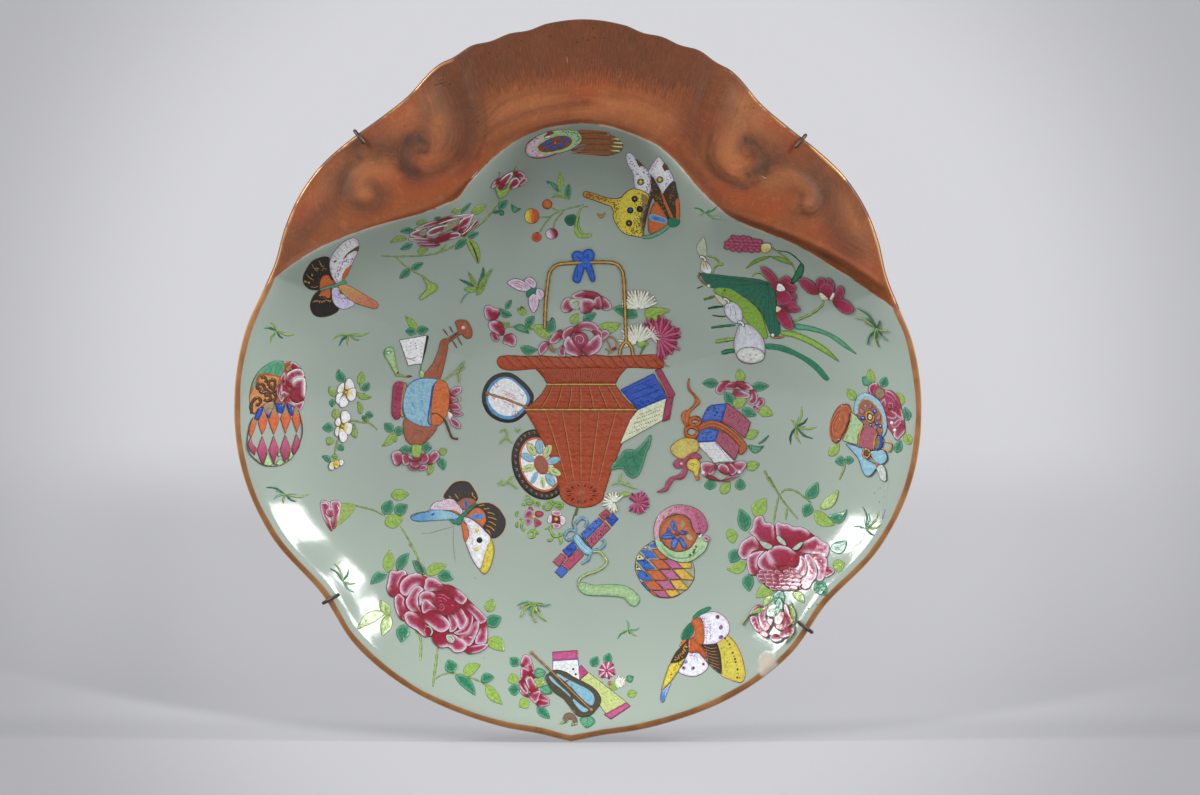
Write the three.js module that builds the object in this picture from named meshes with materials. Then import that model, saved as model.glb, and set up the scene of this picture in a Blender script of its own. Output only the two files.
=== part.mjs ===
// A shell-shaped porcelain dish, clasped from behind by a sprung wire wall hanger.
// Units are millimetres, +Z is up, and the dish faces -Y as it does on the wall.
// The origin is the point inside the crown of the hanging loop that bears on the nail.
//
// The dish is drawn in its own plan first: "across" is X, "up" is Z, both from the middle of the
// foot ring, and "height" is measured forwards from the plane that the foot ring stands on.
import * as THREE from 'three';

// Rim of the shell, right half, as [across, up], from the top of the lip round to the pointed tip.
const rimHalf = [
  [0, 144.6], [29.4, 138.4], [43.6, 133.4], [56, 125.6], [66.1, 114.5], [76.8, 105.7], [87.7, 97.4],
  [97.8, 88.1], [105.8, 76.8], [111.2, 64.2], [114.6, 51], [119.6, 38.9], [124.8, 26.5], [128.8, 0],
  [125.5, -26.7], [114.3, -50.9], [94.6, -72.6], [82.1, -91.1], [61.9, -107.2], [38.3, -117.6],
  [24, -121.5], [12, -123.4], [0, -126],
];
// Inner edge of the broad moulded lip, right half, from its top to where it runs into the rim.
const lipHalf = [
  [0, 105.2], [8, 104.3], [20.5, 100.6], [31, 92.3], [41, 82.5], [52.5, 73.2], [71, 66.8], [92, 58.3],
  [106, 50.6], [116.5, 43],
];

// The notch in the rim below each side.
const notch = [94.6, -72.6];

// Scallops cut into the top of the rim: the angle from the top to the first one, their pitch and depth.
const scallopStart = 8.7;
const scallopPitch = 6;
const scallopCount = 3;
const scallopDepth = 0.8;
const bowlColumnStep = 4;

// Heights and walls of the porcelain.
const rimHeight = 42;
const floorHeight = 12;
const baseThickness = 5;
const wallThickness = 3.8;
const lipThickness = 4;
const rimThickness = 3;
const plainLipWidth = 3;
const lipRiseAtRim = 0.4;
const lipLevelWidth = 40;
const wallPower = 4.2;
const lipWallPower = 5;
const creaseRounding = 3;

// Foot ring.
const footOuterRadius = 63;
const footWidth = 5;
const footHeight = 7;

// Hanger wire, its elbows, hooks and hanging loop.
const wireRadius = 0.7;
const seatGap = 0.35;
const hookStandoff = 0.45;
const elbowAcross = 21;
const upperElbowUp = 22;
const lowerElbowUp = -33;
const elbowBendRadius = 2.5;

// The hanger is clasped on by hand and sits a little askew, so each arm runs towards a point of its own,
// given as its distance out from the middle and up.
const upperRightHookTarget = [81.1, 100.2];
const upperLeftHookTarget = [83.5, 98.2];
const lowerRightHookTarget = [86.7, -81.3];
const lowerLeftHookTarget = [89.1, -73.4];
const upperHookReach = 4.4;
const lowerHookReach = 5.2;
const loopHeight = 13;
const loopHalfWidth = 6.5;
const loopCrownRadius = 3.6;
const loopFootRadius = 2.2;

// Extension springs between the elbows.
const springWireRadius = 0.5;
const coilMeanRadius = 2.8;
const coilPitch = 1.9;
const coilTurns = 16;
const stepsPerTurn = 8;

const ceramic = new THREE.MeshStandardMaterial({ color: 0xaebdaf, roughness: 0.12, metalness: 0 });
const darkSteel = new THREE.MeshStandardMaterial({ color: 0x2b2624, roughness: 0.45, metalness: 0.9 });
const springSteel = new THREE.MeshStandardMaterial({ color: 0x4a4644, roughness: 0.4, metalness: 0.9 });

const degrees = Math.PI / 180;

// Smooth curve through [x, y] knots that rise in x. startSlope and endSlope default to the chord's.
function smoothThrough(knots, startSlope, endSlope) {
  const last = knots.length - 1;
  const chord = (i) => (knots[i + 1][1] - knots[i][1]) / (knots[i + 1][0] - knots[i][0]);
  const slopes = knots.map((_, i) => {
    if (i === 0) return startSlope ?? chord(0);
    if (i === last) return endSlope ?? chord(last - 1);
    return (chord(i - 1) + chord(i)) / 2;
  });
  return (x) => {
    if (x <= knots[0][0]) return knots[0][1];
    if (x >= knots[last][0]) return knots[last][1];
    let i = 0;
    while (x > knots[i + 1][0]) i += 1;
    const span = knots[i + 1][0] - knots[i][0];
    const t = (x - knots[i][0]) / span;
    const [a, b] = [knots[i][1], knots[i + 1][1]];
    return a * (1 + 2 * t) * (1 - t) ** 2 + b * t * t * (3 - 2 * t)
      + span * (slopes[i] * t * (1 - t) ** 2 + slopes[i + 1] * t * t * (t - 1));
  };
}

const toPolar = ([across, up]) => [Math.atan2(across, up) / degrees, Math.hypot(across, up)];
const rimRadiusPlain = smoothThrough(rimHalf.map(toPolar), 0);
const lipRadiusPlain = smoothThrough(lipHalf.map(toPolar), 0);
const lipEndAngle = toPolar(lipHalf[lipHalf.length - 1])[0];
const notchAngle = toPolar(notch)[0];

// Distance from the middle to the rim, at an angle in degrees from the top.
function rimRadius(angle) {
  const a = Math.abs(angle);
  const first = scallopStart - scallopPitch / 2;
  const last = first + scallopCount * scallopPitch;
  let cut = 0;
  if (a > first && a < last) {
    cut = scallopDepth * Math.cos((Math.PI * (a - scallopStart)) / scallopPitch) ** 2;
  }
  return rimRadiusPlain(a) - cut;
}

// Distance from the middle to the crest where the well's wall turns into the lip.
function crestRadius(angle) {
  const a = Math.abs(angle);
  const plain = rimRadius(a) - plainLipWidth;
  return a < lipEndAngle ? Math.min(lipRadiusPlain(a), plain) : plain;
}

const smoothMin = (a, b, reach) => {
  const near = Math.max(reach - Math.abs(a - b), 0) / reach;
  return Math.min(a, b) - (near * near * reach) / 4;
};

// Height of the lip's face at a distance in from the rim: it climbs from the rim and levels off.
function lipHeight(angle, radius) {
  const inward = Math.min(Math.max(rimRadius(angle) - radius, 0), lipLevelWidth);
  return rimHeight + lipRiseAtRim * inward * (1 - inward / (2 * lipLevelWidth));
}

// The well's wall: how high it stands at a radius, and how steep it is there.
function wellWall(angle, radius) {
  const crest = crestRadius(angle);
  const rise = lipHeight(angle, crest) - floorHeight;
  const lipShare = Math.min(1, (rimRadius(angle) - crest) / lipLevelWidth);
  const power = wallPower + (lipWallPower - wallPower) * lipShare;
  const part = radius / crest;
  return {
    height: floorHeight + rise * part ** power,
    slope: (rise * power * part ** (power - 1)) / crest,
  };
}

// The front and the back of the porcelain, as heights over the foot plane.
function frontHeight(angle, radius) {
  return smoothMin(wellWall(angle, radius).height, lipHeight(angle, radius), creaseRounding);
}

function backHeight(angle, radius) {
  const { height, slope } = wellWall(angle, radius);
  const wallBack = height - wallThickness * Math.hypot(1, slope);
  return smoothMin(wallBack, lipHeight(angle, radius) - lipThickness, creaseRounding);
}

// Angles of the mesh's columns: fine across the lip, in step with the scallops, wider round the bowl, and
// with one column in the bottom of the notch on each side.
function columnAngles() {
  const step = scallopPitch / 3;
  const start = scallopStart % step;
  const half = [];
  for (let angle = start; angle < lipEndAngle; angle += step) half.push(angle);
  for (const stop of [notchAngle, 180]) {
    const reached = half[half.length - 1];
    const count = Math.round((stop - reached) / bowlColumnStep);
    for (let i = 1; i <= count; i += 1) half.push(reached + ((stop - reached) * i) / count);
  }
  return [...half, ...half.slice(0, -1).map((angle) => -angle).reverse()];
}

// One column of the dish's skin from the middle of the front, over the rim, to the middle of the back.
function dishColumn(angle) {
  const rim = rimRadius(angle);
  const crest = crestRadius(angle);
  const edge = rimThickness / 2;
  const lipEnd = rim - edge;
  const footInnerRadius = footOuterRadius - footWidth;
  const column = [];
  for (const part of [0.25, 0.45, 0.6, 0.72, 0.82, 0.9, 0.96, 1]) {
    column.push([crest * part, frontHeight(angle, crest * part)]);
  }
  for (const part of [0.1, 0.32, 0.55, 0.78, 1]) {
    const radius = crest + (lipEnd - crest) * part;
    column.push([radius, frontHeight(angle, radius)]);
  }
  const edgeMiddle = frontHeight(angle, lipEnd) - edge;
  for (const turn of [45, 0, -45]) {
    column.push([lipEnd + edge * Math.cos(turn * degrees), edgeMiddle + edge * Math.sin(turn * degrees)]);
  }
  column.push([lipEnd, edgeMiddle - edge]);
  for (const part of [0.6, 0.25, 0]) {
    const radius = crest + (lipEnd - crest) * part;
    column.push([radius, Math.min(edgeMiddle - edge, backHeight(angle, radius))]);
  }
  for (const part of [0.88, 0.7, 0.48, 0.24, 0]) {
    const radius = footOuterRadius + (crest - footOuterRadius) * part;
    column.push([radius, backHeight(angle, radius)]);
  }
  column.push([footOuterRadius - 0.4, 0]);
  column.push([footInnerRadius, 0]);
  column.push([footInnerRadius - 1, footHeight]);
  column.push([footInnerRadius * 0.5, footHeight]);
  return column;
}

const hangingUp = upperElbowUp + loopHeight - wireRadius;
const wireHeight = -(wireRadius + seatGap);

// From the dish's plan to the part's frame.
const place = (across, up, height) => new THREE.Vector3(across, wireHeight - height, up - hangingUp);

// A closed skin from columns of [radius, height], with a pole in the middle of each face.
function dishGeometry() {
  const angles = columnAngles();
  const columns = angles.map(dishColumn);
  const rows = columns[0].length;
  const positions = [];
  const add = (point) => positions.push(point.x, point.y, point.z);
  angles.forEach((angle, c) => {
    for (const [radius, height] of columns[c]) {
      add(place(radius * Math.sin(angle * degrees), radius * Math.cos(angle * degrees), height));
    }
  });
  const frontPole = positions.length / 3;
  add(place(0, 0, floorHeight));
  const backPole = frontPole + 1;
  add(place(0, 0, floorHeight - baseThickness));
  const index = [];
  for (let c = 0; c < columns.length; c += 1) {
    const here = c * rows;
    const next = ((c + 1) % columns.length) * rows;
    index.push(frontPole, next, here);
    for (let r = 0; r < rows - 1; r += 1) {
      index.push(here + r, next + r, next + r + 1, here + r, next + r + 1, here + r + 1);
    }
    index.push(backPole, here + rows - 1, next + rows - 1);
  }
  const geometry = new THREE.BufferGeometry();
  geometry.setAttribute('position', new THREE.Float32BufferAttribute(positions, 3));
  geometry.setIndex(index);
  return geometry;
}

// A path that is followed from one given point to the next, at the given points.
class PointPath extends THREE.Curve {
  constructor(points) {
    super();
    this.points = points;
  }

  getUtoTmapping(u) {
    return u;
  }

  getPoint(t, target = new THREE.Vector3()) {
    const along = Math.min(Math.max(t, 0), 1) * (this.points.length - 1);
    const i = Math.min(Math.floor(along), this.points.length - 2);
    return target.lerpVectors(this.points[i], this.points[i + 1], along - i);
  }
}

// A round wire along a path, with the given number of flats.
function wireGeometry(points, radius, sides) {
  const section = new THREE.Shape();
  for (let i = 0; i < sides; i += 1) {
    const turn = (2 * Math.PI * i) / sides;
    if (i === 0) section.moveTo(radius, 0);
    else section.lineTo(radius * Math.cos(turn), radius * Math.sin(turn));
  }
  section.closePath();
  return new THREE.ExtrudeGeometry(section, { steps: points.length - 1, extrudePath: new PointPath(points) });
}

// Points of an arc in a plane: centre, radius, from one turn to another in degrees.
function arc(centre, radius, from, to, steps) {
  return Array.from({ length: steps + 1 }, (_, i) => {
    const turn = (from + ((to - from) * i) / steps) * degrees;
    return [centre[0] + radius * Math.cos(turn), centre[1] + radius * Math.sin(turn)];
  });
}

// Where a straight line in plan from an elbow towards a target crosses the rim.
function rimCrossing(elbow, target) {
  const length = Math.hypot(target[0] - elbow[0], target[1] - elbow[1]);
  const out = [(target[0] - elbow[0]) / length, (target[1] - elbow[1]) / length];
  const inside = (distance) => {
    const [angle, radius] = toPolar([elbow[0] + out[0] * distance, elbow[1] + out[1] * distance]);
    return radius < rimRadius(angle);
  };
  let near = 0;
  let far = 2 * rimHalf[0][1];
  for (let i = 0; i < 40; i += 1) {
    const middle = (near + far) / 2;
    if (inside(middle)) near = middle;
    else far = middle;
  }
  return { out, distance: near };
}

// One arm of the hanger, from the hook's tip over the rim and down the back to its elbow.
function armPoints(elbow, target, reach) {
  const { out, distance } = rimCrossing(elbow, target);
  const planAt = (inward) => {
    const along = distance - inward;
    return [elbow[0] + out[0] * along, elbow[1] + out[1] * along];
  };
  const surface = (height, inward) => height(...toPolar(planAt(inward)));
  const clear = seatGap + wireRadius;
  const edge = rimThickness / 2;

  // The porcelain's underside, and the lowest that a wire can lie under it without touching.
  const underRim = surface(frontHeight, edge) - rimThickness;
  const under = (inward) => Math.min(underRim, surface(backHeight, inward));
  const hugging = (inward) => {
    let lowest = Infinity;
    for (let aside = -1; aside <= 1; aside += 0.125) {
      lowest = Math.min(lowest, under(inward + clear * aside) - clear * Math.sqrt(1 - aside ** 2));
    }
    return lowest;
  };

  let legHeight = 0;
  for (let inward = edge; inward <= reach + 1; inward += 0.5) {
    legHeight = Math.max(legHeight, surface(frontHeight, inward));
  }
  legHeight += clear;
  let backEdge = hugging(2);
  let bend = (legHeight - backEdge) / 2;
  backEdge = hugging(bend - clear - hookStandoff);
  bend = (legHeight - backEdge) / 2;
  const bendCentre = [bend - clear - hookStandoff, (legHeight + backEdge) / 2];

  const profile = [[reach, legHeight], [(reach + bendCentre[0]) / 2, legHeight]];
  profile.push(...arc(bendCentre, bend, 90, 270, 7));

  // Behind the rim the wire takes the straight way to the foot ring, or hugs the bowl where that bulges.
  let landing = 0;
  while (Math.hypot(...planAt(landing)) > footOuterRadius + 2 * clear) landing += 0.25;
  for (const part of [0.03, 0.08, 0.15, 0.24, 0.35, 0.48, 0.64, 0.82]) {
    const inward = bendCentre[0] + (landing - bendCentre[0]) * part;
    const straight = backEdge + (wireHeight - backEdge) * part;
    profile.push([inward, Math.min(straight, hugging(inward))]);
  }
  profile.push([landing, wireHeight]);
  return profile.map(([inward, height]) => place(...planAt(inward), height));
}

const mirrored = (points) => points.map((p) => new THREE.Vector3(-p.x, p.y, p.z)).reverse();

// Rounds the corner between two straight runs of wire that lie in the hanger's plane.
function roundCorner(before, corner, after, radius, steps) {
  const a = before.clone().sub(corner).normalize();
  const b = after.clone().sub(corner).normalize();
  const half = a.angleTo(b) / 2;
  const cutBack = radius / Math.tan(half);
  const start = corner.clone().addScaledVector(a, cutBack);
  const centre = corner.clone().addScaledVector(a.clone().add(b).normalize(), radius / Math.sin(half));
  const spoke = start.clone().sub(centre);
  const axis = new THREE.Vector3().crossVectors(b, a).normalize();
  const sweep = Math.PI - 2 * half;
  return Array.from({ length: steps + 1 }, (_, i) =>
    centre.clone().add(spoke.clone().applyAxisAngle(axis, (sweep * i) / steps)));
}

// The wire across the middle of the upper half, from its right elbow to the crown of the loop.
function loopHalfPoints() {
  const foot = place(loopHalfWidth, upperElbowUp, wireHeight);
  const along = place(elbowAcross, upperElbowUp, wireHeight);
  const crownCentre = loopHeight - loopCrownRadius;
  const lean = Math.atan2(loopHalfWidth - loopCrownRadius, crownCentre) / degrees;
  const crownStart = place(
    loopCrownRadius * Math.cos(lean * degrees),
    upperElbowUp + crownCentre + loopCrownRadius * Math.sin(lean * degrees),
    wireHeight,
  );
  const corner = roundCorner(along, foot, crownStart, loopFootRadius, 4);
  const crown = arc([0, upperElbowUp + crownCentre], loopCrownRadius, lean, 90, 5)
    .map(([across, up]) => place(across, up, wireHeight));
  return [...corner, ...crown];
}

function halfWire(elbowUp, target, reach) {
  const elbow = [elbowAcross, elbowUp];
  const arm = armPoints(elbow, target, reach);
  const corner = place(elbowAcross, elbowUp, wireHeight);
  const inner = place(0, elbowUp, wireHeight);
  return [...arm, ...roundCorner(arm[arm.length - 1], corner, inner, elbowBendRadius, 5)];
}

function upperWirePoints() {
  const half = (target) => [...halfWire(upperElbowUp, target, upperHookReach), ...loopHalfPoints()];
  return [...half(upperRightHookTarget), ...mirrored(half(upperLeftHookTarget)).slice(1)];
}

function lowerWirePoints() {
  const half = (target) => halfWire(lowerElbowUp, target, lowerHookReach);
  return [...half(lowerRightHookTarget), ...mirrored(half(lowerLeftHookTarget))];
}

// A spring hook, from the end of the coil up to the loop round the elbow wire, going up from the coil.
function springHook(coilEnd, wireUp) {
  const ring = coilMeanRadius - springWireRadius - wireRadius - seatGap;
  const centreUp = wireUp - ring;
  const shankStart = coilEnd + coilMeanRadius / 2;
  const hook = [[-coilMeanRadius, shankStart], [-coilMeanRadius, (shankStart + centreUp) / 2]];
  hook.push(...arc([0, centreUp], coilMeanRadius, 180, -100, 11));
  const [height, up] = hook[hook.length - 1];
  hook.push([height - 2 * springWireRadius, up]);
  return hook;
}

// Least distance between the skins of two turns of a wire: pairs of points over half a turn apart.
function leastSelfGap(points, radius) {
  let least = Infinity;
  const apart = Math.round(stepsPerTurn * 0.6);
  for (let i = 0; i < points.length; i += 1) {
    for (let j = i + apart; j < points.length; j += 1) {
      least = Math.min(least, points[i].distanceTo(points[j]));
    }
  }
  return least - 2 * radius;
}

// One extension spring: a hook round the upper elbow, the coil, and a hook round the lower elbow.
function springPoints(across) {
  const middle = (upperElbowUp + lowerElbowUp) / 2;
  const coilTop = middle + (coilPitch * coilTurns) / 2;
  const coilBottom = middle - (coilPitch * coilTurns) / 2;
  const toFrame = (sideways, forward, up) => place(across + sideways, up, wireHeight + forward);
  const upperHook = springHook(coilTop, upperElbowUp).map(([forward, up]) => toFrame(0, forward, up)).reverse();
  const lowerHook = springHook(-coilBottom, -lowerElbowUp).map(([forward, up]) => toFrame(0, forward, -up));
  const coil = [];
  const steps = coilTurns * stepsPerTurn;
  for (let i = 1; i < steps; i += 1) {
    const turn = (2 * Math.PI * i) / stepsPerTurn;
    const up = coilTop - (coilPitch * i) / stepsPerTurn;
    coil.push(toFrame(coilMeanRadius * Math.sin(turn), -coilMeanRadius * Math.cos(turn), up));
  }
  return [...upperHook, ...coil, ...lowerHook];
}

function piece(name, geometry, material) {
  const mesh = new THREE.Mesh(geometry, material);
  mesh.name = name;
  return mesh;
}

const rightSpring = springPoints(elbowAcross - elbowBendRadius);
const leftSpring = springPoints(-(elbowAcross - elbowBendRadius));
console.log(`least gap within a spring: ${leastSelfGap(rightSpring, springWireRadius).toFixed(2)} mm`);

const shellDish = new THREE.Group();
shellDish.add(
  piece('porcelain_dish', dishGeometry(), ceramic),
  piece('upper_hanger_wire', wireGeometry(upperWirePoints(), wireRadius, 8), darkSteel),
  piece('lower_hanger_wire', wireGeometry(lowerWirePoints(), wireRadius, 8), darkSteel),
  piece('left_spring', wireGeometry(leftSpring, springWireRadius, 5), springSteel),
  piece('right_spring', wireGeometry(rightSpring, springWireRadius, 5), springSteel),
);

export default shellDish;
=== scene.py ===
# %% [markdown]
# # A painted porcelain shell dish in a wire hanger
#
# The real thing is a moulded porcelain dish, dipped in a pale celadon glaze, with a coral lip, a gilt rim
# and enamels painted over the glaze. A sprung wire hanger clasps it by the rim.
#
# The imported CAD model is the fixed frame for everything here. It says where each piece is, in metres, and
# which body it moves with. Blender adds the finish, and finer meshes made from the same sizes.

# %% Load the frame
import math
import random
import bpy
import numpy as np
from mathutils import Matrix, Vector, geometry


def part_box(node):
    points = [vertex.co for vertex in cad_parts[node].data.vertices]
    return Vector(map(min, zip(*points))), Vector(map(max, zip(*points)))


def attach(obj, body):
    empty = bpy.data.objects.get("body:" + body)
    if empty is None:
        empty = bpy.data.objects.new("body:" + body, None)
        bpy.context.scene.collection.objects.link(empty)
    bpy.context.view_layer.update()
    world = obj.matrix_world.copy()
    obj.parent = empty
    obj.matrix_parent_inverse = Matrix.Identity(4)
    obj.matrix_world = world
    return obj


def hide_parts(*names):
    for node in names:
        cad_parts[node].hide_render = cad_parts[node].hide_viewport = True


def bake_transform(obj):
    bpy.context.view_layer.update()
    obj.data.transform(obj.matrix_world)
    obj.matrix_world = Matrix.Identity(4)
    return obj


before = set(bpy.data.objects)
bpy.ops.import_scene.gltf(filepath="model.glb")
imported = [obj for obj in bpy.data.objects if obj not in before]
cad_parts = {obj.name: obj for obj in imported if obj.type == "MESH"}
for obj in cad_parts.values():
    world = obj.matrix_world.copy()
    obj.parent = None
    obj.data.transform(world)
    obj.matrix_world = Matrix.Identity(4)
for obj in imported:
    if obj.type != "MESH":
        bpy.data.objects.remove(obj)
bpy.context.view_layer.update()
dish_low, dish_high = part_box("porcelain_dish")

# %% [markdown]
# ## The plan of the shell
#
# A mould gives the dish its form, so the form follows a rule: at each angle round the middle there is a
# distance to the rim, and one to the crest where the well's wall turns over into the lip. Smooth curves
# through a few measured points give both, in millimetres. The other way would be to sculpt the dish by
# hand, but a rule keeps it true to the CAD solid, and anything painted on it can ask for its surface.

# %% Outline of the rim and of the lip's inner edge
RIM_HALF = [
    (0, 144.6), (29.4, 138.4), (43.6, 133.4), (56, 125.6), (66.1, 114.5), (76.8, 105.7), (87.7, 97.4),
    (97.8, 88.1), (105.8, 76.8), (111.2, 64.2), (114.6, 51), (119.6, 38.9), (124.8, 26.5), (128.8, 0),
    (125.5, -26.7), (114.3, -50.9), (94.6, -72.6), (82.1, -91.1), (61.9, -107.2), (38.3, -117.6),
    (24, -121.5), (12, -123.4), (0, -126)]
LIP_HALF = [
    (0, 105.2), (8, 104.3), (20.5, 100.6), (31, 92.3), (41, 82.5), (52.5, 73.2), (71, 66.8), (92, 58.3),
    (106, 50.6), (116.5, 43)]
SCALLOP_START, SCALLOP_PITCH, SCALLOP_COUNT, SCALLOP_DEPTH = 8.7, 6, 3, 0.8
RIM_HEIGHT, FLOOR_HEIGHT = 42, 12
WALL_THICKNESS, LIP_THICKNESS, RIM_THICKNESS = 3.8, 4, 3
PLAIN_LIP_WIDTH, LIP_RISE, LIP_LEVEL_WIDTH = 3, 0.4, 40
WALL_POWER, LIP_WALL_POWER, CREASE_ROUNDING = 4.2, 5, 3
FOOT_RADIUS, FOOT_WIDTH, FOOT_HEIGHT = 63, 5, 7
WIRE_RADIUS, SEAT_GAP, HOOK_STANDOFF = 0.7, 0.35, 0.45
UPPER_ELBOW_UP, LOWER_ELBOW_UP, LOOP_HEIGHT = 22, -33, 13
WIRE_HEIGHT = -(WIRE_RADIUS + SEAT_GAP)
HANGING_UP = UPPER_ELBOW_UP + LOOP_HEIGHT - WIRE_RADIUS


def smooth_through(knots, start_slope=None):
    """A smooth curve y(x) through knots that rise in x."""
    x, y = (np.array(part, float) for part in zip(*knots))
    chord = np.diff(y) / np.diff(x)
    slope = np.concatenate([[chord[0] if start_slope is None else start_slope],
                            (chord[:-1] + chord[1:]) / 2, [chord[-1]]])

    def curve(at):
        at = np.clip(at, x[0], x[-1])
        i = np.clip(np.searchsorted(x, at, side="right") - 1, 0, len(x) - 2)
        span = x[i + 1] - x[i]
        t = (at - x[i]) / span
        return (y[i] * (1 + 2 * t) * (1 - t) ** 2 + y[i + 1] * t * t * (3 - 2 * t)
                + span * (slope[i] * t * (1 - t) ** 2 + slope[i + 1] * t * t * (t - 1)))
    return curve


def to_polar(across, up):
    """Angle from the top in degrees, and distance from the middle."""
    return np.degrees(np.arctan2(across, up)), np.hypot(across, up)


rim_plain = smooth_through([to_polar(*p) for p in RIM_HALF], 0)
lip_plain = smooth_through([to_polar(*p) for p in LIP_HALF], 0)
LIP_END_ANGLE = to_polar(*LIP_HALF[-1])[0]


def rim_radius(angle):
    a = np.abs(angle)
    first = SCALLOP_START - SCALLOP_PITCH / 2
    inside = (a > first) & (a < first + SCALLOP_COUNT * SCALLOP_PITCH)
    wave = np.cos(np.pi * (a - SCALLOP_START) / SCALLOP_PITCH) ** 2
    return rim_plain(a) - np.where(inside, SCALLOP_DEPTH * wave, 0)


def crest_radius(angle):
    a = np.abs(angle)
    plain = rim_radius(a) - PLAIN_LIP_WIDTH
    return np.where(a < LIP_END_ANGLE, np.minimum(lip_plain(a), plain), plain)


print("length and width of the outline, mm:", round(float(rim_radius(0) + rim_radius(180)), 1),
      round(float(2 * rim_radius(90)), 1))

# %% [markdown]
# Seen from the side, the well's wall rises as a power of the distance from the middle: flat at the bottom
# and steep at the crest. The lip goes on from there, almost level. Where the two meet, the glaze has
# rounded the edge, which a smooth minimum does. The back follows at the wall's thickness.

# %% Heights of the front and the back over the foot ring
def smooth_min(a, b, reach):
    near = np.maximum(reach - np.abs(a - b), 0) / reach
    return np.minimum(a, b) - near * near * reach / 4


def lip_height(angle, radius):
    inward = np.clip(rim_radius(angle) - radius, 0, LIP_LEVEL_WIDTH)
    return RIM_HEIGHT + LIP_RISE * inward * (1 - inward / (2 * LIP_LEVEL_WIDTH))


def well_wall(angle, radius):
    """Height of the well's wall, and its slope."""
    crest = crest_radius(angle)
    rise = lip_height(angle, crest) - FLOOR_HEIGHT
    share = np.minimum(1, (rim_radius(angle) - crest) / LIP_LEVEL_WIDTH)
    power = WALL_POWER + (LIP_WALL_POWER - WALL_POWER) * share
    part = radius / crest
    return FLOOR_HEIGHT + rise * part ** power, rise * power * part ** (power - 1) / crest


def front_height(angle, radius):
    return smooth_min(well_wall(angle, radius)[0], lip_height(angle, radius), CREASE_ROUNDING)


def back_height(angle, radius):
    height, slope = well_wall(angle, radius)
    return smooth_min(height - WALL_THICKNESS * np.hypot(1, slope), lip_height(angle, radius) - LIP_THICKNESS,
                      CREASE_ROUNDING)


def place(across, up, height):
    """From millimetres in the dish's plan to metres in the frame."""
    return np.stack([across, WIRE_HEIGHT - np.asarray(height), np.asarray(up) - HANGING_UP], -1) / 1000


print("heights at the middle, the crest and the rim, mm:",
      [round(float(front_height(0, r)), 1) for r in (0, crest_radius(0), rim_radius(0))])

# %% [markdown]
# ## Camera and studio
#
# The photograph looks straight at the dish from well back, so the lens is long and the camera stands on the
# dish's own axis. The dish leans 1.2 degrees clockwise in the picture, which the camera's roll gives. The
# same numbers turn a point of the 1200 by 795 picture back into a point on the porcelain, so that the
# painting can be laid out as it is seen and still lie on the surface from any side.

# %% Camera
PICTURE = (1200, 795)
DISTANCE, SENSOR, ROLL = 1.5, 36.0, math.radians(-1.2)
LENS = SENSOR * DISTANCE / 0.4494
CAMERA_AT = place(8.2, 3.0, RIM_HEIGHT) - (0, DISTANCE, 0)

camera_data = bpy.data.cameras.new("camera")
camera_data.lens, camera_data.sensor_width = LENS, SENSOR
camera = bpy.data.objects.new("camera", camera_data)
camera.location = CAMERA_AT
camera.rotation_euler = (math.pi / 2, ROLL, 0)
bpy.context.scene.collection.objects.link(camera)
bpy.context.scene.camera = camera


def from_picture(points):
    """Picture points, (x, y) rows, to (across, up) in millimetres on the front of the dish."""
    points = np.asarray(points, float).reshape(-1, 2)
    side = (points[:, 0] - PICTURE[0] / 2) * SENSOR / LENS / PICTURE[0]
    rise = (PICTURE[1] / 2 - points[:, 1]) * SENSOR / LENS / PICTURE[0]
    x = side * math.cos(ROLL) + rise * math.sin(ROLL)
    z = rise * math.cos(ROLL) - side * math.sin(ROLL)
    height = np.full(len(points), 20.0)
    for _ in range(8):
        reach = (WIRE_HEIGHT - height) / 1000 - CAMERA_AT[1]
        across = (CAMERA_AT[0] + x * reach) * 1000
        up = (CAMERA_AT[2] + z * reach) * 1000 + HANGING_UP
        height = 0.5 * height + 0.5 * front_height(*to_polar(across, up))
    return np.stack([across, up], -1)


print("picture (578, 405) lies at, mm:", from_picture([(578, 405)]).round(1).tolist())

# %% [markdown]
# The studio is a pale sweep: a floor that curves up into a backdrop, so that no edge shows behind the dish.
# It is the dish that leans, not the floor, so the sweep takes the same small turn as the camera.

# %% Floor and backdrop in one sweep
FLOOR_UP = dish_low[2] - 0.0004
BACKDROP_AT, BEND, HALF_WIDTH = 0.75, 0.5, 2.5


def sweep_profile():
    """Points (y, z) of the sweep from its front edge to its top."""
    start = BACKDROP_AT - BEND
    flat = [(y, FLOOR_UP) for y in (-3.0, -1.0, 0.0, start)]
    turn = [(start + BEND * math.sin(t), FLOOR_UP + BEND - BEND * math.cos(t))
            for t in np.linspace(0, math.pi / 2, 25)[1:]]
    return flat + turn + [(BACKDROP_AT, 1.4), (BACKDROP_AT, 2.4)]


profile = sweep_profile()
sweep_mesh = bpy.data.meshes.new("studio_sweep")
sweep_mesh.from_pydata([(x, y, z - x * math.tan(ROLL)) for x in (-HALF_WIDTH, HALF_WIDTH)
                        for y, z in profile], [],
                       [(i, i + len(profile), i + len(profile) + 1, i + 1) for i in range(len(profile) - 1)])
sweep_mesh.shade_smooth()
sweep = bpy.data.objects.new("studio_sweep", sweep_mesh)
bpy.context.scene.collection.objects.link(sweep)
print("studio sweep faces:", len(sweep_mesh.polygons))

# %% [markdown]
# Two soft lights stand high to the left and right. Porcelain shows its gloss by what it reflects, so their
# places were found from the bright patches low on the well's wall. The air of the room is brighter low in
# front and to the sides than overhead, which leaves the wall under the lip in shade.

# %% Lights
LAMP_SIDE, LAMP_PLACE, LAMP_SIZE, LAMP_POWER = 1.17, (-0.36, 0.86), (0.34, 0.42), 15.2


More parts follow.
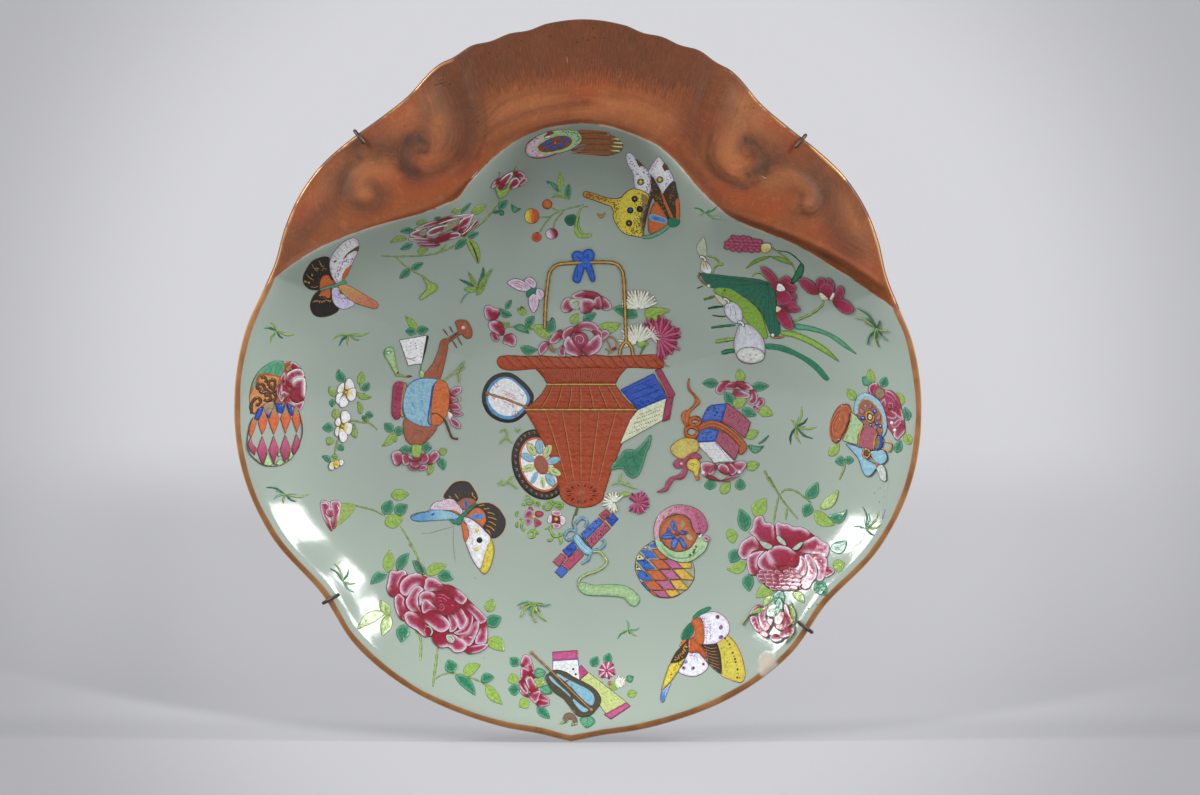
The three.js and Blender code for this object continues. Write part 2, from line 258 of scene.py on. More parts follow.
def soft_light(name, place_at, size, power, aim=(0, 0, -0.03)):
    data = bpy.data.lights.new(name, "AREA")
    data.shape, data.size, data.size_y, data.energy = "RECTANGLE", size[0], size[1], power
    lamp = bpy.data.objects.new(name, data)
    lamp.location = place_at
    lamp.rotation_euler = (Vector(aim) - Vector(place_at)).to_track_quat("-Z", "Y").to_euler()
    bpy.context.scene.collection.objects.link(lamp)
    return lamp


for name, side in (("left_softbox", -LAMP_SIDE), ("right_softbox", LAMP_SIDE)):
    lamp = soft_light(name, (side, *LAMP_PLACE), LAMP_SIZE, LAMP_POWER)
    print(name, "at, m:", [round(c, 2) for c in lamp.location])

# %% [markdown]
# A glossy dish also mirrors the room. A world with one grey would flatten it, and a picture of a studio
# is not at hand, so the world's brightness is worked out from the direction: a base all round, more from
# low in front and low at the sides.

# %% Air of the room
def room_air(overhead, front, sides):
    """World light, by its strength overhead and what the low front and sides add."""
    world = bpy.data.worlds.new("studio_air")
    world.use_nodes = True
    tree = world.node_tree

    def calc(operation, a, b):
        made = tree.nodes.new("ShaderNodeMath")
        made.operation, made.use_clamp = operation, operation == "SUBTRACT"
        for socket, value in zip(made.inputs, (a, b)):
            if isinstance(value, float):
                socket.default_value = value
            else:
                tree.links.new(value, socket)
        return made.outputs[0]

    parts = tree.nodes.new("ShaderNodeSeparateXYZ")
    tree.links.new(tree.nodes.new("ShaderNodeTexCoord").outputs["Generated"], parts.inputs[0])
    low = calc("SUBTRACT", 1.0, parts.outputs[2])
    ahead = calc("MULTIPLY", calc("POWER", calc("SUBTRACT", 0.0, parts.outputs[1]), 1.5), front)
    aside = calc("MULTIPLY", calc("MULTIPLY", parts.outputs[0], parts.outputs[0]), sides)
    background = tree.nodes["Background"]
    background.inputs["Color"].default_value = (0.97, 0.98, 1.0, 1)
    tree.links.new(calc("ADD", calc("MULTIPLY", calc("ADD", ahead, aside), low), overhead),
                   background.inputs["Strength"])
    return world


bpy.context.scene.world = room_air(0.38, 1.4, 1.1)
bpy.context.scene.view_settings.view_transform = "Standard"

# %% [markdown]
# ## The porcelain
#
# The CAD solid is faceted for the collision model, so the seen dish is a finer mesh from the same rule:
# rings of points round the middle, from the well's floor over the lip and the rim to the foot ring behind.
# The lip carries low moulded relief, two joined scrolls on each side and fan ribs in the middle, which the
# mould's maker cut as lines and rounded bands. It is added to the ring heights before the mesh is made.

# %% Relief of the moulded lip
GROOVE_A = [(46, 122), (43, 111), (42, 103), (42.6, 94.7), (47.5, 88), (56, 84.2), (63.2, 84.7), (67, 89.5),
            (67.5, 94.2), (65, 98.5), (61.5, 100), (58.5, 98), (58.7, 94.5), (61, 93.3)]
GROOVE_B = [(63.2, 84.7), (68, 88.8), (76.6, 90.3), (85.6, 86.8), (89.5, 79.5), (88, 73.5), (82, 72),
            (77.8, 73.5), (76.5, 78), (79, 81.2), (81.2, 79.5)]
BAND_A = [(53, 119), (48.5, 107), (47.6, 98), (51.5, 91.5), (57.5, 88.6), (62.6, 90.5)]
BAND_B = [(66.5, 83.5), (73, 86.2), (80, 86), (84.8, 81.5), (84.2, 76.5), (80.3, 76)]
RIB_ANGLES, FAN_RINGS, FAN_END = (2.7, 8.7, 14.7, 20.7), (3.6, 7.8, 11.8), 24
HOLLOW, HOLLOW_WIDTH, SUNK = (63, 97), 3.8, 0.3
GRIME_AND_SHADE_SPOTS = [(HOLLOW, HOLLOW_WIDTH, 0.9), ((65.5, 87.5), 3.6, 0.7), ((72, 93.5), 6, 0.5),
               ((91, 83), 6, 0.55), ((54, 111), 8, 0.5)]


def smooth_path(points, steps=8, closed=False):
    """Catmull-Rom points through the given ones."""
    p = np.asarray(points, float)
    before, after = (p[-1], p[0]) if closed else (2 * p[0] - p[1], 2 * p[-1] - p[-2])
    ring = np.vstack([before, p, after] + ([p[1]] if closed else []))
    t = np.linspace(0, 1, steps, endpoint=False)[:, None]
    spans = []
    for a, b, c, d in zip(ring, ring[1:], ring[2:], ring[3:]):
        square, cube = 2 * a - 5 * b + 4 * c - d, 3 * b - a - 3 * c + d
        spans.append(0.5 * (2 * b + (c - a) * t + square * t ** 2 + cube * t ** 3))
    return np.vstack(spans + ([] if closed else [p[-1:]]))


def distance_to(path, across, up):
    """Least distance from each point to a path."""
    least = np.full(np.shape(across), np.inf)
    for a, b in zip(path, path[1:]):
        run = b - a
        t = np.clip(((across - a[0]) * run[0] + (up - a[1]) * run[1]) / max(run @ run, 1e-9), 0, 1)
        least = np.minimum(least, np.hypot(across - a[0] - t * run[0], up - a[1] - t * run[1]))
    return least


def bump(distance, width):
    return np.exp(-(distance / width) ** 2)


def lip_relief(angle, radius):
    """Height of the moulding over the plain lip, and how much soiling and painted shade its hollows hold, 0
    to 1.
    """
    a = np.abs(angle)
    across, up = radius * np.sin(np.radians(a)), radius * np.cos(np.radians(a))
    crest, rim = crest_radius(a), rim_radius(a)
    grooves = [distance_to(smooth_path(path), across, up) for path in (GROOVE_A, GROOVE_B)]
    bands = [distance_to(smooth_path(path), across, up) for path in (BAND_A, BAND_B)]
    hollow = np.hypot(across - HOLLOW[0], up - HOLLOW[1])
    height = (0.42 * bump(bands[0], 4.0) + 0.38 * bump(bands[1], 3.8) - 0.35 * bump(hollow, HOLLOW_WIDTH)
              - 0.26 * bump(grooves[0], 1.7) - 0.24 * bump(grooves[1], 1.7))
    out = radius - crest
    for rib in RIB_ANGLES:
        aside = (a - rib) * np.pi / 180 * radius
        height -= 0.2 * bump(aside, 0.8) * np.clip((rim - radius - 4) / 14, 0, 1)
    fan = np.clip((FAN_END - a) / 3, 0, 1)
    for ring in FAN_RINGS:
        height += fan * 0.1 * bump(out - ring, 1.1)
    fade = np.clip((out - 0.8) / 2.5, 0, 1) * np.clip((rim - radius - 2) / 3, 0, 1)
    # Dirt and painted shade: the grooves and hollows of the moulding are darkened where shade falls in them
    # and where dirt sits.
    grime_and_shade = 0.35 * bump(grooves[0], 2.4) + 0.3 * bump(grooves[1], 2.4)
    for (x, y), width, strength in GRIME_AND_SHADE_SPOTS:
        grime_and_shade = grime_and_shade + strength * bump(np.hypot(across - x, up - y), width)
    return (height - SUNK) * fade, np.clip(grime_and_shade, 0, 1) * fade


moulded = lip_relief(np.linspace(0, 70, 71)[:, None], np.linspace(100, 140, 81))[0]
print("relief of the lip, mm, lowest and highest:", moulded.min().round(2), moulded.max().round(2))

# %% [markdown]
# The mesh is made of closed rings with the same number of points in each. The columns stand closer together
# over the lip, where the relief is, and the rings closer towards the crest, where the surface turns. Behind
# the rim the rings run back under the lip and the wall to the foot ring, and end in a point at the middle.

# %% Rings and columns of the dish
LIP_COLUMNS_END, LIP_COLUMN_PITCH, BOWL_COLUMNS = 72, 0.4, 200


def column_angles():
    lip = np.arange(-LIP_COLUMNS_END, LIP_COLUMNS_END + 0.01, LIP_COLUMN_PITCH)
    bowl = np.linspace(LIP_COLUMNS_END, 360 - LIP_COLUMNS_END, BOWL_COLUMNS + 1)[1:-1]
    return np.concatenate([lip, np.where(bowl > 180, bowl - 360, bowl)])


def dish_rings(angle):
    """Radius, height, signed distance from rim, distance from crest, and soiling with painted shade, a row
    for each ring.
    """
    rim, crest = rim_radius(angle), crest_radius(angle)
    edge = RIM_THICKNESS / 2
    lip_end = rim - edge
    rings = []

    def add(radius, height, from_rim, grime_and_shade=0):
        rings.append(np.stack(np.broadcast_arrays(radius, height, from_rim, radius - crest, grime_and_shade)))

    for part in 1 - np.linspace(0.97, 0, 34) ** 1.35:
        add(crest * part, front_height(angle, crest * part), rim - crest * part)
    for part in np.linspace(0, 1, 47)[1:] ** 1.25:
        radius = crest + (lip_end - crest) * part
        relief, grime_and_shade = lip_relief(angle, radius)
        add(radius, front_height(angle, radius) + relief, rim - radius, grime_and_shade)
    middle = front_height(angle, lip_end) - edge
    for turn in np.radians(np.linspace(90, -90, 11)[1:]):
        add(lip_end + edge * np.cos(turn), middle + edge * np.sin(turn), edge * np.sin(turn))
    for part in (0.85, 0.65, 0.45, 0.3, 0.18, 0.08, 0):
        radius = crest + (lip_end - crest) * part
        add(radius, np.minimum(middle - edge, back_height(angle, radius)), radius - rim)
    for part in np.linspace(1, 0, 16)[1:]:
        radius = FOOT_RADIUS + (crest - FOOT_RADIUS) * part
        add(radius, back_height(angle, radius), radius - rim)
    inner = FOOT_RADIUS - FOOT_WIDTH
    foot_ring = [
        (FOOT_RADIUS - 0.3, 4), (FOOT_RADIUS - 0.4, 0.6), (FOOT_RADIUS - 1.0, 0), (inner + 0.6, 0),
        (inner, 0.6), (inner - 0.6, FOOT_HEIGHT - 1.2), (inner - 1.8, FOOT_HEIGHT),
        (inner * 0.6, FOOT_HEIGHT), (inner * 0.25, FOOT_HEIGHT)]
    for radius, height in foot_ring:
        add(np.full_like(angle, radius), height, radius - rim)
    return np.array(rings)


def link_mesh(name, points, faces):
    """A smooth object from points and faces, put in the scene."""
    mesh = bpy.data.meshes.new(name)
    mesh.from_pydata(points, [], faces)
    mesh.shade_smooth()
    piece = bpy.data.objects.new(name, mesh)
    bpy.context.scene.collection.objects.link(piece)
    return piece


def store(mesh, name, values):
    mesh.attributes.new(name, "FLOAT", "POINT").data.foreach_set("value", np.asarray(values, np.float32))


# %% [markdown]
# The rings are joined into one closed skin, with a point in the middle of the front and one in the middle
# of the back. Each point keeps its angle and its distances from the rim and the crest, which the
# porcelain's material reads later to know where one finish ends and the next begins.

# %% Make the dish mesh
angles = column_angles()
rings = dish_rings(angles)
ring_count, columns = rings.shape[0], len(angles)
turn = np.radians(angles)
skin = place(rings[:, 0] * np.sin(turn), rings[:, 0] * np.cos(turn), rings[:, 1]).reshape(-1, 3)
skin = np.clip(skin, dish_low, dish_high)
poles = place(np.zeros(2), np.zeros(2), np.array([FLOOR_HEIGHT, FOOT_HEIGHT]))
faces = []
for c in range(columns):
    n = (c + 1) % columns
    faces.append((ring_count * columns, n, c))
    faces += [(r * columns + c, r * columns + n, (r + 1) * columns + n, (r + 1) * columns + c)
              for r in range(ring_count - 1)]
    last = (ring_count - 1) * columns
    faces.append((ring_count * columns + 1, last + c, last + n))
porcelain = link_mesh("painted_porcelain", np.vstack([skin, poles]), faces)
for name, row, pole in (("from_rim", 2, 120), ("from_crest", 3, -120), ("grime_and_shade", 4, 0)):
    store(porcelain.data, name, np.concatenate([rings[:, row].ravel(), [pole, -pole if row == 2 else pole]]))
store(porcelain.data, "angle", np.concatenate([np.tile(angles, ring_count), [0, 0]]))
store(porcelain.data, "aside", np.concatenate([np.tile(np.abs(angles), ring_count), [0, 0]]))
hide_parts("porcelain_dish")
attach(porcelain, "dish")
print("porcelain faces:", len(porcelain.data.polygons))

# %% [markdown]
# ## Washes on the lip
#
# The lip was brushed with iron red, thick in one place and thin in the next, and the mould's hollows have
# held dirt since, darkened further here with painted shade. The brush went round the scrolls, and across the
# fan in the middle. Broad soft bands of darker, of paler and of redder colour are worked out here for each
# point of the lip and kept with the mesh. The darker bands are partly the red's brown wash and partly painted
# shade, where the low moulding turns from the light. The finer streaks come from the material, which follows
# the same directions. A painted texture would need a picture.

# %% Soft bands, drawn on the grids of three enlarged views
LEFT_VIEW, RIGHT_VIEW, TOP_VIEW = ((280, 60), 7.13), ((680, 60), 6.53), ((480, 10), 7.13)
WHOLE_PICTURE, LIP_WASH_END = ((0, 0), 1), 75
WASHES = {
    # Painted shade: the darker bands are partly the red's brown wash and partly shade where the low moulding
    # turns from the light.
    "shade": {
        LEFT_VIEW: [
            ("1130,40 1250,200 1330,360 1325,500 1270,620", 9, 0.85),
            ("1300,560 1180,730 1050,815 950,825", 4.5, 0.6), ("990,820 905,770 880,670 915,590", 3.4, 1.0),
            ("560,630 700,610 860,640", 7, 0.75),
            ("500,740 470,880 510,1000 610,1055 710,1015 740,940", 3.8, 0.7),
            ("460,860 380,1000 250,1140 130,1290 60,1400", 4.5, 0.6), ("690,920 720,980", 3, 0.8),
            ("0,1500 250,1380 560,1235 860,1165 1060,1095 1230,990 1390,850 1568,690", 2.6, 0.55),
            ("985,560 1050,590 1045,650 1005,655", 2.0, 0.9),
            ("1400,120 1460,380 1455,560 1400,700", 1.4, 0.7), ("1030,300 1060,420 1020,520", 4, 0.4)],
        RIGHT_VIEW: [
            ("330,60 260,130 160,230 110,340 90,460", 9, 0.6),
            ("200,500 180,620 240,740 340,810 430,835", 1.6, 0.8),
            ("225,540 220,640 290,740 380,790", 1.0, 0.7), ("520,560 620,640 580,700", 7, 0.7),
            ("600,680 760,680 880,750 960,880 1010,1000 1040,1130 1130,1240", 6.5, 0.7),
            ("900,790 940,900 905,985 840,1010 790,960 800,880", 1.5, 0.8),
            ("860,760 905,850 880,960 830,960", 1.1, 0.6),
            ("0,640 150,790 280,965 450,1070 700,1175 950,1300 1200,1465 1300,1560", 2.6, 0.6),
            ("930,1285 1010,1340", 2.2, 1.0), ("860,560 1000,700 1100,860 1180,1020", 3.0, 0.45),
            ("500,120 620,300 760,450", 3.0, 0.4)],
        TOP_VIEW: [
            ("30,780 200,640 420,590 620,580", 1.3, 0.4), ("60,850 300,740 560,680 760,665", 1.5, 0.45),
            ("100,960 330,860 620,800 900,800 1150,880 1330,980 1480,1110", 1.7, 0.5),
            ("940,600 1150,630 1330,720", 1.3, 0.4), ("30,640 40,800 30,960", 1.2, 0.5),
            ("1500,560 1440,700 1420,860", 1.6, 0.5)]},
    "pale": {
        LEFT_VIEW: [
            ("1080,330 1130,480 1150,620 1080,740", 6, 0.8), ("580,950 560,860 640,800 760,790", 5.5, 0.9),
            ("620,960 660,930", 3, 0.8), ("960,380 860,440 740,530", 6, 0.35),
            ("240,1000 330,900", 5, 0.35)],
        RIGHT_VIEW: [
            ("410,270 370,420 330,560 350,690 400,760", 5, 0.9), ("510,370 530,460 590,520", 5, 0.7),
            ("560,800 700,740 820,780 880,870 850,940", 4.2, 0.9), ("1090,950 1170,1120 1230,1300", 5, 0.6)],
        TOP_VIEW: [
            ("100,760 300,670 560,620", 5, 0.6), ("900,660 1150,680 1340,790", 6, 0.65),
            ("700,720 930,700", 3, 0.5)]},
    "flush": {
        LEFT_VIEW: [
            ("990,700 1060,720 1120,650", 4, 0.7), ("860,820 930,870 1080,900 1250,830 1420,700", 5, 0.9),
            ("760,880 900,960 1050,960", 5, 0.6), ("160,1110 260,1040", 5, 0.8),
            ("560,1110 800,1060", 4, 0.5), ("870,360 780,420 700,500", 6, 0.4)],
        RIGHT_VIEW: [
            ("120,280 150,420 60,440", 6, 0.7), ("270,860 450,900 560,980 640,960", 6, 0.9),
            ("740,540 700,590", 4, 0.7), ("870,1120 1050,1230 1200,1340 1290,1400", 5, 0.8),
            ("600,420 680,500 780,620", 4, 0.6)],
        TOP_VIEW: [
            ("760,590 830,530 900,510", 4, 1.0), ("520,460 600,520 740,600", 6, 0.6),
            ("840,300 860,440", 4, 0.6), ("330,440 500,490", 4, 0.5),
            ("1040,460 1060,560 1300,590", 5, 0.5), ("1380,960 1500,880", 5, 0.7)]},
    "soot": {
        LEFT_VIEW: [
            ("985,545 995,575", 1.6, 1.0), ("1010,630 1020,645", 1.3, 0.9),
            ("910,730 925,765 980,800", 1.5, 0.8), ("530,590 560,620", 1.8, 0.7),
            ("565,690 585,715", 1.3, 0.7)],
        RIGHT_VIEW: [
            ("425,515 445,545", 1.6, 1.0), ("408,618 428,642", 1.5, 1.0), ("440,750 462,768", 1.6, 1.0),
            ("915,1280 1020,1345", 1.6, 0.9)]}}
FAN_ANGLE, FAN_SHADE_RADIUS = 22.5, 125
CORAL_EDGE = (
    "252,310 260,293 282.4,272 314.7,250.5 352.4,234 395.5,220.7 422,213.5 446.6,203.5 457.4,198.5 "
    "470.8,181.5 489.7,161.5 513.9,142.5 538,131 562.3,125.5 581.2,123.8 605,125.5 625.8,131.8 646.8,140.2 "
    "659.4,147 671.9,157.4 682.4,169 697,186.7 713.9,203.5 730.7,217.2 747.5,225.6 766.4,233 787.3,241.3 "
    "808.3,251.8 831.4,266.5 850.3,278 871.3,292.7 888,304 899,313")


def read_points(points):
    """Rows (x, y) from text such as "12,40 15,38", or from a list."""
    if isinstance(points, str):
        return np.array([[float(n) for n in pair.split(",")] for pair in points.split()])
    return np.asarray(points, float)


def from_view(view, points):
    """Points on the grid of an enlarged view, to (across, up) on the dish."""
    (left, top), scale = view
    return from_picture(np.array([left, top]) + read_points(points) / scale)


plan = np.stack([rings[:, 0] * np.sin(turn), rings[:, 0] * np.cos(turn)], -1).reshape(-1, 2)
from_rim, from_crest = rings[:, 2].ravel(), rings[:, 3].ravel()
point_angles = np.tile(angles, ring_count)
on_lip = np.flatnonzero((from_crest > -1) & (from_rim > 0) & (np.abs(point_angles) < LIP_WASH_END))
for name, views in WASHES.items():
    total = np.zeros(len(plan) + 2)
    for view, bands in views.items():
        for path, width, strength in bands:
            far = distance_to(smooth_path(from_view(view, path)), *plan[on_lip].T)
            total[on_lip] = np.maximum(total[on_lip], strength * bump(far, width))
    store(porcelain.data, name, total)
    print(name, "reaches", int((total > 0.2).sum()), "points")

# %% [markdown]
# Two more values steer the lip's colour. One is how far a point is from the nearest scroll, which the
# streaks follow. The other is how far it is from the coral's painted edge, which was traced in the picture
# and follows the crest but for the brush's wavering.

# %% Distances to the scrolls and to the edge of the coral
FAR_FROM_SCROLLS, OFF_CORAL = 50.0, -9

mirrored_plan = np.abs(plan[on_lip, 0]), plan[on_lip, 1]
scroll = np.full(len(plan) + 2, FAR_FROM_SCROLLS)
for path in (GROOVE_A, GROOVE_B, BAND_A, BAND_B):
    scroll[on_lip] = np.minimum(scroll[on_lip], distance_to(smooth_path(path), *mirrored_plan))
scroll[on_lip] = np.minimum(scroll[on_lip], from_crest[on_lip] + 2)
store(porcelain.data, "scroll", scroll)

edge_at = [to_polar(*p) for p in from_view(WHOLE_PICTURE, CORAL_EDGE)]
coral_edge = smooth_through(edge_at)
within = np.abs(point_angles) < min(abs(edge_at[0][0]), abs(edge_at[-1][0]))
from_coral = np.where(within, rings[:, 0].ravel() - coral_edge(point_angles), OFF_CORAL)
store(porcelain.data, "from_coral", np.concatenate([from_coral, [OFF_CORAL, OFF_CORAL]]))
store(porcelain.data, "radius", np.concatenate([rings[:, 0].ravel(), [0, 0]]))
off_crest = [r - crest_radius(a) for a, r in edge_at]
print("coral edge, mm from the crest, lowest and highest:", round(min(off_crest), 1),
      round(max(off_crest), 1))

# %% [markdown]
# ## The wire hanger
#
# Each half of a plate hanger is one length of hard steel wire, bent in a jig: a hook at both ends, two arms
# that lie against the back of the dish, and a straight run between two elbows. The upper half has a
# peak in that run, which goes over the nail. Two close-wound springs pull the halves together. The paths
# repeat the CAD's sizes with more points, and a round section follows each path.

# %% Tubes along a path
def tube(name, path, radius, sides=16):
    """A closed round tube along a path of points in metres, with domed ends."""
    path = np.asarray(path, float)
    tangent = np.gradient(path, axis=0)
    tangent /= np.linalg.norm(tangent, axis=1)[:, None]
    normal = np.cross(tangent[0], (0.31, 0.59, 0.74))
    sections, spin = [], np.linspace(0, 2 * np.pi, sides, endpoint=False)
    for point, along in zip(path, tangent):
        normal = normal - along * (normal @ along)
        normal /= np.linalg.norm(normal)
        side = np.cross(along, normal)
        sections.append((point, along, np.cos(spin)[:, None] * normal + np.sin(spin)[:, None] * side))
    rings = []
    for turn in np.radians((20, 45, 70)):
        rings.append(sections[0][0] - sections[0][1] * radius * 0.6 * np.cos(turn)
                     + sections[0][2] * radius * np.sin(turn))
    rings += [point + radius * spokes for point, _, spokes in sections]
    for turn in np.radians((70, 45, 20)):
        rings.append(sections[-1][0] + sections[-1][1] * radius * 0.6 * np.cos(turn)
                     + sections[-1][2] * radius * np.sin(turn))
    points = np.vstack(rings + [sections[0][0] - sections[0][1] * radius * 0.62,
                                sections[-1][0] + sections[-1][1] * radius * 0.62])
    faces = []
    for k in range(sides):
        n = (k + 1) % sides
        faces.append((len(points) - 2, n, k))
        faces += [(r * sides + k, r * sides + n, (r + 1) * sides + n, (r + 1) * sides + k)
                  for r in range(len(rings) - 1)]
        faces.append((len(points) - 1, (len(rings) - 1) * sides + k, (len(rings) - 1) * sides + n))
    return link_mesh(name, points, faces)


def arc(centre, radius, start, stop, steps):
    """Points of a circle's arc, from one angle in degrees to another."""
    turn = np.radians(np.linspace(start, stop, steps + 1))
    return [(centre[0] + radius * math.cos(t), centre[1] + radius * math.sin(t)) for t in turn]


# %% [markdown]
# A hook has to clear the rim and lie close to it, so its path is worked out against the surface: over the
# front at the wire's radius and a small gap, round a half circle outside the rim, and down the back, where
# it keeps off the porcelain until it lands on the level of the foot ring.

# %% One arm of the hanger
ELBOW_ACROSS, ELBOW_BEND = 21, 2.5
LOOP_HALF_WIDTH, LOOP_CROWN, LOOP_FOOT = 6.5, 3.6, 2.2
HOOKS = {"upper": (UPPER_ELBOW_UP, {"right": (81.1, 100.2), "left": (83.5, 98.2)}, 4.4),
         "lower": (LOWER_ELBOW_UP, {"right": (86.7, -81.3), "left": (89.1, -73.4)}, 5.2)}


def arm_path(elbow_up, target, reach):
    """Frame points from the hook's tip over the rim and down the back to the foot ring."""
    elbow = np.array([ELBOW_ACROSS, elbow_up], float)
    out = (np.array(target) - elbow) / np.linalg.norm(np.array(target) - elbow)
    near, far = 0.0, 300.0
    for _ in range(40):
        middle = (near + far) / 2
        angle, radius = to_polar(*(elbow + out * middle))
        near, far = (middle, far) if radius < rim_radius(angle) else (near, middle)
    plan = lambda inward: elbow + out * (near - inward)
    surface = lambda height, inward: float(height(*to_polar(*plan(inward))))
    clear, edge = SEAT_GAP + WIRE_RADIUS, RIM_THICKNESS / 2
    under_rim = surface(front_height, edge) - RIM_THICKNESS

    def hugging(inward):
        return min(min(under_rim, surface(back_height, inward + clear * s)) - clear * math.sqrt(1 - s * s)
                   for s in np.arange(-1, 1.01, 0.125))

    leg = clear + max(surface(front_height, i) for i in np.arange(edge, reach + 1.01, 0.5))
    bend = (leg - hugging(2)) / 2
    back = hugging(bend - clear - HOOK_STANDOFF)
    bend = (leg - back) / 2
    centre = (bend - clear - HOOK_STANDOFF, (leg + back) / 2)
    profile = [(reach, leg), ((reach + centre[0]) / 2, leg)] + arc(centre, bend, 90, 270, 24)
    landing = 0
    while np.hypot(*plan(landing)) > FOOT_RADIUS + 2 * clear:
        landing += 0.25
    for part in (0.03, 0.08, 0.15, 0.24, 0.35, 0.48, 0.64, 0.82):
        inward = centre[0] + (landing - centre[0]) * part
        profile.append((inward, min(back + (WIRE_HEIGHT - back) * part, hugging(inward))))
    profile.append((landing, WIRE_HEIGHT))
    return [place(*plan(inward), height) for inward, height in profile]


def round_corner(before, corner, after, radius, steps):
    """Points of the round bend that stands for a corner between two straight runs."""
    a, b = ((p - corner) / np.linalg.norm(p - corner) for p in (before, after))
    half = math.acos(np.clip(a @ b, -1, 1)) / 2
    start, end = corner + a * radius / math.tan(half), corner + b * radius / math.tan(half)
    centre = corner + (a + b) / np.linalg.norm(a + b) * radius / math.sin(half)
    sweep = math.pi - 2 * half
    return [centre + (math.sin(sweep * (1 - t)) * (start - centre) + math.sin(sweep * t) * (end - centre))
            / math.sin(sweep) for t in np.linspace(0, 1, steps + 1)]


# %% [markdown]
# Each wire is one path from hook to hook. A half is made for the right side and one for the left, with
# its own hook target, because a hanger clasped on by hand sits a little askew. The left half is turned
# over and joined to the right one.

# %% Both wires
def half_wire(which, side):
    elbow_up, targets, reach = HOOKS[which]
    arm = arm_path(elbow_up, targets[side], reach)
    corner, inner = place(ELBOW_ACROSS, elbow_up, WIRE_HEIGHT), place(0, elbow_up, WIRE_HEIGHT)
    return arm + round_corner(arm[-1], corner, inner, ELBOW_BEND / 1000, 8)


def loop_half():
    """From the run between the elbows up to the crown of the hanging loop."""
    crown_up = LOOP_HEIGHT - LOOP_CROWN
    lean = math.degrees(math.atan2(LOOP_HALF_WIDTH - LOOP_CROWN, crown_up))
    bow = arc((0, UPPER_ELBOW_UP + crown_up), LOOP_CROWN, lean, 90, 12)
    crown = [place(x, y, WIRE_HEIGHT) for x, y in bow]
    foot = place(LOOP_HALF_WIDTH, UPPER_ELBOW_UP, WIRE_HEIGHT)
    elbow = place(ELBOW_ACROSS, UPPER_ELBOW_UP, WIRE_HEIGHT)
    return round_corner(elbow, foot, crown[0], LOOP_FOOT / 1000, 8) + crown


def mirrored(path):
    return [p * (-1, 1, 1) for p in reversed(path)]


upper = {side: half_wire("upper", side) + loop_half() for side in ("right", "left")}
hanger_wires = {}
for name, node, body, path in (
        ("upper_wire_round", "upper_hanger_wire", "upper_wire", upper["right"] + mirrored(upper["left"])[1:]),
        ("lower_wire_round", "lower_hanger_wire", "lower_wire",
         half_wire("lower", "right") + mirrored(half_wire("lower", "left")))):
    wire = tube(name, path, WIRE_RADIUS / 1000)
    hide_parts(node)
    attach(wire, body)
    hanger_wires[name] = wire
    print(name, "wire length, mm:", round(1000 * sum(np.linalg.norm(b - a) for a, b in zip(path, path[1:]))))

# %% [markdown]
# A spring hangs in one piece from the upper wire to the lower one, but the two slides stretch it one after
# the other. So it is cut in the middle of a turn into an upper and a lower half, which meet: the upper half
# runs from the upper wire's hook to the middle of the coil, the lower half from there to the lower wire's
# hook.

# %% Springs
SPRING_WIRE, COIL_RADIUS, COIL_PITCH, COIL_TURNS = 0.5, 2.8, 1.9, 16


def spring_hook(coil_end, wire_up):
    centre = wire_up - (COIL_RADIUS - SPRING_WIRE - WIRE_RADIUS - SEAT_GAP)
    start = coil_end + COIL_RADIUS / 2
    hook = [(-COIL_RADIUS, start), (-COIL_RADIUS, (start + centre) / 2)]
    hook += arc((0, centre), COIL_RADIUS, 180, -100, 28)
    return hook + [(hook[-1][0] - 2 * SPRING_WIRE, hook[-1][1])]


def spring_path(across):
    middle = (UPPER_ELBOW_UP + LOWER_ELBOW_UP) / 2
    top = middle + COIL_PITCH * COIL_TURNS / 2
    upper = [place(across, up, WIRE_HEIGHT + f) for f, up in reversed(spring_hook(top, UPPER_ELBOW_UP))]
    lower = [place(across, -up, WIRE_HEIGHT + f) for f, up in spring_hook(top - 2 * middle, -LOWER_ELBOW_UP)]
    steps = 24
    coil = []
    for i in range(1, COIL_TURNS * steps):
        t = 2 * math.pi * i / steps
        coil.append(place(across + COIL_RADIUS * math.sin(t), top - COIL_PITCH * i / steps,
                          WIRE_HEIGHT - COIL_RADIUS * math.cos(t)))
    cut = len(upper) + len(coil) // 2
    path = upper + coil + lower
    return path[:cut + 1], path[cut:]


spring_pieces = []
for side, across in (("left", -(ELBOW_ACROSS - ELBOW_BEND)), ("right", ELBOW_ACROSS - ELBOW_BEND)):
    halves = spring_path(across)
    for part, path in zip(("upper", "lower"), halves):
        coil = tube(f"{side}_spring_{part}_half", path, SPRING_WIRE / 1000, 10)
        if part == "upper":
            tuple(path[0])
            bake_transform(coil)
        else:
            tuple(path[-1])
            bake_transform(coil)
        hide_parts(f"{side}_spring")
        spring_pieces.append(coil)
print("spring pieces:", [piece.name for piece in spring_pieces])

# %% [markdown]
# ## Finishes
#
# Materials are made from a few small helpers: one adds a node and joins its sockets, the others are the
# sums, blends, ramps and noises that come back everywhere. A colour is written as it looks in the
# photograph and turned into the surface's own. Brush streaks and the ripple of melted glass come back in
# several places, so each of them is a node group with named sockets.

# %% Seen colours
LIGHT_LEVEL, LIGHTEST = 0.96, 0.9


def tone(red, green, blue):
    """Seen colour, 0 to 255, to the surface's own linear colour under the studio's light."""
    seen = np.array([red, green, blue]) / 255
    linear = np.where(seen <= 0.04, seen / 12.92, ((seen + 0.055) / 1.055) ** 2.4)
    return np.minimum(linear / LIGHT_LEVEL, LIGHTEST)


def solid(*rgb):
    return (*tone(*rgb), 1)


print("mid grey of the picture as a surface colour:", tone(128, 128, 128).round(3).tolist())

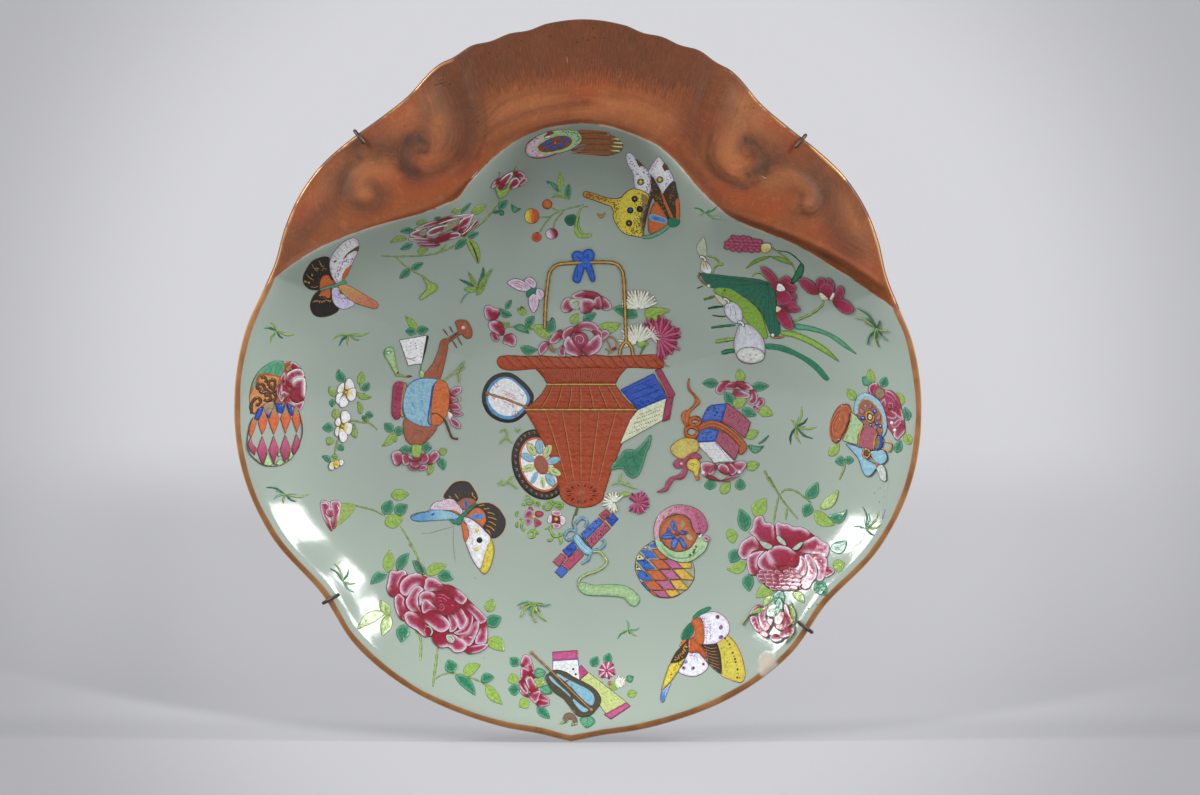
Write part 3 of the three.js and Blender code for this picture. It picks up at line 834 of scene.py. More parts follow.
# %% [markdown]
# A material is a formula. With one short function for each kind of step, such as a product, a smooth ramp
# or a noise, the formula can be read in a line, where the same nodes set by hand would take ten.

# %% Helpers for node trees
def join(tree, sockets, values):
    """Link each value that is a socket, and write in the others."""
    for key, value in values.items():
        if isinstance(value, bpy.types.NodeSocket):
            tree.links.new(value, sockets[key])
        else:
            sockets[key].default_value = value


def node(tree, kind, inputs=None, out=0, **settings):
    """Add a node. Inputs are values or sockets, by name or place. Returns one of its outputs."""
    made = tree.nodes.new("ShaderNode" + kind)
    for name, value in settings.items():
        setattr(made, name, value)
    join(tree, made.inputs, inputs or {})
    return made.outputs[out]


def calc(tree, operation, a, b=0.0):
    return node(tree, "Math", {0: a, 1: b}, operation=operation)


def times(tree, a, b):
    return calc(tree, "MULTIPLY", a, b)


def plus(tree, a, b):
    return calc(tree, "ADD", a, b)


def minus(tree, a, b):
    return calc(tree, "SUBTRACT", a, b)


def blend(tree, share, a, b):
    return node(tree, "Mix", {0: share, 6: a, 7: b}, out=2, data_type="RGBA")


def mix_values(tree, share, a, b):
    return node(tree, "Mix", {0: share, 2: a, 3: b})


def ramp(tree, value, low, high, to_low=0.0, to_high=1.0):
    """A smooth step between two values, up or down."""
    return node(tree, "MapRange", {0: value, 1: low, 2: high, 3: to_low, 4: to_high},
                interpolation_type="SMOOTHSTEP")


def noise(tree, vector, scale, detail=3.0, roughness=0.55):
    return node(tree, "TexNoise",
                {"Vector": vector, "Scale": scale, "Detail": detail, "Roughness": roughness})


def cells(tree, vector, scale):
    """How far each point is from the nearest of many scattered spots."""
    return node(tree, "TexVoronoi", {"Vector": vector, "Scale": scale, "Randomness": 1.0})


def kept(tree, name):
    """A value kept with the mesh."""
    return node(tree, "Attribute", out=2, attribute_name=name)


def object_place(tree):
    return node(tree, "TexCoord", out=3)


def new_material(name):
    material = bpy.data.materials.new(name)
    material.use_nodes = True
    return material, material.node_tree, material.node_tree.nodes["Principled BSDF"]


# %% [markdown]
# A node group is such a formula with a name of its own. It is made once, shows up as a single node, and
# takes other numbers wherever it is used.

# %% Helpers for shared effects
def new_group(name, inputs, output):
    """A group of shader nodes. Its inputs are names with their usual numbers, and it has one output."""
    tree = bpy.data.node_groups.new(name, "ShaderNodeTree")
    for label, usual in inputs.items():
        socket = tree.interface.new_socket(name=label, in_out="INPUT", socket_type="NodeSocketFloat")
        socket.default_value = usual
    tree.interface.new_socket(name=output, in_out="OUTPUT", socket_type="NodeSocketFloat")
    return tree, tree.nodes.new("NodeGroupInput").outputs, tree.nodes.new("NodeGroupOutput").inputs[output]


def use_group(tree, group, inputs):
    made = tree.nodes.new("ShaderNodeGroup")
    made.node_tree = group
    join(tree, made.inputs, inputs)
    return made.outputs[0]


# %% [markdown]
# Melted glass is never flat. A slow swell, about as wide as a finger, bends the reflections, and a finer
# ripple breaks their edges. The same group serves the glaze and the enamels, with other depths.

# %% Shared effect: ripple of melted glass
ripple, given, result = new_group(
    "melted_ripple", {"Swell": 0.02, "Grain": 0.01, "Swell size": 60.0, "Grain size": 900.0}, "Height")
swell = times(ripple, noise(ripple, object_place(ripple), given["Swell size"], 1.0), given["Swell"])
grain = times(ripple, noise(ripple, object_place(ripple), given["Grain size"], 2.0), given["Grain"])
ripple.links.new(plus(ripple, swell, grain), result)

# %% [markdown]
# A brush leaves streaks that are long one way and narrow the other. The group stretches a noise over two
# coordinates, so whoever uses it says which way the brush went.

# %% Shared effect: brush streaks across one coordinate and along another
streaks, given, result = new_group("brush_streaks", {"Across": 0.0, "Along": 0.0, "Fineness": 1.0}, "Streak")
lines_at = node(streaks, "CombineXYZ", {0: given["Across"], 1: given["Along"]})
streaks.links.new(ramp(streaks, noise(streaks, lines_at, given["Fineness"], 4.0, 0.7), 0.28, 0.72), result)


def brush(tree, across, along, fineness):
    return use_group(tree, streaks, {"Across": across, "Along": along, "Fineness": fineness})


print("node groups:", [group.name for group in (ripple, streaks)])

# %% [markdown]
# Four finishes meet on the one porcelain body. The celadon glaze covers all but the foot ring. Iron red
# lies on the lip and stops at the crest in an uneven line. Gilding, mostly worn to brown, runs round the
# rim. Where a flake has come off the rim at the lower right, the pale body shows. One material blends them
# by how far each point is from the rim and from the crest, values that the mesh keeps.

# %% Celadon glaze, with its specks and painted shade on the wall under the lip
CELADON_DEEP, CELADON_LIGHT = solid(146, 158, 147), solid(157, 169, 158)
SPECK_TONE, UNDER_LIP_SHADE_TONE = solid(110, 112, 92), solid(112, 120, 110)

glaze, tree, shader = new_material("glazed_porcelain")
here = object_place(tree)
angle, aside, radius, from_crest_at, from_rim_at, from_coral_at = (
    kept(tree, name) for name in ("angle", "aside", "radius", "from_crest", "from_rim", "from_coral"))
shade, pale, flush, grime_and_shade, soot, scroll_at = (
    kept(tree, name) for name in ("shade", "pale", "flush", "grime_and_shade", "soot", "scroll"))

celadon = blend(tree, noise(tree, here, 14.0), CELADON_DEEP, CELADON_LIGHT)
speck = times(tree, ramp(tree, cells(tree, here, 130.0), 0.06, 0.03),
              ramp(tree, noise(tree, here, 40.0, 1.0), 0.56, 0.62))
celadon = blend(tree, times(tree, speck, 0.5), celadon, SPECK_TONE)
# Painted shade: the celadon is greyed on the steep wall under the middle of the lip, where the lip keeps the
# light off.
under_lip_shade = times(tree, ramp(tree, aside, 34, 12), ramp(tree, from_crest_at, -40, -12))
celadon = blend(tree, times(tree, under_lip_shade, 0.55), celadon, UNDER_LIP_SHADE_TONE)

# %% [markdown]
# The brush went straight out over the fan in the middle of the lip, along the crest below it and round the
# scrolls at the sides. Each of these gives streaks of its own, and `brushed` picks the one that holds here.

# %% How the brush went on the lip
FAN_FADE, FAN_SHADE_FADE, DEGREE_LENGTH = 3, 14, 2.1

angle_mm = times(tree, angle, DEGREE_LENGTH)
fan = ramp(tree, aside, FAN_ANGLE + FAN_FADE, FAN_ANGLE - FAN_FADE)
radial = brush(tree, angle_mm, times(tree, radius, 0.10), 2.2)
arcs = brush(tree, from_crest_at, times(tree, angle_mm, 0.05), 1.1)
round_scrolls = brush(tree, scroll_at, times(tree, angle_mm, 0.10), 1.1)
ragged_radius = plus(tree, radius, times(tree, plus(tree, noise(tree, here, 90.0, 4.0), radial), 11.0))
outer = times(tree, fan, ramp(tree, ragged_radius, FAN_SHADE_RADIUS, FAN_SHADE_RADIUS + FAN_SHADE_FADE))
brushed = mix_values(tree, fan, round_scrolls, mix_values(tree, outer, arcs, radial))
uneven = noise(tree, here, 60.0, 4.0)
mottle = noise(tree, here, 260.0, 5.0, 0.7)
worked = times(tree, brushed, ramp(tree, uneven, 0.35, 0.65, 0.4, 1.0))

# %% [markdown]
# The iron red is laid in coats over a mottled ground, as the mesh's soft bands say: paler, redder and browner
# wash, with painted shade in the browner one, dark streaks, fine grain, rubbed places, and the dirt and
# painted shade in the hollows. Each coat is one blend.

# %% Iron red of the lip
RED_DEEP, RED_LIGHT, RED_PALE, RED_FLUSH = (
    solid(116, 56, 14), solid(143, 77, 30), solid(162, 97, 52), solid(148, 60, 14))
BROWN_WASH_AND_SHADE, STREAK_TONE, GRAIN_TONE = solid(62, 27, 2), solid(70, 34, 14), solid(60, 36, 24)
RUBBED_TONE, DIRT_AND_SHADE_TONE, CREST_TONE = solid(178, 112, 72), solid(44, 30, 22), solid(150, 74, 30)


def coat(under, share, over):
    return blend(tree, share, under, over)


browned = calc(tree, "MAXIMUM", shade, times(tree, outer, 0.85))
fine_grain = ramp(tree, noise(tree, here, 1100.0, 3.0, 0.7), 0.40, 0.62)
rubbed = times(tree, ramp(tree, noise(tree, here, 240.0, 4.0, 0.7), 0.52, 0.66), minus(tree, 1.0, browned))
# The dirt in the hollows comes with painted shade of the moulding; the soot smudges are dirt.
dirt_and_shade = times(tree, calc(tree, "MAXIMUM", soot, times(tree, grime_and_shade, 0.8)),
             ramp(tree, noise(tree, here, 180.0, 5.0, 0.7), 0.32, 0.60))
crest_glow = ramp(tree, plus(tree, from_coral_at, times(tree, uneven, 1.6)), 2.2, 1.1)

coral = blend(tree, mottle, RED_DEEP, RED_LIGHT)
coral = coat(coral, times(tree, pale, 0.9), RED_PALE)
coral = coat(coral, times(tree, flush, plus(tree, 0.5, times(tree, worked, 0.4))), RED_FLUSH)
# The browner coat is partly brown wash and partly painted shade of the moulding.
coral = coat(coral, times(tree, browned, plus(tree, 0.6, times(tree, worked, 0.4))), BROWN_WASH_AND_SHADE)
coral = coat(coral, times(tree, worked, 0.32), STREAK_TONE)
coral = coat(coral, times(tree, fine_grain, plus(tree, 0.12, times(tree, browned, 0.16))), GRAIN_TONE)
coral = coat(coral, times(tree, rubbed, 0.16), RUBBED_TONE)
coral = coat(coral, times(tree, dirt_and_shade, 0.85), DIRT_AND_SHADE_TONE)
coral = coat(coral, times(tree, crest_glow, 0.5), CREST_TONE)

# %% [markdown]
# The coral's edge wavers by a fraction of a millimetre. A thin line of bare, pale porcelain shows along it
# here and there, where the brush stopped short.

# %% Where the coral ends
BARE_TONE = solid(204, 178, 150)

ragged = times(tree, minus(tree, noise(tree, here, 320.0, 5.0, 0.7), 0.5), 1.1)
coral_mask = times(tree, ramp(tree, plus(tree, from_coral_at, ragged), -0.1, 0.3),
                   ramp(tree, from_rim_at, -2.2, -1.8))
body = blend(tree, coral_mask, celadon, coral)
bare_line = times(tree, ramp(tree, calc(tree, "ABSOLUTE", plus(tree, from_coral_at, 0.15)), 0.55, 0.2),
                  ramp(tree, noise(tree, here, 90.0, 4.0), 0.45, 0.62))
body = coat(body, times(tree, times(tree, bare_line, ramp(tree, from_rim_at, 3.5, 4.5)), 0.45), BARE_TONE)

# %% [markdown]
# The gilder ran a brush round the rim with the dish on a turning stand, so the band is even in width and
# frays inward. On the bowl it is worn to a brown, lightest on the edge itself. On the lip, only scraps are
# left, and a dark line of painted shade runs along the lip's outermost edge, where the rim turns away from
# the light.

# %% Gilding
GILT_WORN, GILT_BRIGHT, GILT_EDGE = solid(132, 84, 46), solid(158, 110, 64), solid(186, 146, 96)
RIM_EDGE_SHADE_TONE, LIP_GILT_TONE = solid(84, 58, 44), solid(196, 146, 92)

off_coral = minus(tree, 1.0, coral_mask)
rim_wave = times(tree, noise(tree, here, 45.0, 2.0), 1.2)
bowl_rim = times(tree, times(tree, ramp(tree, plus(tree, from_rim_at, rim_wave), 3.1, 2.8),
                             ramp(tree, from_rim_at, -1.6, -1.2)), off_coral)
rim_tone = ramp(tree, noise(tree, here, 70.0, 4.0, 0.6), 0.35, 0.65)
gilt = blend(tree, rim_tone, GILT_WORN, GILT_BRIGHT)
gilt = coat(gilt, times(tree, ramp(tree, from_rim_at, 1.15, 0.9), 0.6), GILT_EDGE)
body = coat(body, bowl_rim, gilt)

# Painted shade: a dark line over the outermost edge of the coral lip, where the rim turns away.
rim_edge_shade = times(tree, coral_mask, ramp(tree, from_rim_at, 1.25, 0.95))
body = coat(body, times(tree, rim_edge_shade, 0.85), RIM_EDGE_SHADE_TONE)
lip_line = times(tree, ramp(tree, plus(tree, from_rim_at, times(tree, rim_wave, 0.5)), 1.85, 1.6),
                 ramp(tree, from_rim_at, 0.95, 1.2))
scraps = ramp(tree, minus(tree, noise(tree, here, 55.0, 5.0, 0.7), times(tree, fan, 0.13)), 0.40, 0.52)
lip_gilt = times(tree, times(tree, lip_line, coral_mask), scraps)
body = coat(body, times(tree, lip_gilt, minus(tree, 0.9, times(tree, fan, 0.35))), LIP_GILT_TONE)

# %% [markdown]
# A flake has come off the rim at the lower right. It is a spot with a ragged edge, found in the picture, in
# which the unglazed body shows. The foot ring was wiped clean of glaze before the firing and is bare too.

# %% The chip and the bare foot
CHIP_PICTURE, CHIP_RADIUS, CHIP_FADE = (770, 666), 0.0080, 0.0062
BODY_GREY, BODY_LIGHT, FOOT_TONE = solid(166, 152, 134), solid(196, 187, 172), solid(190, 180, 162)

chip_at = from_picture([CHIP_PICTURE])[0]
chip_place = (chip_at[0] / 1000, 0, (chip_at[1] - HANGING_UP) / 1000)
flat_here = node(tree, "VectorMath", {0: here, 1: (1, 0, 1)}, operation="MULTIPLY")
chip_far = node(tree, "VectorMath", {0: flat_here, 1: chip_place}, out=1, operation="DISTANCE")
ragged_far = plus(tree, chip_far, times(tree, noise(tree, here, 220.0, 4.0, 0.65), 0.006))
chip = times(tree, ramp(tree, ragged_far, CHIP_RADIUS, CHIP_FADE), ramp(tree, from_rim_at, -1.5, -0.5))
body = coat(body, chip, blend(tree, noise(tree, here, 500.0, 4.0), BODY_GREY, BODY_LIGHT))

from_foot = calc(tree, "ABSOLUTE", minus(tree, radius, FOOT_RADIUS - FOOT_WIDTH / 2))
foot = times(tree, ramp(tree, from_foot, 2.2, 1.9), calc(tree, "LESS_THAN", from_rim_at, 0.0))
body = coat(body, foot, FOOT_TONE)
tree.links.new(body, shader.inputs["Base Color"])
print("chip on the dish, mm:", chip_at.round(1).tolist())

# %% [markdown]
# The glaze is glossy, the iron red much duller, and the gilding lies between them with a little metal in
# it. The surface ripples, has fine pits in the glaze and keeps the marks of the brush on the lip.

# %% Gloss and surface of the porcelain
GLASS_IOR, GLASS_SHINE = 1.5, 0.32
GLAZE_ROUGH, RED_ROUGH, GILT_ROUGH, BARE_ROUGH = 0.11, 0.42, 0.32, 0.75

rough = mix_values(tree, coral_mask, GLAZE_ROUGH, plus(tree, RED_ROUGH, times(tree, mottle, 0.16)))
rough = mix_values(tree, calc(tree, "MAXIMUM", bowl_rim, lip_gilt), rough, GILT_ROUGH)
rough = mix_values(tree, calc(tree, "MAXIMUM", chip, foot), rough, BARE_ROUGH)
metal = plus(tree, times(tree, lip_gilt, 0.35), times(tree, bowl_rim, 0.15))
height = use_group(tree, ripple, {"Swell": 0.25, "Grain": 0.05, "Swell size": 55.0, "Grain size": 420.0})
pits = ramp(tree, cells(tree, here, 420.0), 0.16, 0.05)
height = minus(tree, height, times(tree, times(tree, pits, off_coral), 0.03))
height = plus(tree, height, times(tree, times(tree, coral_mask, brushed), 0.02))
height = minus(tree, height, times(tree, chip, 0.4))
join(tree, shader.inputs, {
    "Roughness": rough, "Metallic": metal, "IOR": GLASS_IOR, "Specular IOR Level": GLASS_SHINE,
    "Normal": node(tree, "Bump", {"Strength": 0.35, "Distance": 0.001, "Height": height})})
porcelain.data.materials.append(glaze)

# %% [markdown]
# The enamels take their colour from the painting, point by point. Fired glass is a little cloudy, with fine
# grains of colour that never melted, so the colour is mottled and the surface ripples more than the glaze.

# %% Enamel
ENAMEL_ROUGH = 0.13

enamel, tree, shader = new_material("enamel")
here = object_place(tree)
paint = node(tree, "Attribute", attribute_name="paint")
cloudy = ramp(tree, noise(tree, here, 900.0, 3.0, 0.7), 0.3, 0.7, 0.80, 1.16)
height = use_group(tree, ripple, {"Swell": 0.3, "Grain": 0.10, "Swell size": 300.0, "Grain size": 1100.0})
join(tree, shader.inputs, {
    "Base Color": node(tree, "HueSaturation", {"Color": paint, "Value": cloudy}),
    "Roughness": ENAMEL_ROUGH, "IOR": GLASS_IOR, "Specular IOR Level": GLASS_SHINE,
    "Normal": node(tree, "Bump", {"Strength": 0.5, "Distance": 0.001, "Height": height})})

# %% [markdown]
# The hanger is drawn steel wire, oxidised almost black, with a dull shine where the oxide is thin.

# %% Oxidised steel
OXIDE_DARK, OXIDE_THIN, STEEL_METAL = (0.040, 0.032, 0.029, 1), (0.15, 0.115, 0.10, 1), 0.85

steel, tree, shader = new_material("oxidised_steel")
patch = noise(tree, object_place(tree), 350.0, 4.0)
join(tree, shader.inputs, {
    "Base Color": blend(tree, patch, OXIDE_DARK, OXIDE_THIN),
    "Roughness": ramp(tree, patch, 0.3, 0.7, 0.55, 0.32), "Metallic": STEEL_METAL})
for piece in list(hanger_wires.values()) + spring_pieces:
    piece.data.materials.append(steel)

# %% [markdown]
# The sweep's paper is grey, with painted shade over it: lighter round the dish and darker towards the
# corners, as the photograph shows it, with a band of shade low behind the dish. The pattern follows the
# picture, so each point is first turned into its place in the picture. The camera sees about half of that
# colour as it is written and half as the lamps light it, so that the dish's shadow stays on the floor but is
# a soft one. From behind, the camera looks through the backdrop.

# %% Where a point of the paper shows in the picture
paper, tree, shader = new_material("sweep_paper")
from_camera = node(tree, "VectorMath", {0: object_place(tree), 1: tuple(CAMERA_AT)}, operation="SUBTRACT")
x, y, z = (node(tree, "SeparateXYZ", {0: from_camera}, out=k) for k in range(3))
ahead = calc(tree, "MAXIMUM", y, 0.2)
seen_x, seen_z = (calc(tree, "DIVIDE", calc(tree, "DIVIDE", part, ahead), SENSOR / LENS / PICTURE[0])
                  for part in (x, z))
level_share, lean_share = math.cos(ROLL), math.sin(ROLL)
picture_x = minus(tree, times(tree, seen_x, level_share), times(tree, seen_z, lean_share))
picture_up = plus(tree, times(tree, seen_x, lean_share), times(tree, seen_z, level_share))

# %% [markdown]
# The paper's level falls off from the middle of the picture to its corners, as painted shade. The painted
# band of shade low behind the dish is deeper at the left than at the right, fades towards the picture's sides
# and bows a little. One level feeds both the lit and the written colour.

# %% Paper of the studio sweep
PAPER, PAPER_SEEN, SEEN_SHARE = (0.48, 0.48, 0.50), (0.70, 0.70, 0.73), 0.55
PAPER_ROUGH, PAPER_SHINE = 0.9, 0.1

middle_far = node(tree, "VectorMath", {0: node(tree, "CombineXYZ", {0: picture_x, 1: picture_up}),
                                       1: (0, 17, 0)}, out=1, operation="DISTANCE")
# Painted shade: darker towards the picture's corners, and a band of shade low behind the dish.
fall_off = ramp(tree, middle_far, 400, 720, 0.95, 0.64)
bow = times(tree, times(tree, picture_x, picture_x), 65 / 560 ** 2)
band = times(tree, ramp(tree, picture_up, -35, -130), ramp(tree, minus(tree, picture_up, bow), -354, -340))
band_depth = times(tree, ramp(tree, picture_x, -330, 330, 0.20, 0.12),
                   ramp(tree, calc(tree, "ABSOLUTE", picture_x), 585, 430, 0.3, 1.0))
level = times(tree, fall_off, minus(tree, 1.0, times(tree, band, band_depth)))
lit, written = (node(tree, "VectorMath", {0: colour, "Scale": level}, operation="SCALE")
                for colour in (PAPER, PAPER_SEEN))
join(tree, shader.inputs, {"Base Color": lit, "Roughness": PAPER_ROUGH, "Specular IOR Level": PAPER_SHINE})

to_camera = node(tree, "LightPath")
from_behind = times(tree, node(tree, "NewGeometry", out=6), to_camera)
from_front = node(tree, "MixShader", {0: times(tree, to_camera, SEEN_SHARE), 1: shader.outputs[0],
                                      2: node(tree, "Emission", {0: written})})
paper_look = node(tree, "MixShader", {0: from_behind, 1: from_front, 2: node(tree, "BsdfTransparent")})
tree.links.new(paper_look, tree.nodes["Material Output"].inputs[0])
sweep.data.materials.append(paper)
print("finishes:", [material.name for material in (glaze, enamel, steel, paper)])

# %% [markdown]
# ## Enamels
#
# The painter drew fine dark outlines on the fired glaze and filled them with ground glass in gum. The
# second firing melts each fill into a low cushion with rounded edges, which is why these colours glint. So
# a fill here is a thin closed solid: triangles inside an outline, raised a little from edge to middle, with
# a skirt down into the glaze. Outlines, veins and stems are fine flat ribbons. Everything is drawn in the
# picture's own coordinates, on the grid of an enlarged view, and laid on the surface at the end. A texture
# would be simpler, but it would not catch the light as the raised enamels do.

# %% Colours as the photograph shows them
COLOURS = {
    "ink": tone(66, 54, 44), "black": tone(38, 34, 32), "umber": tone(92, 62, 40), "tan": tone(160, 118, 74),
    "gold": tone(184, 132, 62), "coral": tone(158, 60, 18), "dark_coral": tone(104, 38, 18),
    "brick": tone(150, 84, 56), "orange": tone(196, 100, 44), "peach": tone(206, 164, 130),
    "deep": tone(134, 26, 48), "rose": tone(146, 44, 76), "pink": tone(178, 88, 118),
    "blush": tone(204, 184, 196), "white": tone(222, 222, 222), "cream": tone(206, 210, 178),
    "lilac": tone(196, 190, 216), "violet": tone(130, 96, 166), "emerald": tone(46, 118, 86),
    "dark_leaf": tone(22, 82, 60), "jade": tone(96, 154, 122), "mint": tone(160, 192, 140),
    "lime": tone(138, 170, 76), "moss": tone(92, 122, 56), "stem": tone(142, 162, 88),
    "lemon": tone(206, 190, 66), "pale_lime": tone(178, 196, 130), "cobalt": tone(26, 72, 168),
    "azure": tone(84, 144, 186), "sky": tone(132, 176, 192), "navy": tone(34, 44, 84),
    "glaze": tone(160, 174, 161)}
print("enamel colours:", len(COLOURS))


def colour_of(name):
    return COLOURS[name] if isinstance(name, str) else np.asarray(name, float)


def ease(value):
    value = np.clip(value, 0, 1)
    return value * value * (3 - 2 * value)


def blend_colours(a, b, share):
    share = np.asarray(share)[:, None]
    return colour_of(a) * (1 - share) + colour_of(b) * share


def rimmed(edge, inside, reach=2.2):
    """A fill that goes from one colour at its edge to another inside."""
    return lambda points, depth: blend_colours(edge, inside, ease(depth / reach))


def between(a, b, start, end):
    """A fill that goes from a colour at one grid point to another colour at a second one."""
    ends = painting.path(f"{start} {end}")

    def shade(points, depth):
        run = ends[1] - ends[0]
        return blend_colours(a, b, ease((points - ends[0]) @ run / (run @ run)))

    return shade


# %% [markdown]
# A motif is written as short lists of points, read off an enlarged view of the photograph. They are turned
# into picture points, smoothed and set at even distances, so that a fill's edge is round however few points
# it has. Further points are strewn inside the edge, and a test sorts out those that fell outside.

# %% Spacing points, and telling which lie inside
def resampled(path, spacing, closed=False):
    """Points at even distances along a path."""
    if closed:
        path = np.vstack([path, path[:1]])
    length = np.concatenate([[0], np.cumsum(np.hypot(*np.diff(path, axis=0).T))])
    count = max(int(round(length[-1] / spacing)), 4)
    at = np.linspace(0, length[-1], count + 1)[:count if closed else count + 1]
    return np.stack([np.interp(at, length, path[:, k]) for k in (0, 1)], -1)


def inside_outline(outline, points):
    a, b = outline, np.roll(outline, -1, 0)
    x, y = points[:, :1], points[:, 1:]
    crosses = (a[:, 1] > y) != (b[:, 1] > y)
    rise = np.where(b[:, 1] == a[:, 1], 1e-9, b[:, 1] - a[:, 1])
    return ((x < (b[:, 0] - a[:, 0]) * (y - a[:, 1]) / rise + a[:, 0]) & crosses).sum(1) % 2 == 1


print("points on a run of length 10, one apart:", len(resampled(np.array([(0, 0), (10, 0)]), 1)))


# %% [markdown]
# The painting gathers its cushions, ribbons and drops in one mesh for each part of the dish. Heights are in
# millimetres over the glaze and lengths in picture points. Each fill starts a step higher than the one
# before it, so that what was painted later lies on top, and every skirt ends below the glaze, so that
# nothing floats.

# %% The painting: fills, lines and drops gathered into meshes
FIRST_LAYER, LAYER_STEP, CUSHION_RISE, RIBBON_RISE = 0.045, 0.016, 0.055, 0.067
CUSHION_SKIRT, DROP_SKIRT, CUSHION_SLOPE = -0.12, -0.1, 1.6
EDGE_SPACING, RIBBON_SPACING, ROW_SPACING, SPOT_SPACING, ROW_SHIFT = 1.1, 1.2, 2.4, 2.8, 1.4
NEAR_RING, FAR_RING = 0.9, 2.1
NEAR_CLEAR, FAR_CLEAR, GRID_CLEAR = 0.75, 1.8, 2.6
DROP_SIDES = 8


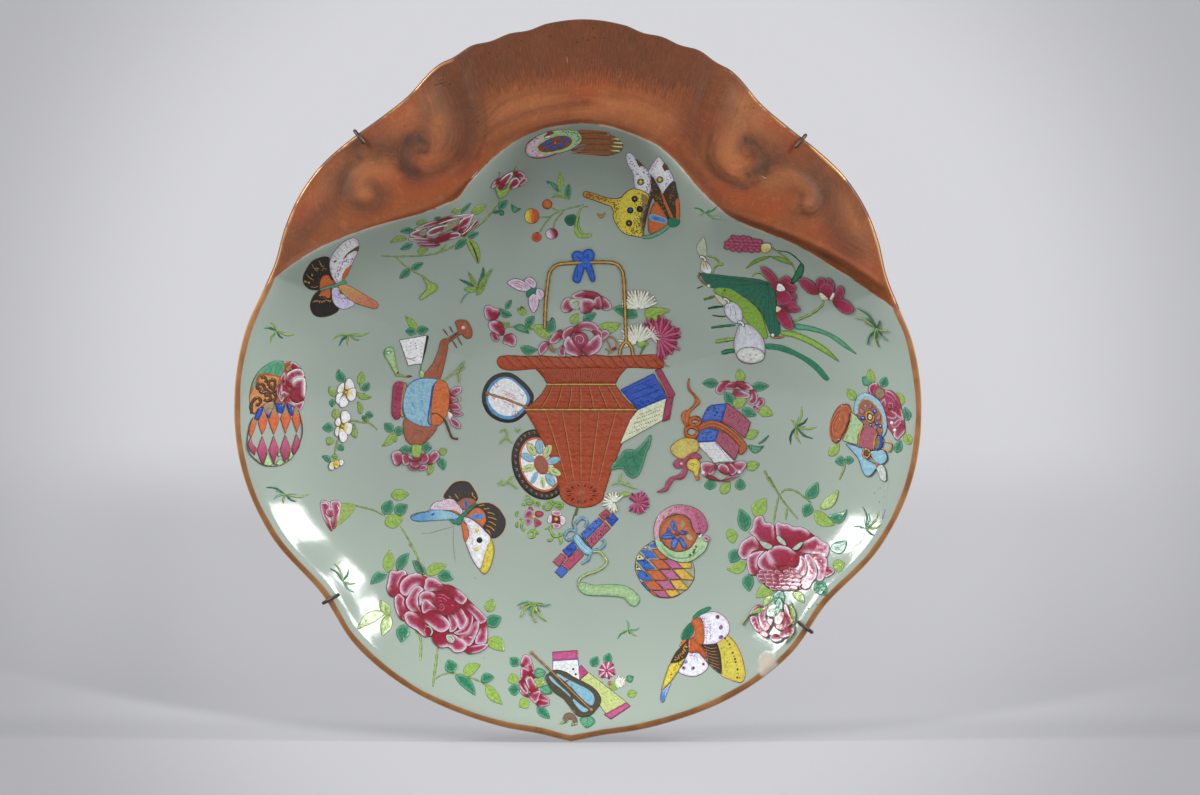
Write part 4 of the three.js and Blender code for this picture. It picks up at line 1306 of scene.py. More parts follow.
class Painting:
    """Enamels in picture coordinates. Each fill lies a little over the one before it."""

    def __init__(self):
        self.begin()

    def begin(self):
        self.points, self.lifts, self.colours, self.faces, self.total = [], [], [], [], 0

    def on(self, left, top, scale):
        """Start a motif on the grid of an enlarged view of the picture."""
        self.corner, self.scale, self.lift = np.array([left, top], float), scale, FIRST_LAYER

    def path(self, points, smooth=False, closed=False):
        points = self.corner + read_points(points) / self.scale
        return smooth_path(points, 6, closed) if smooth and len(points) > 2 else points

    def add(self, points, lifts, colours, faces):
        self.points.append(points)
        self.lifts.append(lifts)
        self.colours.append(colours)
        self.faces += [[self.total + i for i in face] for face in faces]
        self.total += len(points)

    def fill(self, outline, colour, line="ink", corners=False, width=0.75, dome=CUSHION_RISE):
        """A cushion of enamel, with its dark outline."""
        path = self.path(outline, not corners, True)
        edge = resampled(path, EDGE_SPACING, True) if not corners else np.vstack(
            [resampled(np.array(pair), EDGE_SPACING)[:-1] for pair in zip(path, np.roll(path, -1, 0))])
        along = np.roll(edge, -1, 0) - np.roll(edge, 1, 0)
        if np.sum(edge[:, 0] * np.roll(edge[:, 1], -1) - edge[:, 1] * np.roll(edge[:, 0], -1)) < 0:
            edge, along = edge[::-1], -along[::-1]
        inward = np.stack([-along[:, 1], along[:, 0]], -1) / (np.hypot(*along.T)[:, None] + 1e-9)
        low, high = edge.min(0), edge.max(0)
        grid = [(x + (k % 2) * ROW_SHIFT, y)
                for k, y in enumerate(np.arange(low[1], high[1], ROW_SPACING))
                for x in np.arange(low[0], high[0], SPOT_SPACING)]
        spots = np.vstack([edge + inward * NEAR_RING, (edge + inward * FAR_RING)[::2],
                           np.array(grid).reshape(-1, 2)])
        ring = np.vstack([edge, edge[:1]])
        kept = inside_outline(edge, spots)
        depth = distance_to(ring, spots[:, 0], spots[:, 1])
        need = np.repeat([NEAR_CLEAR, FAR_CLEAR, GRID_CLEAR], [len(edge), (len(edge) + 1) // 2, len(grid)])
        spots = spots[kept & (depth > need)]
        points, _, triangles, _, _, _ = geometry.delaunay_2d_cdt(
            [Vector(p) for p in np.vstack([edge, spots])], [], [list(range(len(edge)))], 1, 1e-5)
        points = np.array([tuple(p) for p in points])
        depth = distance_to(ring, points[:, 0], points[:, 1])
        shade = colour(points, depth) if callable(colour) else np.tile(colour_of(colour), (len(points), 1))
        count, edges = len(points), {}
        faces = []
        for a, b, c in triangles:
            faces += [(a, c, b), (a + count, b + count, c + count)]
            for pair in ((a, c), (c, b), (b, a)):
                edges[pair] = True
        faces += [(b, a, a + count, b + count) for a, b in edges if (b, a) not in edges]
        top = self.lift + dome * ease(depth / CUSHION_SLOPE)
        self.add(np.vstack([points, points]), np.concatenate([top, np.full(count, CUSHION_SKIRT)]),
                 np.vstack([shade, shade]), faces)
        if line:
            self.line(np.vstack([path, path[:1]]), line, width, 0, 0.02, placed=True)
        self.lift += LAYER_STEP

    def line(self, points, colour="ink", width=0.8, taper=0.6, rise=None, smooth=True, placed=False):
        """A fine ribbon. Taper is how much thinner its ends are."""
        path = points if placed else self.path(points, smooth)
        path = resampled(path, RIBBON_SPACING)
        t = np.linspace(0, 1, len(path))
        half = width / 2 * (1 - taper + taper * np.sin(np.pi * np.clip(t, 0.03, 0.97)) ** 0.6)
        half = half * (1 + 0.12 * np.sin(t * len(path) * 0.9 + self.total))
        along = np.gradient(path, axis=0)
        aside = np.stack([-along[:, 1], along[:, 0]], -1) / (np.hypot(*along.T)[:, None] + 1e-9)
        aside = aside * half[:, None]
        top = self.lift + (RIBBON_RISE if rise is None else rise)
        rings = np.stack([path - aside, path, path + aside, path], 1).reshape(-1, 2)
        lifts = np.tile([top - 0.05, top, top - 0.05, CUSHION_SKIRT], len(path))
        faces = []
        for k in range(len(path) - 1):
            a = 4 * k
            faces += [(a + i, a + (i + 1) % 4, a + 4 + (i + 1) % 4, a + 4 + i) for i in range(4)]
        last = 4 * (len(path) - 1)
        faces += [(3, 2, 1, 0), (last, last + 1, last + 2, last + 3)]
        self.add(rings, lifts, np.tile(colour_of(colour), (len(rings), 1)), faces)

    def lines(self, colour, width, *paths, **how):
        for path in paths:
            self.line(path, colour, width, **how)

    def dots(self, spots, colour, radius, line=None):
        """Small round drops of enamel. The radius is in picture points."""
        for x, y in read_points(spots):
            turn = np.linspace(0, 2 * np.pi, DROP_SIDES + 1)[:-1]
            centre = self.corner + np.array([x, y]) / self.scale
            rim = centre + radius * np.stack([np.cos(turn), np.sin(turn)], -1)
            lift = self.lift + RIBBON_RISE
            low = DROP_SIDES + 1
            points = np.vstack([rim, centre[None], rim])
            lifts = [lift - 0.01] * DROP_SIDES + [lift + 0.03] + [DROP_SKIRT] * DROP_SIDES
            faces = []
            for i in range(DROP_SIDES):
                n = (i + 1) % DROP_SIDES
                faces += [(DROP_SIDES, n, i), (i, n, low + n, low + i)]
            faces.append(tuple(low + i for i in range(DROP_SIDES)))
            self.add(points, lifts, np.tile(colour_of(colour), (len(points), 1)), faces)
            if line:
                self.line(np.vstack([rim, rim[:1]]), line, 0.5, 0, CUSHION_RISE, placed=True)

    def lay(self, name, material):
        """Lay what was drawn since begin() on the dish, as one piece."""
        flat = np.vstack(self.points)
        plan = from_picture(flat)
        angle, radius = to_polar(plan[:, 0], plan[:, 1])
        height = front_height(angle, radius) + np.concatenate(self.lifts)
        lip = radius > crest_radius(angle)
        height[lip] += lip_relief(angle[lip], radius[lip])[0]
        piece = link_mesh(name, place(plan[:, 0], plan[:, 1], height), self.faces)
        colours = np.hstack([np.vstack(self.colours), np.ones((self.total, 1))])
        paint = piece.data.attributes.new("paint", "FLOAT_COLOR", "POINT")
        paint.data.foreach_set("color", colours.ravel())
        piece.data.materials.append(material)
        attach(piece, "dish")
        print(name, "faces:", len(self.faces))
        self.begin()
        return piece


painting = Painting()
on, fill, stroke, strokes, drops = painting.on, painting.fill, painting.line, painting.lines, painting.dots

# %% [markdown]
# The same few forms come back all over the dish: leaves, petals, stems, grass, chrysanthemums. The painter
# had a set stroke for each one, and so has this script. A leaf is a cushion with a midrib and side veins
# over it.

# %% Leaves and twigs
LEAF_TONES = {"emerald": ("emerald", "jade", "dark_leaf"), "lime": ("lime", "stem", "moss"),
              "jade": ("jade", "emerald", "dark_leaf"), "pale": ("pale_lime", "lime", "moss")}


def leaf(base, tip, width, kind="emerald", bend=0.0, veins=4, line="moss"):
    """A pointed leaf. Bend is how far its middle swings aside, as a share of its length."""
    base, tip = read_points(base).reshape(-1), read_points(tip).reshape(-1)
    run = tip - base
    aside = np.array([-run[1], run[0]])

    def spine(t):
        return base + run * t + aside * bend * 4 * t * (1 - t)

    def swell(t):
        return 0.5 * width / math.hypot(*run) * math.sin(math.pi * t ** 0.8) ** 0.85

    left = [spine(t) + aside * swell(t) for t in (0.12, 0.3, 0.5, 0.7, 0.86)]
    right = [spine(t) - aside * swell(t) for t in (0.86, 0.7, 0.5, 0.3, 0.12)]
    outline = [spine(0), *left, spine(1), *right]
    inner, outer, vein = LEAF_TONES[kind]
    painting.fill(outline, rimmed(outer, inner, 2.4), line if kind != "emerald" else "dark_leaf", width=0.5)
    painting.line([spine(t) for t in (0.02, 0.3, 0.6, 0.9)], vein, 0.7)
    for k in range(veins):
        t = 0.2 + 0.55 * k / max(veins - 1, 1)
        for side in (-1, 1):
            end = spine(t + 0.14) + side * aside * swell(t + 0.14) * 0.75
            painting.line([spine(t), end], vein, 0.4, smooth=False)


def leaves(kind, *specs, **how):
    for base, tip, width, *bend in specs:
        leaf(base, tip, width, kind, *bend, **how)


def twig(*paths, colour="stem", width=1.3, edge="moss"):
    for path in paths:
        painting.line(path, edge, width + 0.5, 0.35, 0.03)
        painting.line(path, colour, width, 0.35, 0.05)


# %% [markdown]
# A petal is shaded over the enamel while it is wet, from the flower's heart outwards, and its rim is left
# pale. Grass and chrysanthemums are single strokes of the brush, thick in the middle and thin at the ends.

# %% Petals, grass and chrysanthemums
def petals(centre, *outlines, deep="deep", middle="rose", pale="blush", reach=4.4, line="ink", width=0.65):
    """Petals round a centre, pale along their outer edges and deep towards the heart."""
    heart = painting.path([read_points(centre).reshape(-1)])[0]
    for outline in outlines:
        ring = painting.path(outline)
        far = np.hypot(*(ring - heart).T)
        root, tip = ring[np.argmin(far)], ring[np.argmax(far)]

        def shade(points, depth, root=root, tip=tip):
            run = tip - root
            share = (points - root) @ run / (run @ run)
            body = blend_colours(deep, middle, ease(share * 1.3))
            margin = (1 - ease(depth / min(reach, 0.7 * depth.max()))) * ease((share - 0.12) / 0.35)
            return body * (1 - margin[:, None]) + colour_of(pale) * margin[:, None]

        painting.fill(outline, shade, line, width=width)


def grass(root, blades, colours=("jade", "stem"), width=1.5):
    """A tuft of fine blades. Each blade is the offset of its tip from the root."""
    x, y = read_points(root).reshape(-1)
    for k, (dx, dy) in enumerate(read_points(blades)):
        painting.line([(x, y), (x + dx * 0.55 - dy * 0.12, y + dy * 0.55 + dx * 0.12), (x + dx, y + dy)],
                      colours[k % len(colours)], width, 0.85, 0.05)
        painting.line([(x, y), (x + dx * 0.5, y + dy * 0.5)], "moss", 0.5, 0.8, 0.065)


def ring_of(centre, radii, spin=0.0, count=28, start=0, stop=360):
    """Points of a turned ellipse, in grid coordinates."""
    cx, cy = read_points(centre).reshape(-1)
    c, s = math.cos(math.radians(spin)), math.sin(math.radians(spin))
    turns = np.radians(np.linspace(start, stop, count, endpoint=stop - start < 360))
    return [(cx + radii[0] * math.cos(t) * c - radii[1] * math.sin(t) * s,
             cy + radii[0] * math.cos(t) * s + radii[1] * math.sin(t) * c) for t in turns]


def mum(centre, radius, colour, start=0, stop=360, count=18, width=2.6, line="umber", heart=None, seed=3):
    """A chrysanthemum: narrow petals drawn outward, in degrees clockwise from the right."""
    rng = random.Random(seed)
    cx, cy = read_points(centre).reshape(-1)
    for k in range(count):
        turn = math.radians(start + (stop - start) * (k + 0.5) / count)
        reach = radius * rng.uniform(0.78, 1.05)
        ends = [(cx + reach * s * math.cos(turn + b), cy + reach * s * math.sin(turn + b))
                for s, b in ((0.08, 0), (0.55, rng.uniform(-0.06, 0.06)), (1, 0))]
        painting.line(ends, line, width + 0.7, 0.5, 0.04)
        tint = colour[k % len(colour)] if isinstance(colour, (list, tuple)) else colour
        painting.line(ends, tint, width, 0.5, 0.065)
    if heart:
        painting.dots([(cx, cy)], heart, radius / painting.scale * 0.2, line)


# %% [markdown]
# The rest are fillings: short strokes strewn over wings and cloth, straight-sided panels, and rows of plain
# strokes for the signs on the books, which are not copied.

# %% Strewn strokes, panels and rows of strokes
def ticks(path, colour, count, width=0.7, size=7.0, seed=1, spread=10.0):
    """Short strokes scattered along a path, as on the butterflies' wings."""
    rng = random.Random(seed)
    points = painting.path(path, True)
    spots = (resampled(points, 0.5) - painting.corner) * painting.scale
    for k in range(count):
        strewn = [rng.uniform(-spread, spread), rng.uniform(-spread, spread)]
        x, y = spots[int((k + 0.5) / count * len(spots))] + strewn
        turn = rng.uniform(0, math.pi)
        dx, dy = size * math.cos(turn), size * math.sin(turn)
        painting.line([(x - dx, y - dy), (x + dx, y + dy)], colour, width, 0.4, smooth=False)


def quad(corners, colour, line="ink", width=0.75):
    painting.fill(corners, colour, line, corners=True, width=width)


def glyphs(rows, colour, seed, width=0.55, size=5.0):
    """Rows of short plain strokes where the painter put signs, each by start, end and count."""
    rng = random.Random(seed)
    for start, end, count in rows:
        a, b = read_points(start).reshape(-1), read_points(end).reshape(-1)
        for k in range(count):
            x, y = a + (b - a) * (k + 0.5) / count
            dx, dy = rng.uniform(0.4, 1) * size, rng.uniform(-0.7, 0.7) * size
            painting.line([(x - dx, y - dy), (x + dx, y + dy)], colour, width, 0.4, smooth=False)

# %% [markdown]
# ## The two large peonies
#
# Rose-pink from colloidal gold gives this painting style its name. The painter laid white enamel first and
# dragged the rose over it, so each petal is deep at its root and nearly white along its outer edge.

# %% Left peony
on(365, 545, 9.8)
twig("430,-10 500,80 525,150 580,280", "690,1310 760,1270 860,1255 1000,1290 1110,1330 1230,1400")
twig("490,840 545,920 545,1135", "665,1385 690,1200 715,1000", width=2)
leaves("lime", ("220,270", "245,50", 110), ("600,290", "800,195", 110, -0.05),
       ("1200,655", "1255,530", 105), ("1200,930", "1362,1040", 135, -0.12), ("235,690", "150,540", 95),
       ("190,665", "-75,825", 110, 0.1), ("240,690", "172,890", 115),
       ("970,1285", "1130,1170", 110, -0.1), ("1190,1370", "1345,1560", 100, 0.06))
leaves("emerald", ("320,245", "430,78", 100, -0.05), ("215,285", "55,385", 95, 0.1),
       ("590,285", "470,150", 85), ("720,300", "868,332", 110, -0.1), ("1195,780", "1332,703", 130),
       ("380,780", "360,952", 128), ("865,1245", "815,1125", 120), ("890,1275", "1080,1470", 100, -0.08),
       ("1140,1330", "1265,1290", 95, -0.1))
stroke("500,150 540,200 570,290", "umber", 1.6)
fill("260,262 370,247 405,275 440,296 510,281 570,305 690,336 755,381 850,405 930,455 1090,613 1178,703 "
     "1188,760 1196,850 1187,980 1140,1032 1040,1057 960,1034 880,1043 820,997 740,999 688,960 660,902 "
     "570,882 428,778 338,700 303,620 293,515 243,487 220,420 230,370 240,300", "deep")
petals("740,600",
       "255,255 320,255 370,240 405,270 400,300 370,320 340,380 340,460 290,510 240,490 215,420 225,370 "
       "235,300", "300,500 335,470 390,520 385,570 410,640 385,660 375,740 330,700 300,620 290,560",
       "340,400 370,340 440,290 510,275 570,300 600,350 590,400 560,410 520,395 470,420 430,480 400,500 "
       "350,470", "590,350 620,315 690,330 755,380 765,430 740,455 680,450 620,460 580,430",
       "770,430 790,390 850,400 930,450 1000,520 960,580 900,560 850,500",
       "960,590 1010,560 1090,610 1180,700 1190,740 1130,775 1070,700 1010,640",
       "1190,760 1200,850 1190,950 1140,970 1085,965 1090,900 1120,840 1125,780",
       "990,1000 1060,985 1190,965 1200,990 1140,1040 1040,1065 990,1050",
       "385,690 430,650 500,670 560,720 600,790 590,850 610,900 570,890 500,830 420,780",
       "430,480 470,420 520,395 575,440 530,480 520,560 540,650 520,660 440,640 400,560",
       "660,900 700,860 780,850 860,870 960,930 1000,990 960,1040 880,1050 820,1000 740,1005 680,960",
       "1060,760 1110,750 1115,820 1060,950 1010,990 940,930 900,880 1000,850",
       "960,660 1010,650 1060,700 1050,780 1010,850 930,880 870,860 960,810 1000,740",
       "860,640 920,610 960,640 1000,720 990,780 930,830 900,750",
       "800,660 850,670 890,720 915,780 880,840 830,850 830,770",
       "540,480 600,450 670,470 710,520 700,570 680,590 620,560 560,560 540,600 530,540",
       "570,690 610,645 680,650 760,690 830,760 820,820 760,855 700,840 620,780 580,740")
fill("690,470 760,460 830,500 900,560 940,600 880,640 800,690 740,680 700,620 700,540", "deep")
petals("700,700", "555,580 590,530 640,560 700,620 690,650 640,640 570,670")
strokes("pink", 1.1, "715,485 770,490 830,530", "715,515 765,520 805,550", "720,545 760,548",
        "730,600 745,580 770,590 775,620 750,640 725,625", "745,610 755,600", "845,590 870,590")
strokes("glaze", 1.6, "600,790 640,810 660,850 640,890", "1020,900 1060,910")
fill("800,880 850,880 880,920 860,960 820,950 800,920", "glaze", corners=False)
stroke("820,905 850,900 860,935", "umber", 1.2)

# %% [markdown]
# The right peony starts with its twigs and leaves. A crimson ground in the outline of the whole flower
# follows, so that no glaze shows through the gaps between the petals. The petals go from the outer ones
# inward.

# %% Right peony and its bud
on(725, 480, 8.708)
twig("385,-30 470,130 550,240 635,340", "470,140 445,240 425,370", "480,120 530,85 620,100 750,200",
     "540,250 530,350", width=1.5)
leaves("lime", ("255,315", "355,160", 130), ("15,500", "110,470", 130), ("185,730", "15,775", 100, -0.1),
       ("780,270", "960,390", 110, 0.12), ("940,740", "1045,730", 110, 0.1),
       ("430,940", "270,1025", 110, 0.1), ("590,980", "690,1070", 80, -0.1),
       ("330,1110", "470,1020", 60, -0.2))
leaves("emerald", ("180,445", "130,250", 115, 0.05), ("110,610", "50,720", 110),
       ("205,820", "210,970", 100, 0.05), ("705,160", "805,20", 100, 0.08), ("740,210", "690,320", 95),
       ("920,610", "1060,530", 110, 0.1), ("790,890", "880,1000", 115), ("900,320", "1060,260", 90, 0.25),
       ("480,960", "470,1110", 105, 0.05))
leaves("pale", ("830,250", "985,90", 85, .08))
fill("253,353 290,318 330,325 350,373 440,401 500,385 600,415 660,415 720,445 790,495 840,535 897,565 "
     "902,620 882,680 885,720 878,768 928,775 940,800 868,836 800,869 760,885 680,945 600,949 400,949 "
     "330,897 262,826 215,806 195,693 153,686 120,640 125,602 142,555 192,514 243,487 220,450 243,410",
     "deep")
petals("500,740",
       "250,350 290,312 330,320 350,370 400,375 430,410 440,500 430,580 380,585 340,560 290,540 240,480 "
       "215,450 240,410",
       "440,400 460,365 500,380 550,385 600,410 660,410 720,440 740,470 710,520 650,550 560,580 500,570 "
       "450,500", "120,600 140,550 190,510 250,490 300,560 320,600 240,620 200,680 150,690 115,640",
       "600,600 650,560 720,520 790,490 840,530 900,560 905,620 880,670 820,650 740,640 660,630",
       "190,690 230,640 300,620 340,620 290,680 280,750 310,800 260,830 210,810",
       "760,680 820,640 880,680 890,720 880,800 850,870 800,870 810,780",
       "880,760 930,770 950,800 910,835 870,840",
       "690,660 740,650 790,740 800,830 760,890 730,940 680,950 640,900 650,860 700,830 720,760",
       "290,690 330,640 370,620 400,700 470,770 420,820 360,810 320,780 285,740",
       "540,800 600,770 640,740 650,660 700,690 710,770 690,830 600,850 550,830",
       "365,640 400,590 470,570 540,580 600,620 650,670 640,730 600,755 540,740 480,750 430,740 390,690")
for row, (y, x0, x1, count) in enumerate(((800, 300, 640, 5), (835, 270, 650, 6), (870, 300, 650, 6),
                                          (905, 350, 640, 5), (935, 400, 620, 4))):
    for k in range(count):
        x = x0 + (x1 - x0) * (k + 0.5 + 0.2 * (row % 2)) / count
        petals((500, 700), [(x - 38, y - 12), (x, y - 20), (x + 38, y - 4), (x + 34, y + 16), (x, y + 24),
                            (x - 34, y + 14)], reach=1.6)
fill("300,535 350,540 410,570 390,600 340,590", "glaze")
fill("460,480 500,510 530,550 525,570 480,550 450,510", "glaze")
fill("590,590 650,545 680,545 640,600 600,610", "glaze")
petals("480,1200", "215,1160 260,1100 310,1085 280,1140 230,1170",
       "215,1200 250,1180 280,1200 290,1240 350,1310 340,1340 280,1320 240,1270",
       "290,1200 300,1140 360,1095 370,1120 350,1180 370,1230 400,1260 360,1320 310,1280",
       "300,1330 350,1320 385,1340 370,1370 330,1360", "390,1370 440,1340 500,1370 480,1400 420,1405",
       "510,1100 530,1075 560,1150 590,1230 560,1270 500,1310 440,1290 440,1250 500,1240 520,1180",
       "480,1340 560,1280 600,1290 590,1340 520,1370 480,1370", "360,1210 420,1210 400,1270 370,1240",
       "430,1180 460,1140 510,1150 510,1210 470,1260 430,1240")
fill("370,1110 410,1080 450,1090 430,1180 390,1190 360,1170", "glaze")
leaves("emerald", ("475,1020", "415,1200", 75, -.1))
leaves("lime", ("340,1130", "225,1170", 40, .1), ("560,1080", "590,1260", 40, -.1))
strokes("stem", 1, "215,1165 170,1220 150,1260", "600,1260 590,1330 520,1415", "570,1060 600,1180 600,1250")

painting.lay("enamels_peonies", enamel)

# %% [markdown]
# ## The flower basket
#
# The basket in the middle is iron red, a thin colour that is brushed on rather than floated like the
# others. Its flutes, the twisted rim and the rosette underneath are drawn with fine lines of darker red and
# gilt.

# %% What stands behind the basket
on(480, 340, 7.467)
fill("100,270 170,245 240,252 310,300 370,360 400,420 385,480 340,550 280,600 210,617 130,600 60,550 "
     "20,470 20,390 50,320", "black")
fill("110,290 170,266 240,275 300,320 355,375 382,430 368,485 322,548 272,588 210,602 136,585 73,538 "
     "40,465 38,395 65,335", "azure", "navy")
fill("115,312 170,280 235,288 290,330 340,385 360,440 343,490 300,536 255,568 205,577 145,562 92,520 "
     "56,460 54,410 78,352", "white", "azure")
strokes("rose", 0.9, "95,320 120,350 150,345", "120,320 135,345 110,360", "85,420 110,445", "95,440 120,430")
glyphs([("170,375", "260,420", 8), ("180,400", "270,440", 8), ("170,455", "260,500", 8),
        ("200,430", "250,470", 6)],
       "pink", 4, 1.0, 12)
strokes("rose", 0.9, "230,480 250,495 240,460", "235,555 265,575 290,545 260,530 235,555",
        "265,530 262,570", "300,400 320,420 330,400", "190,480 215,500")
stroke("42,395 190,440 352,503", "umber", 4.2, 0, smooth=False)
stroke("42,395 190,440 352,503", "tan", 3.2, 0, 0.08, smooth=False)
fill(ring_of((450, 930), (268, 205), 70), "black")
for k in range(30):
    x, y = ring_of((450, 930), (243, 180), 70, 30)[k]
    stroke([(x - 9, y - 7), (x + 5, y - 10), (x + 8, y + 2), (x - 3, y + 6)], "gold", 1.0, 0.4)
fill(ring_of((450, 930), (218, 158), 70), "orange", "umber")
fill(ring_of((450, 930), (203, 146), 70), "white", "umber")
for k in range(10):
    turn = math.radians(20 + 36 * k)
    c, s = math.cos(math.radians(70)), math.sin(math.radians(70))
    x, y = 136 * math.cos(turn), 96 * math.sin(turn)
    aim = math.degrees(math.atan2(x * s + y * c, x * c - y * s))
    fill(ring_of((455 + x * c - y * s, 930 + x * s + y * c), (54, 27), aim, 14),
         "sky" if k % 2 else "pale_lime", "ink")
    stroke(ring_of((455 + x * c - y * s, 930 + x * s + y * c), (24, 5), aim, 3),
           "umber" if not k % 2 else "azure", 1.4)
fill(ring_of((458, 932), (72, 50), 70), "brick", "orange")
glyphs([("425,910", "485,905", 5), ("430,935", "490,930", 5), ("440,960", "490,955", 5)], "cobalt", 9, 0.7, 5)
quad("1180,520 1390,435 1360,600 1045,778 1120,600", "cream")
quad("1050,372 1295,250 1398,430 1180,522", "cobalt")
quad("1308,225 1350,214 1456,405 1440,432 1398,430", "rose")
quad("1398,430 1442,432 1415,592 1362,610", "rose")
glyphs([("1190,560", "1360,490", 11), ("1170,590", "1350,520", 11), ("1150,625", "1345,555", 12),
        ("1130,660", "1330,590", 12), ("1110,700", "1250,640", 8)], "ink", 12, 0.7, 7)
glyphs([("1090,375", "1290,290", 9), ("1110,410", "1320,330", 10), ("1140,450", "1350,370", 10),
        ("1170,490", "1370,410", 10)], "navy", 14, 0.8, 11)
stroke("1315,240 1405,425", "gold", 0.8, smooth=False)
fill("975,965 1030,880 1090,820 1160,820 1220,770 1275,710 1270,780 1240,850 1210,950 1180,1010 "
     "1140,1030 1100,1010 1060,960", rimmed("jade", "emerald"), "dark_leaf")
strokes("dark_leaf", 0.8, "1000,955 1100,890 1180,850 1260,740", "1090,895 1120,1000",
        "1140,870 1180,960", "1180,850 1225,870", "1090,900 1080,840", "1060,920 1100,980",
        "1140,870 1140,830")
strokes("lime", 1.8, "1055,990 1045,1050 1080,1080", "985,1080 1045,1065 1080,1080 1170,1110",
        "1080,1080 1110,1060", "150,780 175,740 210,740 240,770", "150,690 180,665 205,700 190,740",
        "260,660 290,685 300,660", "130,1065 170,1080 215,1050 250,1010", "215,1050 235,1075 280,1110",
        "170,1080 160,1045", "330,1200 360,1180 400,1200 440,1215", "360,1180 350,1150",
        "400,1200 420,1240", "480,1255 510,1200 560,1240 610,1235", "510,1200 545,1195",
        "560,1240 590,1215")
mum((1000, 1215), 85, ("cream", "white"), 60, 330, 14, 2.2, "tan")
mum((1180, 1215), 90, ("rose", "pink"), -160, 160, 20, 2.2, "violet")
fill("1040,1160 1080,1135 1130,1150 1080,1170", "lime", "moss")

# %% [markdown]
# The flowers overlap, so they are drawn from the back to the front. Each is a few petals round its own
# heart, and small leaves fill the gaps as they do on the dish.

# %% Flowers in the basket
on(470, 240, 6.817)
leaves("lime", ("430,585", "552,685", 80, -0.08), ("385,500", "320,470", 55), ("215,600", "272,565", 40),
       ("690,570", "740,500", 60), ("870,600", "1032,570", 80, 0.08), ("360,590", "430,610", 25))
leaves("emerald", ("285,515", "200,465", 50, -0.15), ("245,470", "282,408", 35),
       ("380,580", "440,520", 55), ("525,625", "575,545", 75), ("345,735", "457,748", 62, 0.1),
       ("770,545", "860,500", 60), ("1140,520", "975,465", 90, 0.06), ("395,600", "410,560", 30))
leaves("jade", ("300,590", "405,637", 48, -.1))
fill("1200,475 1260,460 1362,480 1310,510 1310,552 1250,562 1200,530", rimmed("stem", "lime"), "moss")
strokes("moss", 0.7, "1210,530 1270,500 1350,485", "1240,515 1250,550", "1265,505 1290,540")
strokes("umber", 1.2, "340,480 350,455 370,470", "545,560 560,530 575,545")
petals("230,570", "100,460 130,445 165,465 195,470 200,510 170,545 120,545 100,510",
       "125,570 160,550 210,560 235,610 225,650 180,640 140,610",
       "140,640 170,630 195,660 195,690 160,685", "225,700 240,650 290,640 315,680 300,727 250,710")
twig("215,560 260,590 300,590", width=0.9)
for outline in ("255,290 310,265 370,285 420,335 400,350 340,345 290,320",
                "370,275 410,255 450,290 440,330 400,310",
                "455,330 500,350 505,380 480,410 450,380", "420,370 460,380 465,440 435,495 405,450 400,400"):
    fill(outline, rimmed("lilac", "blush"), "umber")
strokes("rose", 0.6, "275,290 330,300 390,330", "300,280 350,290 400,325", "300,305 360,330",
        "385,270 430,310", "400,265 440,300", "470,345 490,390", "425,385 430,470", "440,390 445,460",
        "415,400 420,440")
fill("385,365 400,340 445,325 450,345 420,375 395,390", "emerald", "ink")
petals("800,470", "620,450 650,400 685,405 695,480 640,492",
       "690,385 750,350 830,350 885,375 870,402 800,395 740,402",
       "880,380 940,410 965,460 930,480 890,460", "850,400 885,385 905,440 880,472 850,460",
       "760,400 830,405 852,440 820,490 765,498 748,450")
fill("680,410 740,400 762,430 735,470 690,460", "glaze", "tan")
stroke("700,430 740,420 735,455", "tan", 2.5)
mum((1150, 470), 135, ("cream", "white"), -178, -15, 16, 2.6, "tan")
mum((1140, 700), 135, ("cream", "white"), -200, -20, 17, 2.6, "tan")
mum((1290, 670), 155, ("rose", "pink"), -140, 100, 22, 3.2, "rose", seed=5)
mum((1230, 650), 70, ("cream", "blush"), -120, 60, 8, 2.4, "tan")
stroke("1200,700 1160,780", "moss", 2.2)
fill("1140,700 1180,690 1215,705 1180,730 1150,725", "lime", "moss")
petals("750,700", "465,740 500,695 542,700 522,750 480,785",
       "540,692 570,640 622,612 632,660 590,700 560,706",
       "630,665 640,620 690,590 712,600 692,650 650,685", "870,640 920,612 952,640 905,680",
       "700,605 760,560 830,560 878,600 850,625 780,610 720,632",
       "830,612 882,612 905,650 882,705 850,650",
       "640,700 670,655 702,690 750,740 760,792 700,787 650,762",
       "760,745 810,690 860,650 882,640 903,700 872,760 800,790", "605,745 640,720 650,790 610,785",
       deep="deep")
fill("698,660 740,628 790,645 803,700 765,742 718,722", "rose", "ink")
strokes("blush", 0.9, "720,690 720,660 750,650 775,670 765,700 740,700 738,680")
strokes("deep", 1.6, "730,710 760,725 785,700", "720,640 760,632")
strokes("tan", 1.6, "530,720 560,760 590,740", "550,710 580,770", "900,700 960,660 1000,700 980,760",
        "930,680 960,740 940,780", "920,740 970,770")
drops("978,745 990,740", "deep", 1.6)

# %% [markdown]
# The handle is bent cane. A dark ribbon with a narrower gold one over it leaves a fine dark edge on both
# sides, which is how the painter drew it too. A thin lemon line along the middle of the gold is a painted
# highlight.

# %% Handle and bow
handle = ("510,605 515,450 530,300 545,220 590,172 680,158 850,152 980,158 1030,200 1048,270 "
          "1055,420 1060,560 1065,690")
ear = "1020,782 1030,730 1065,695 1100,730 1112,788"
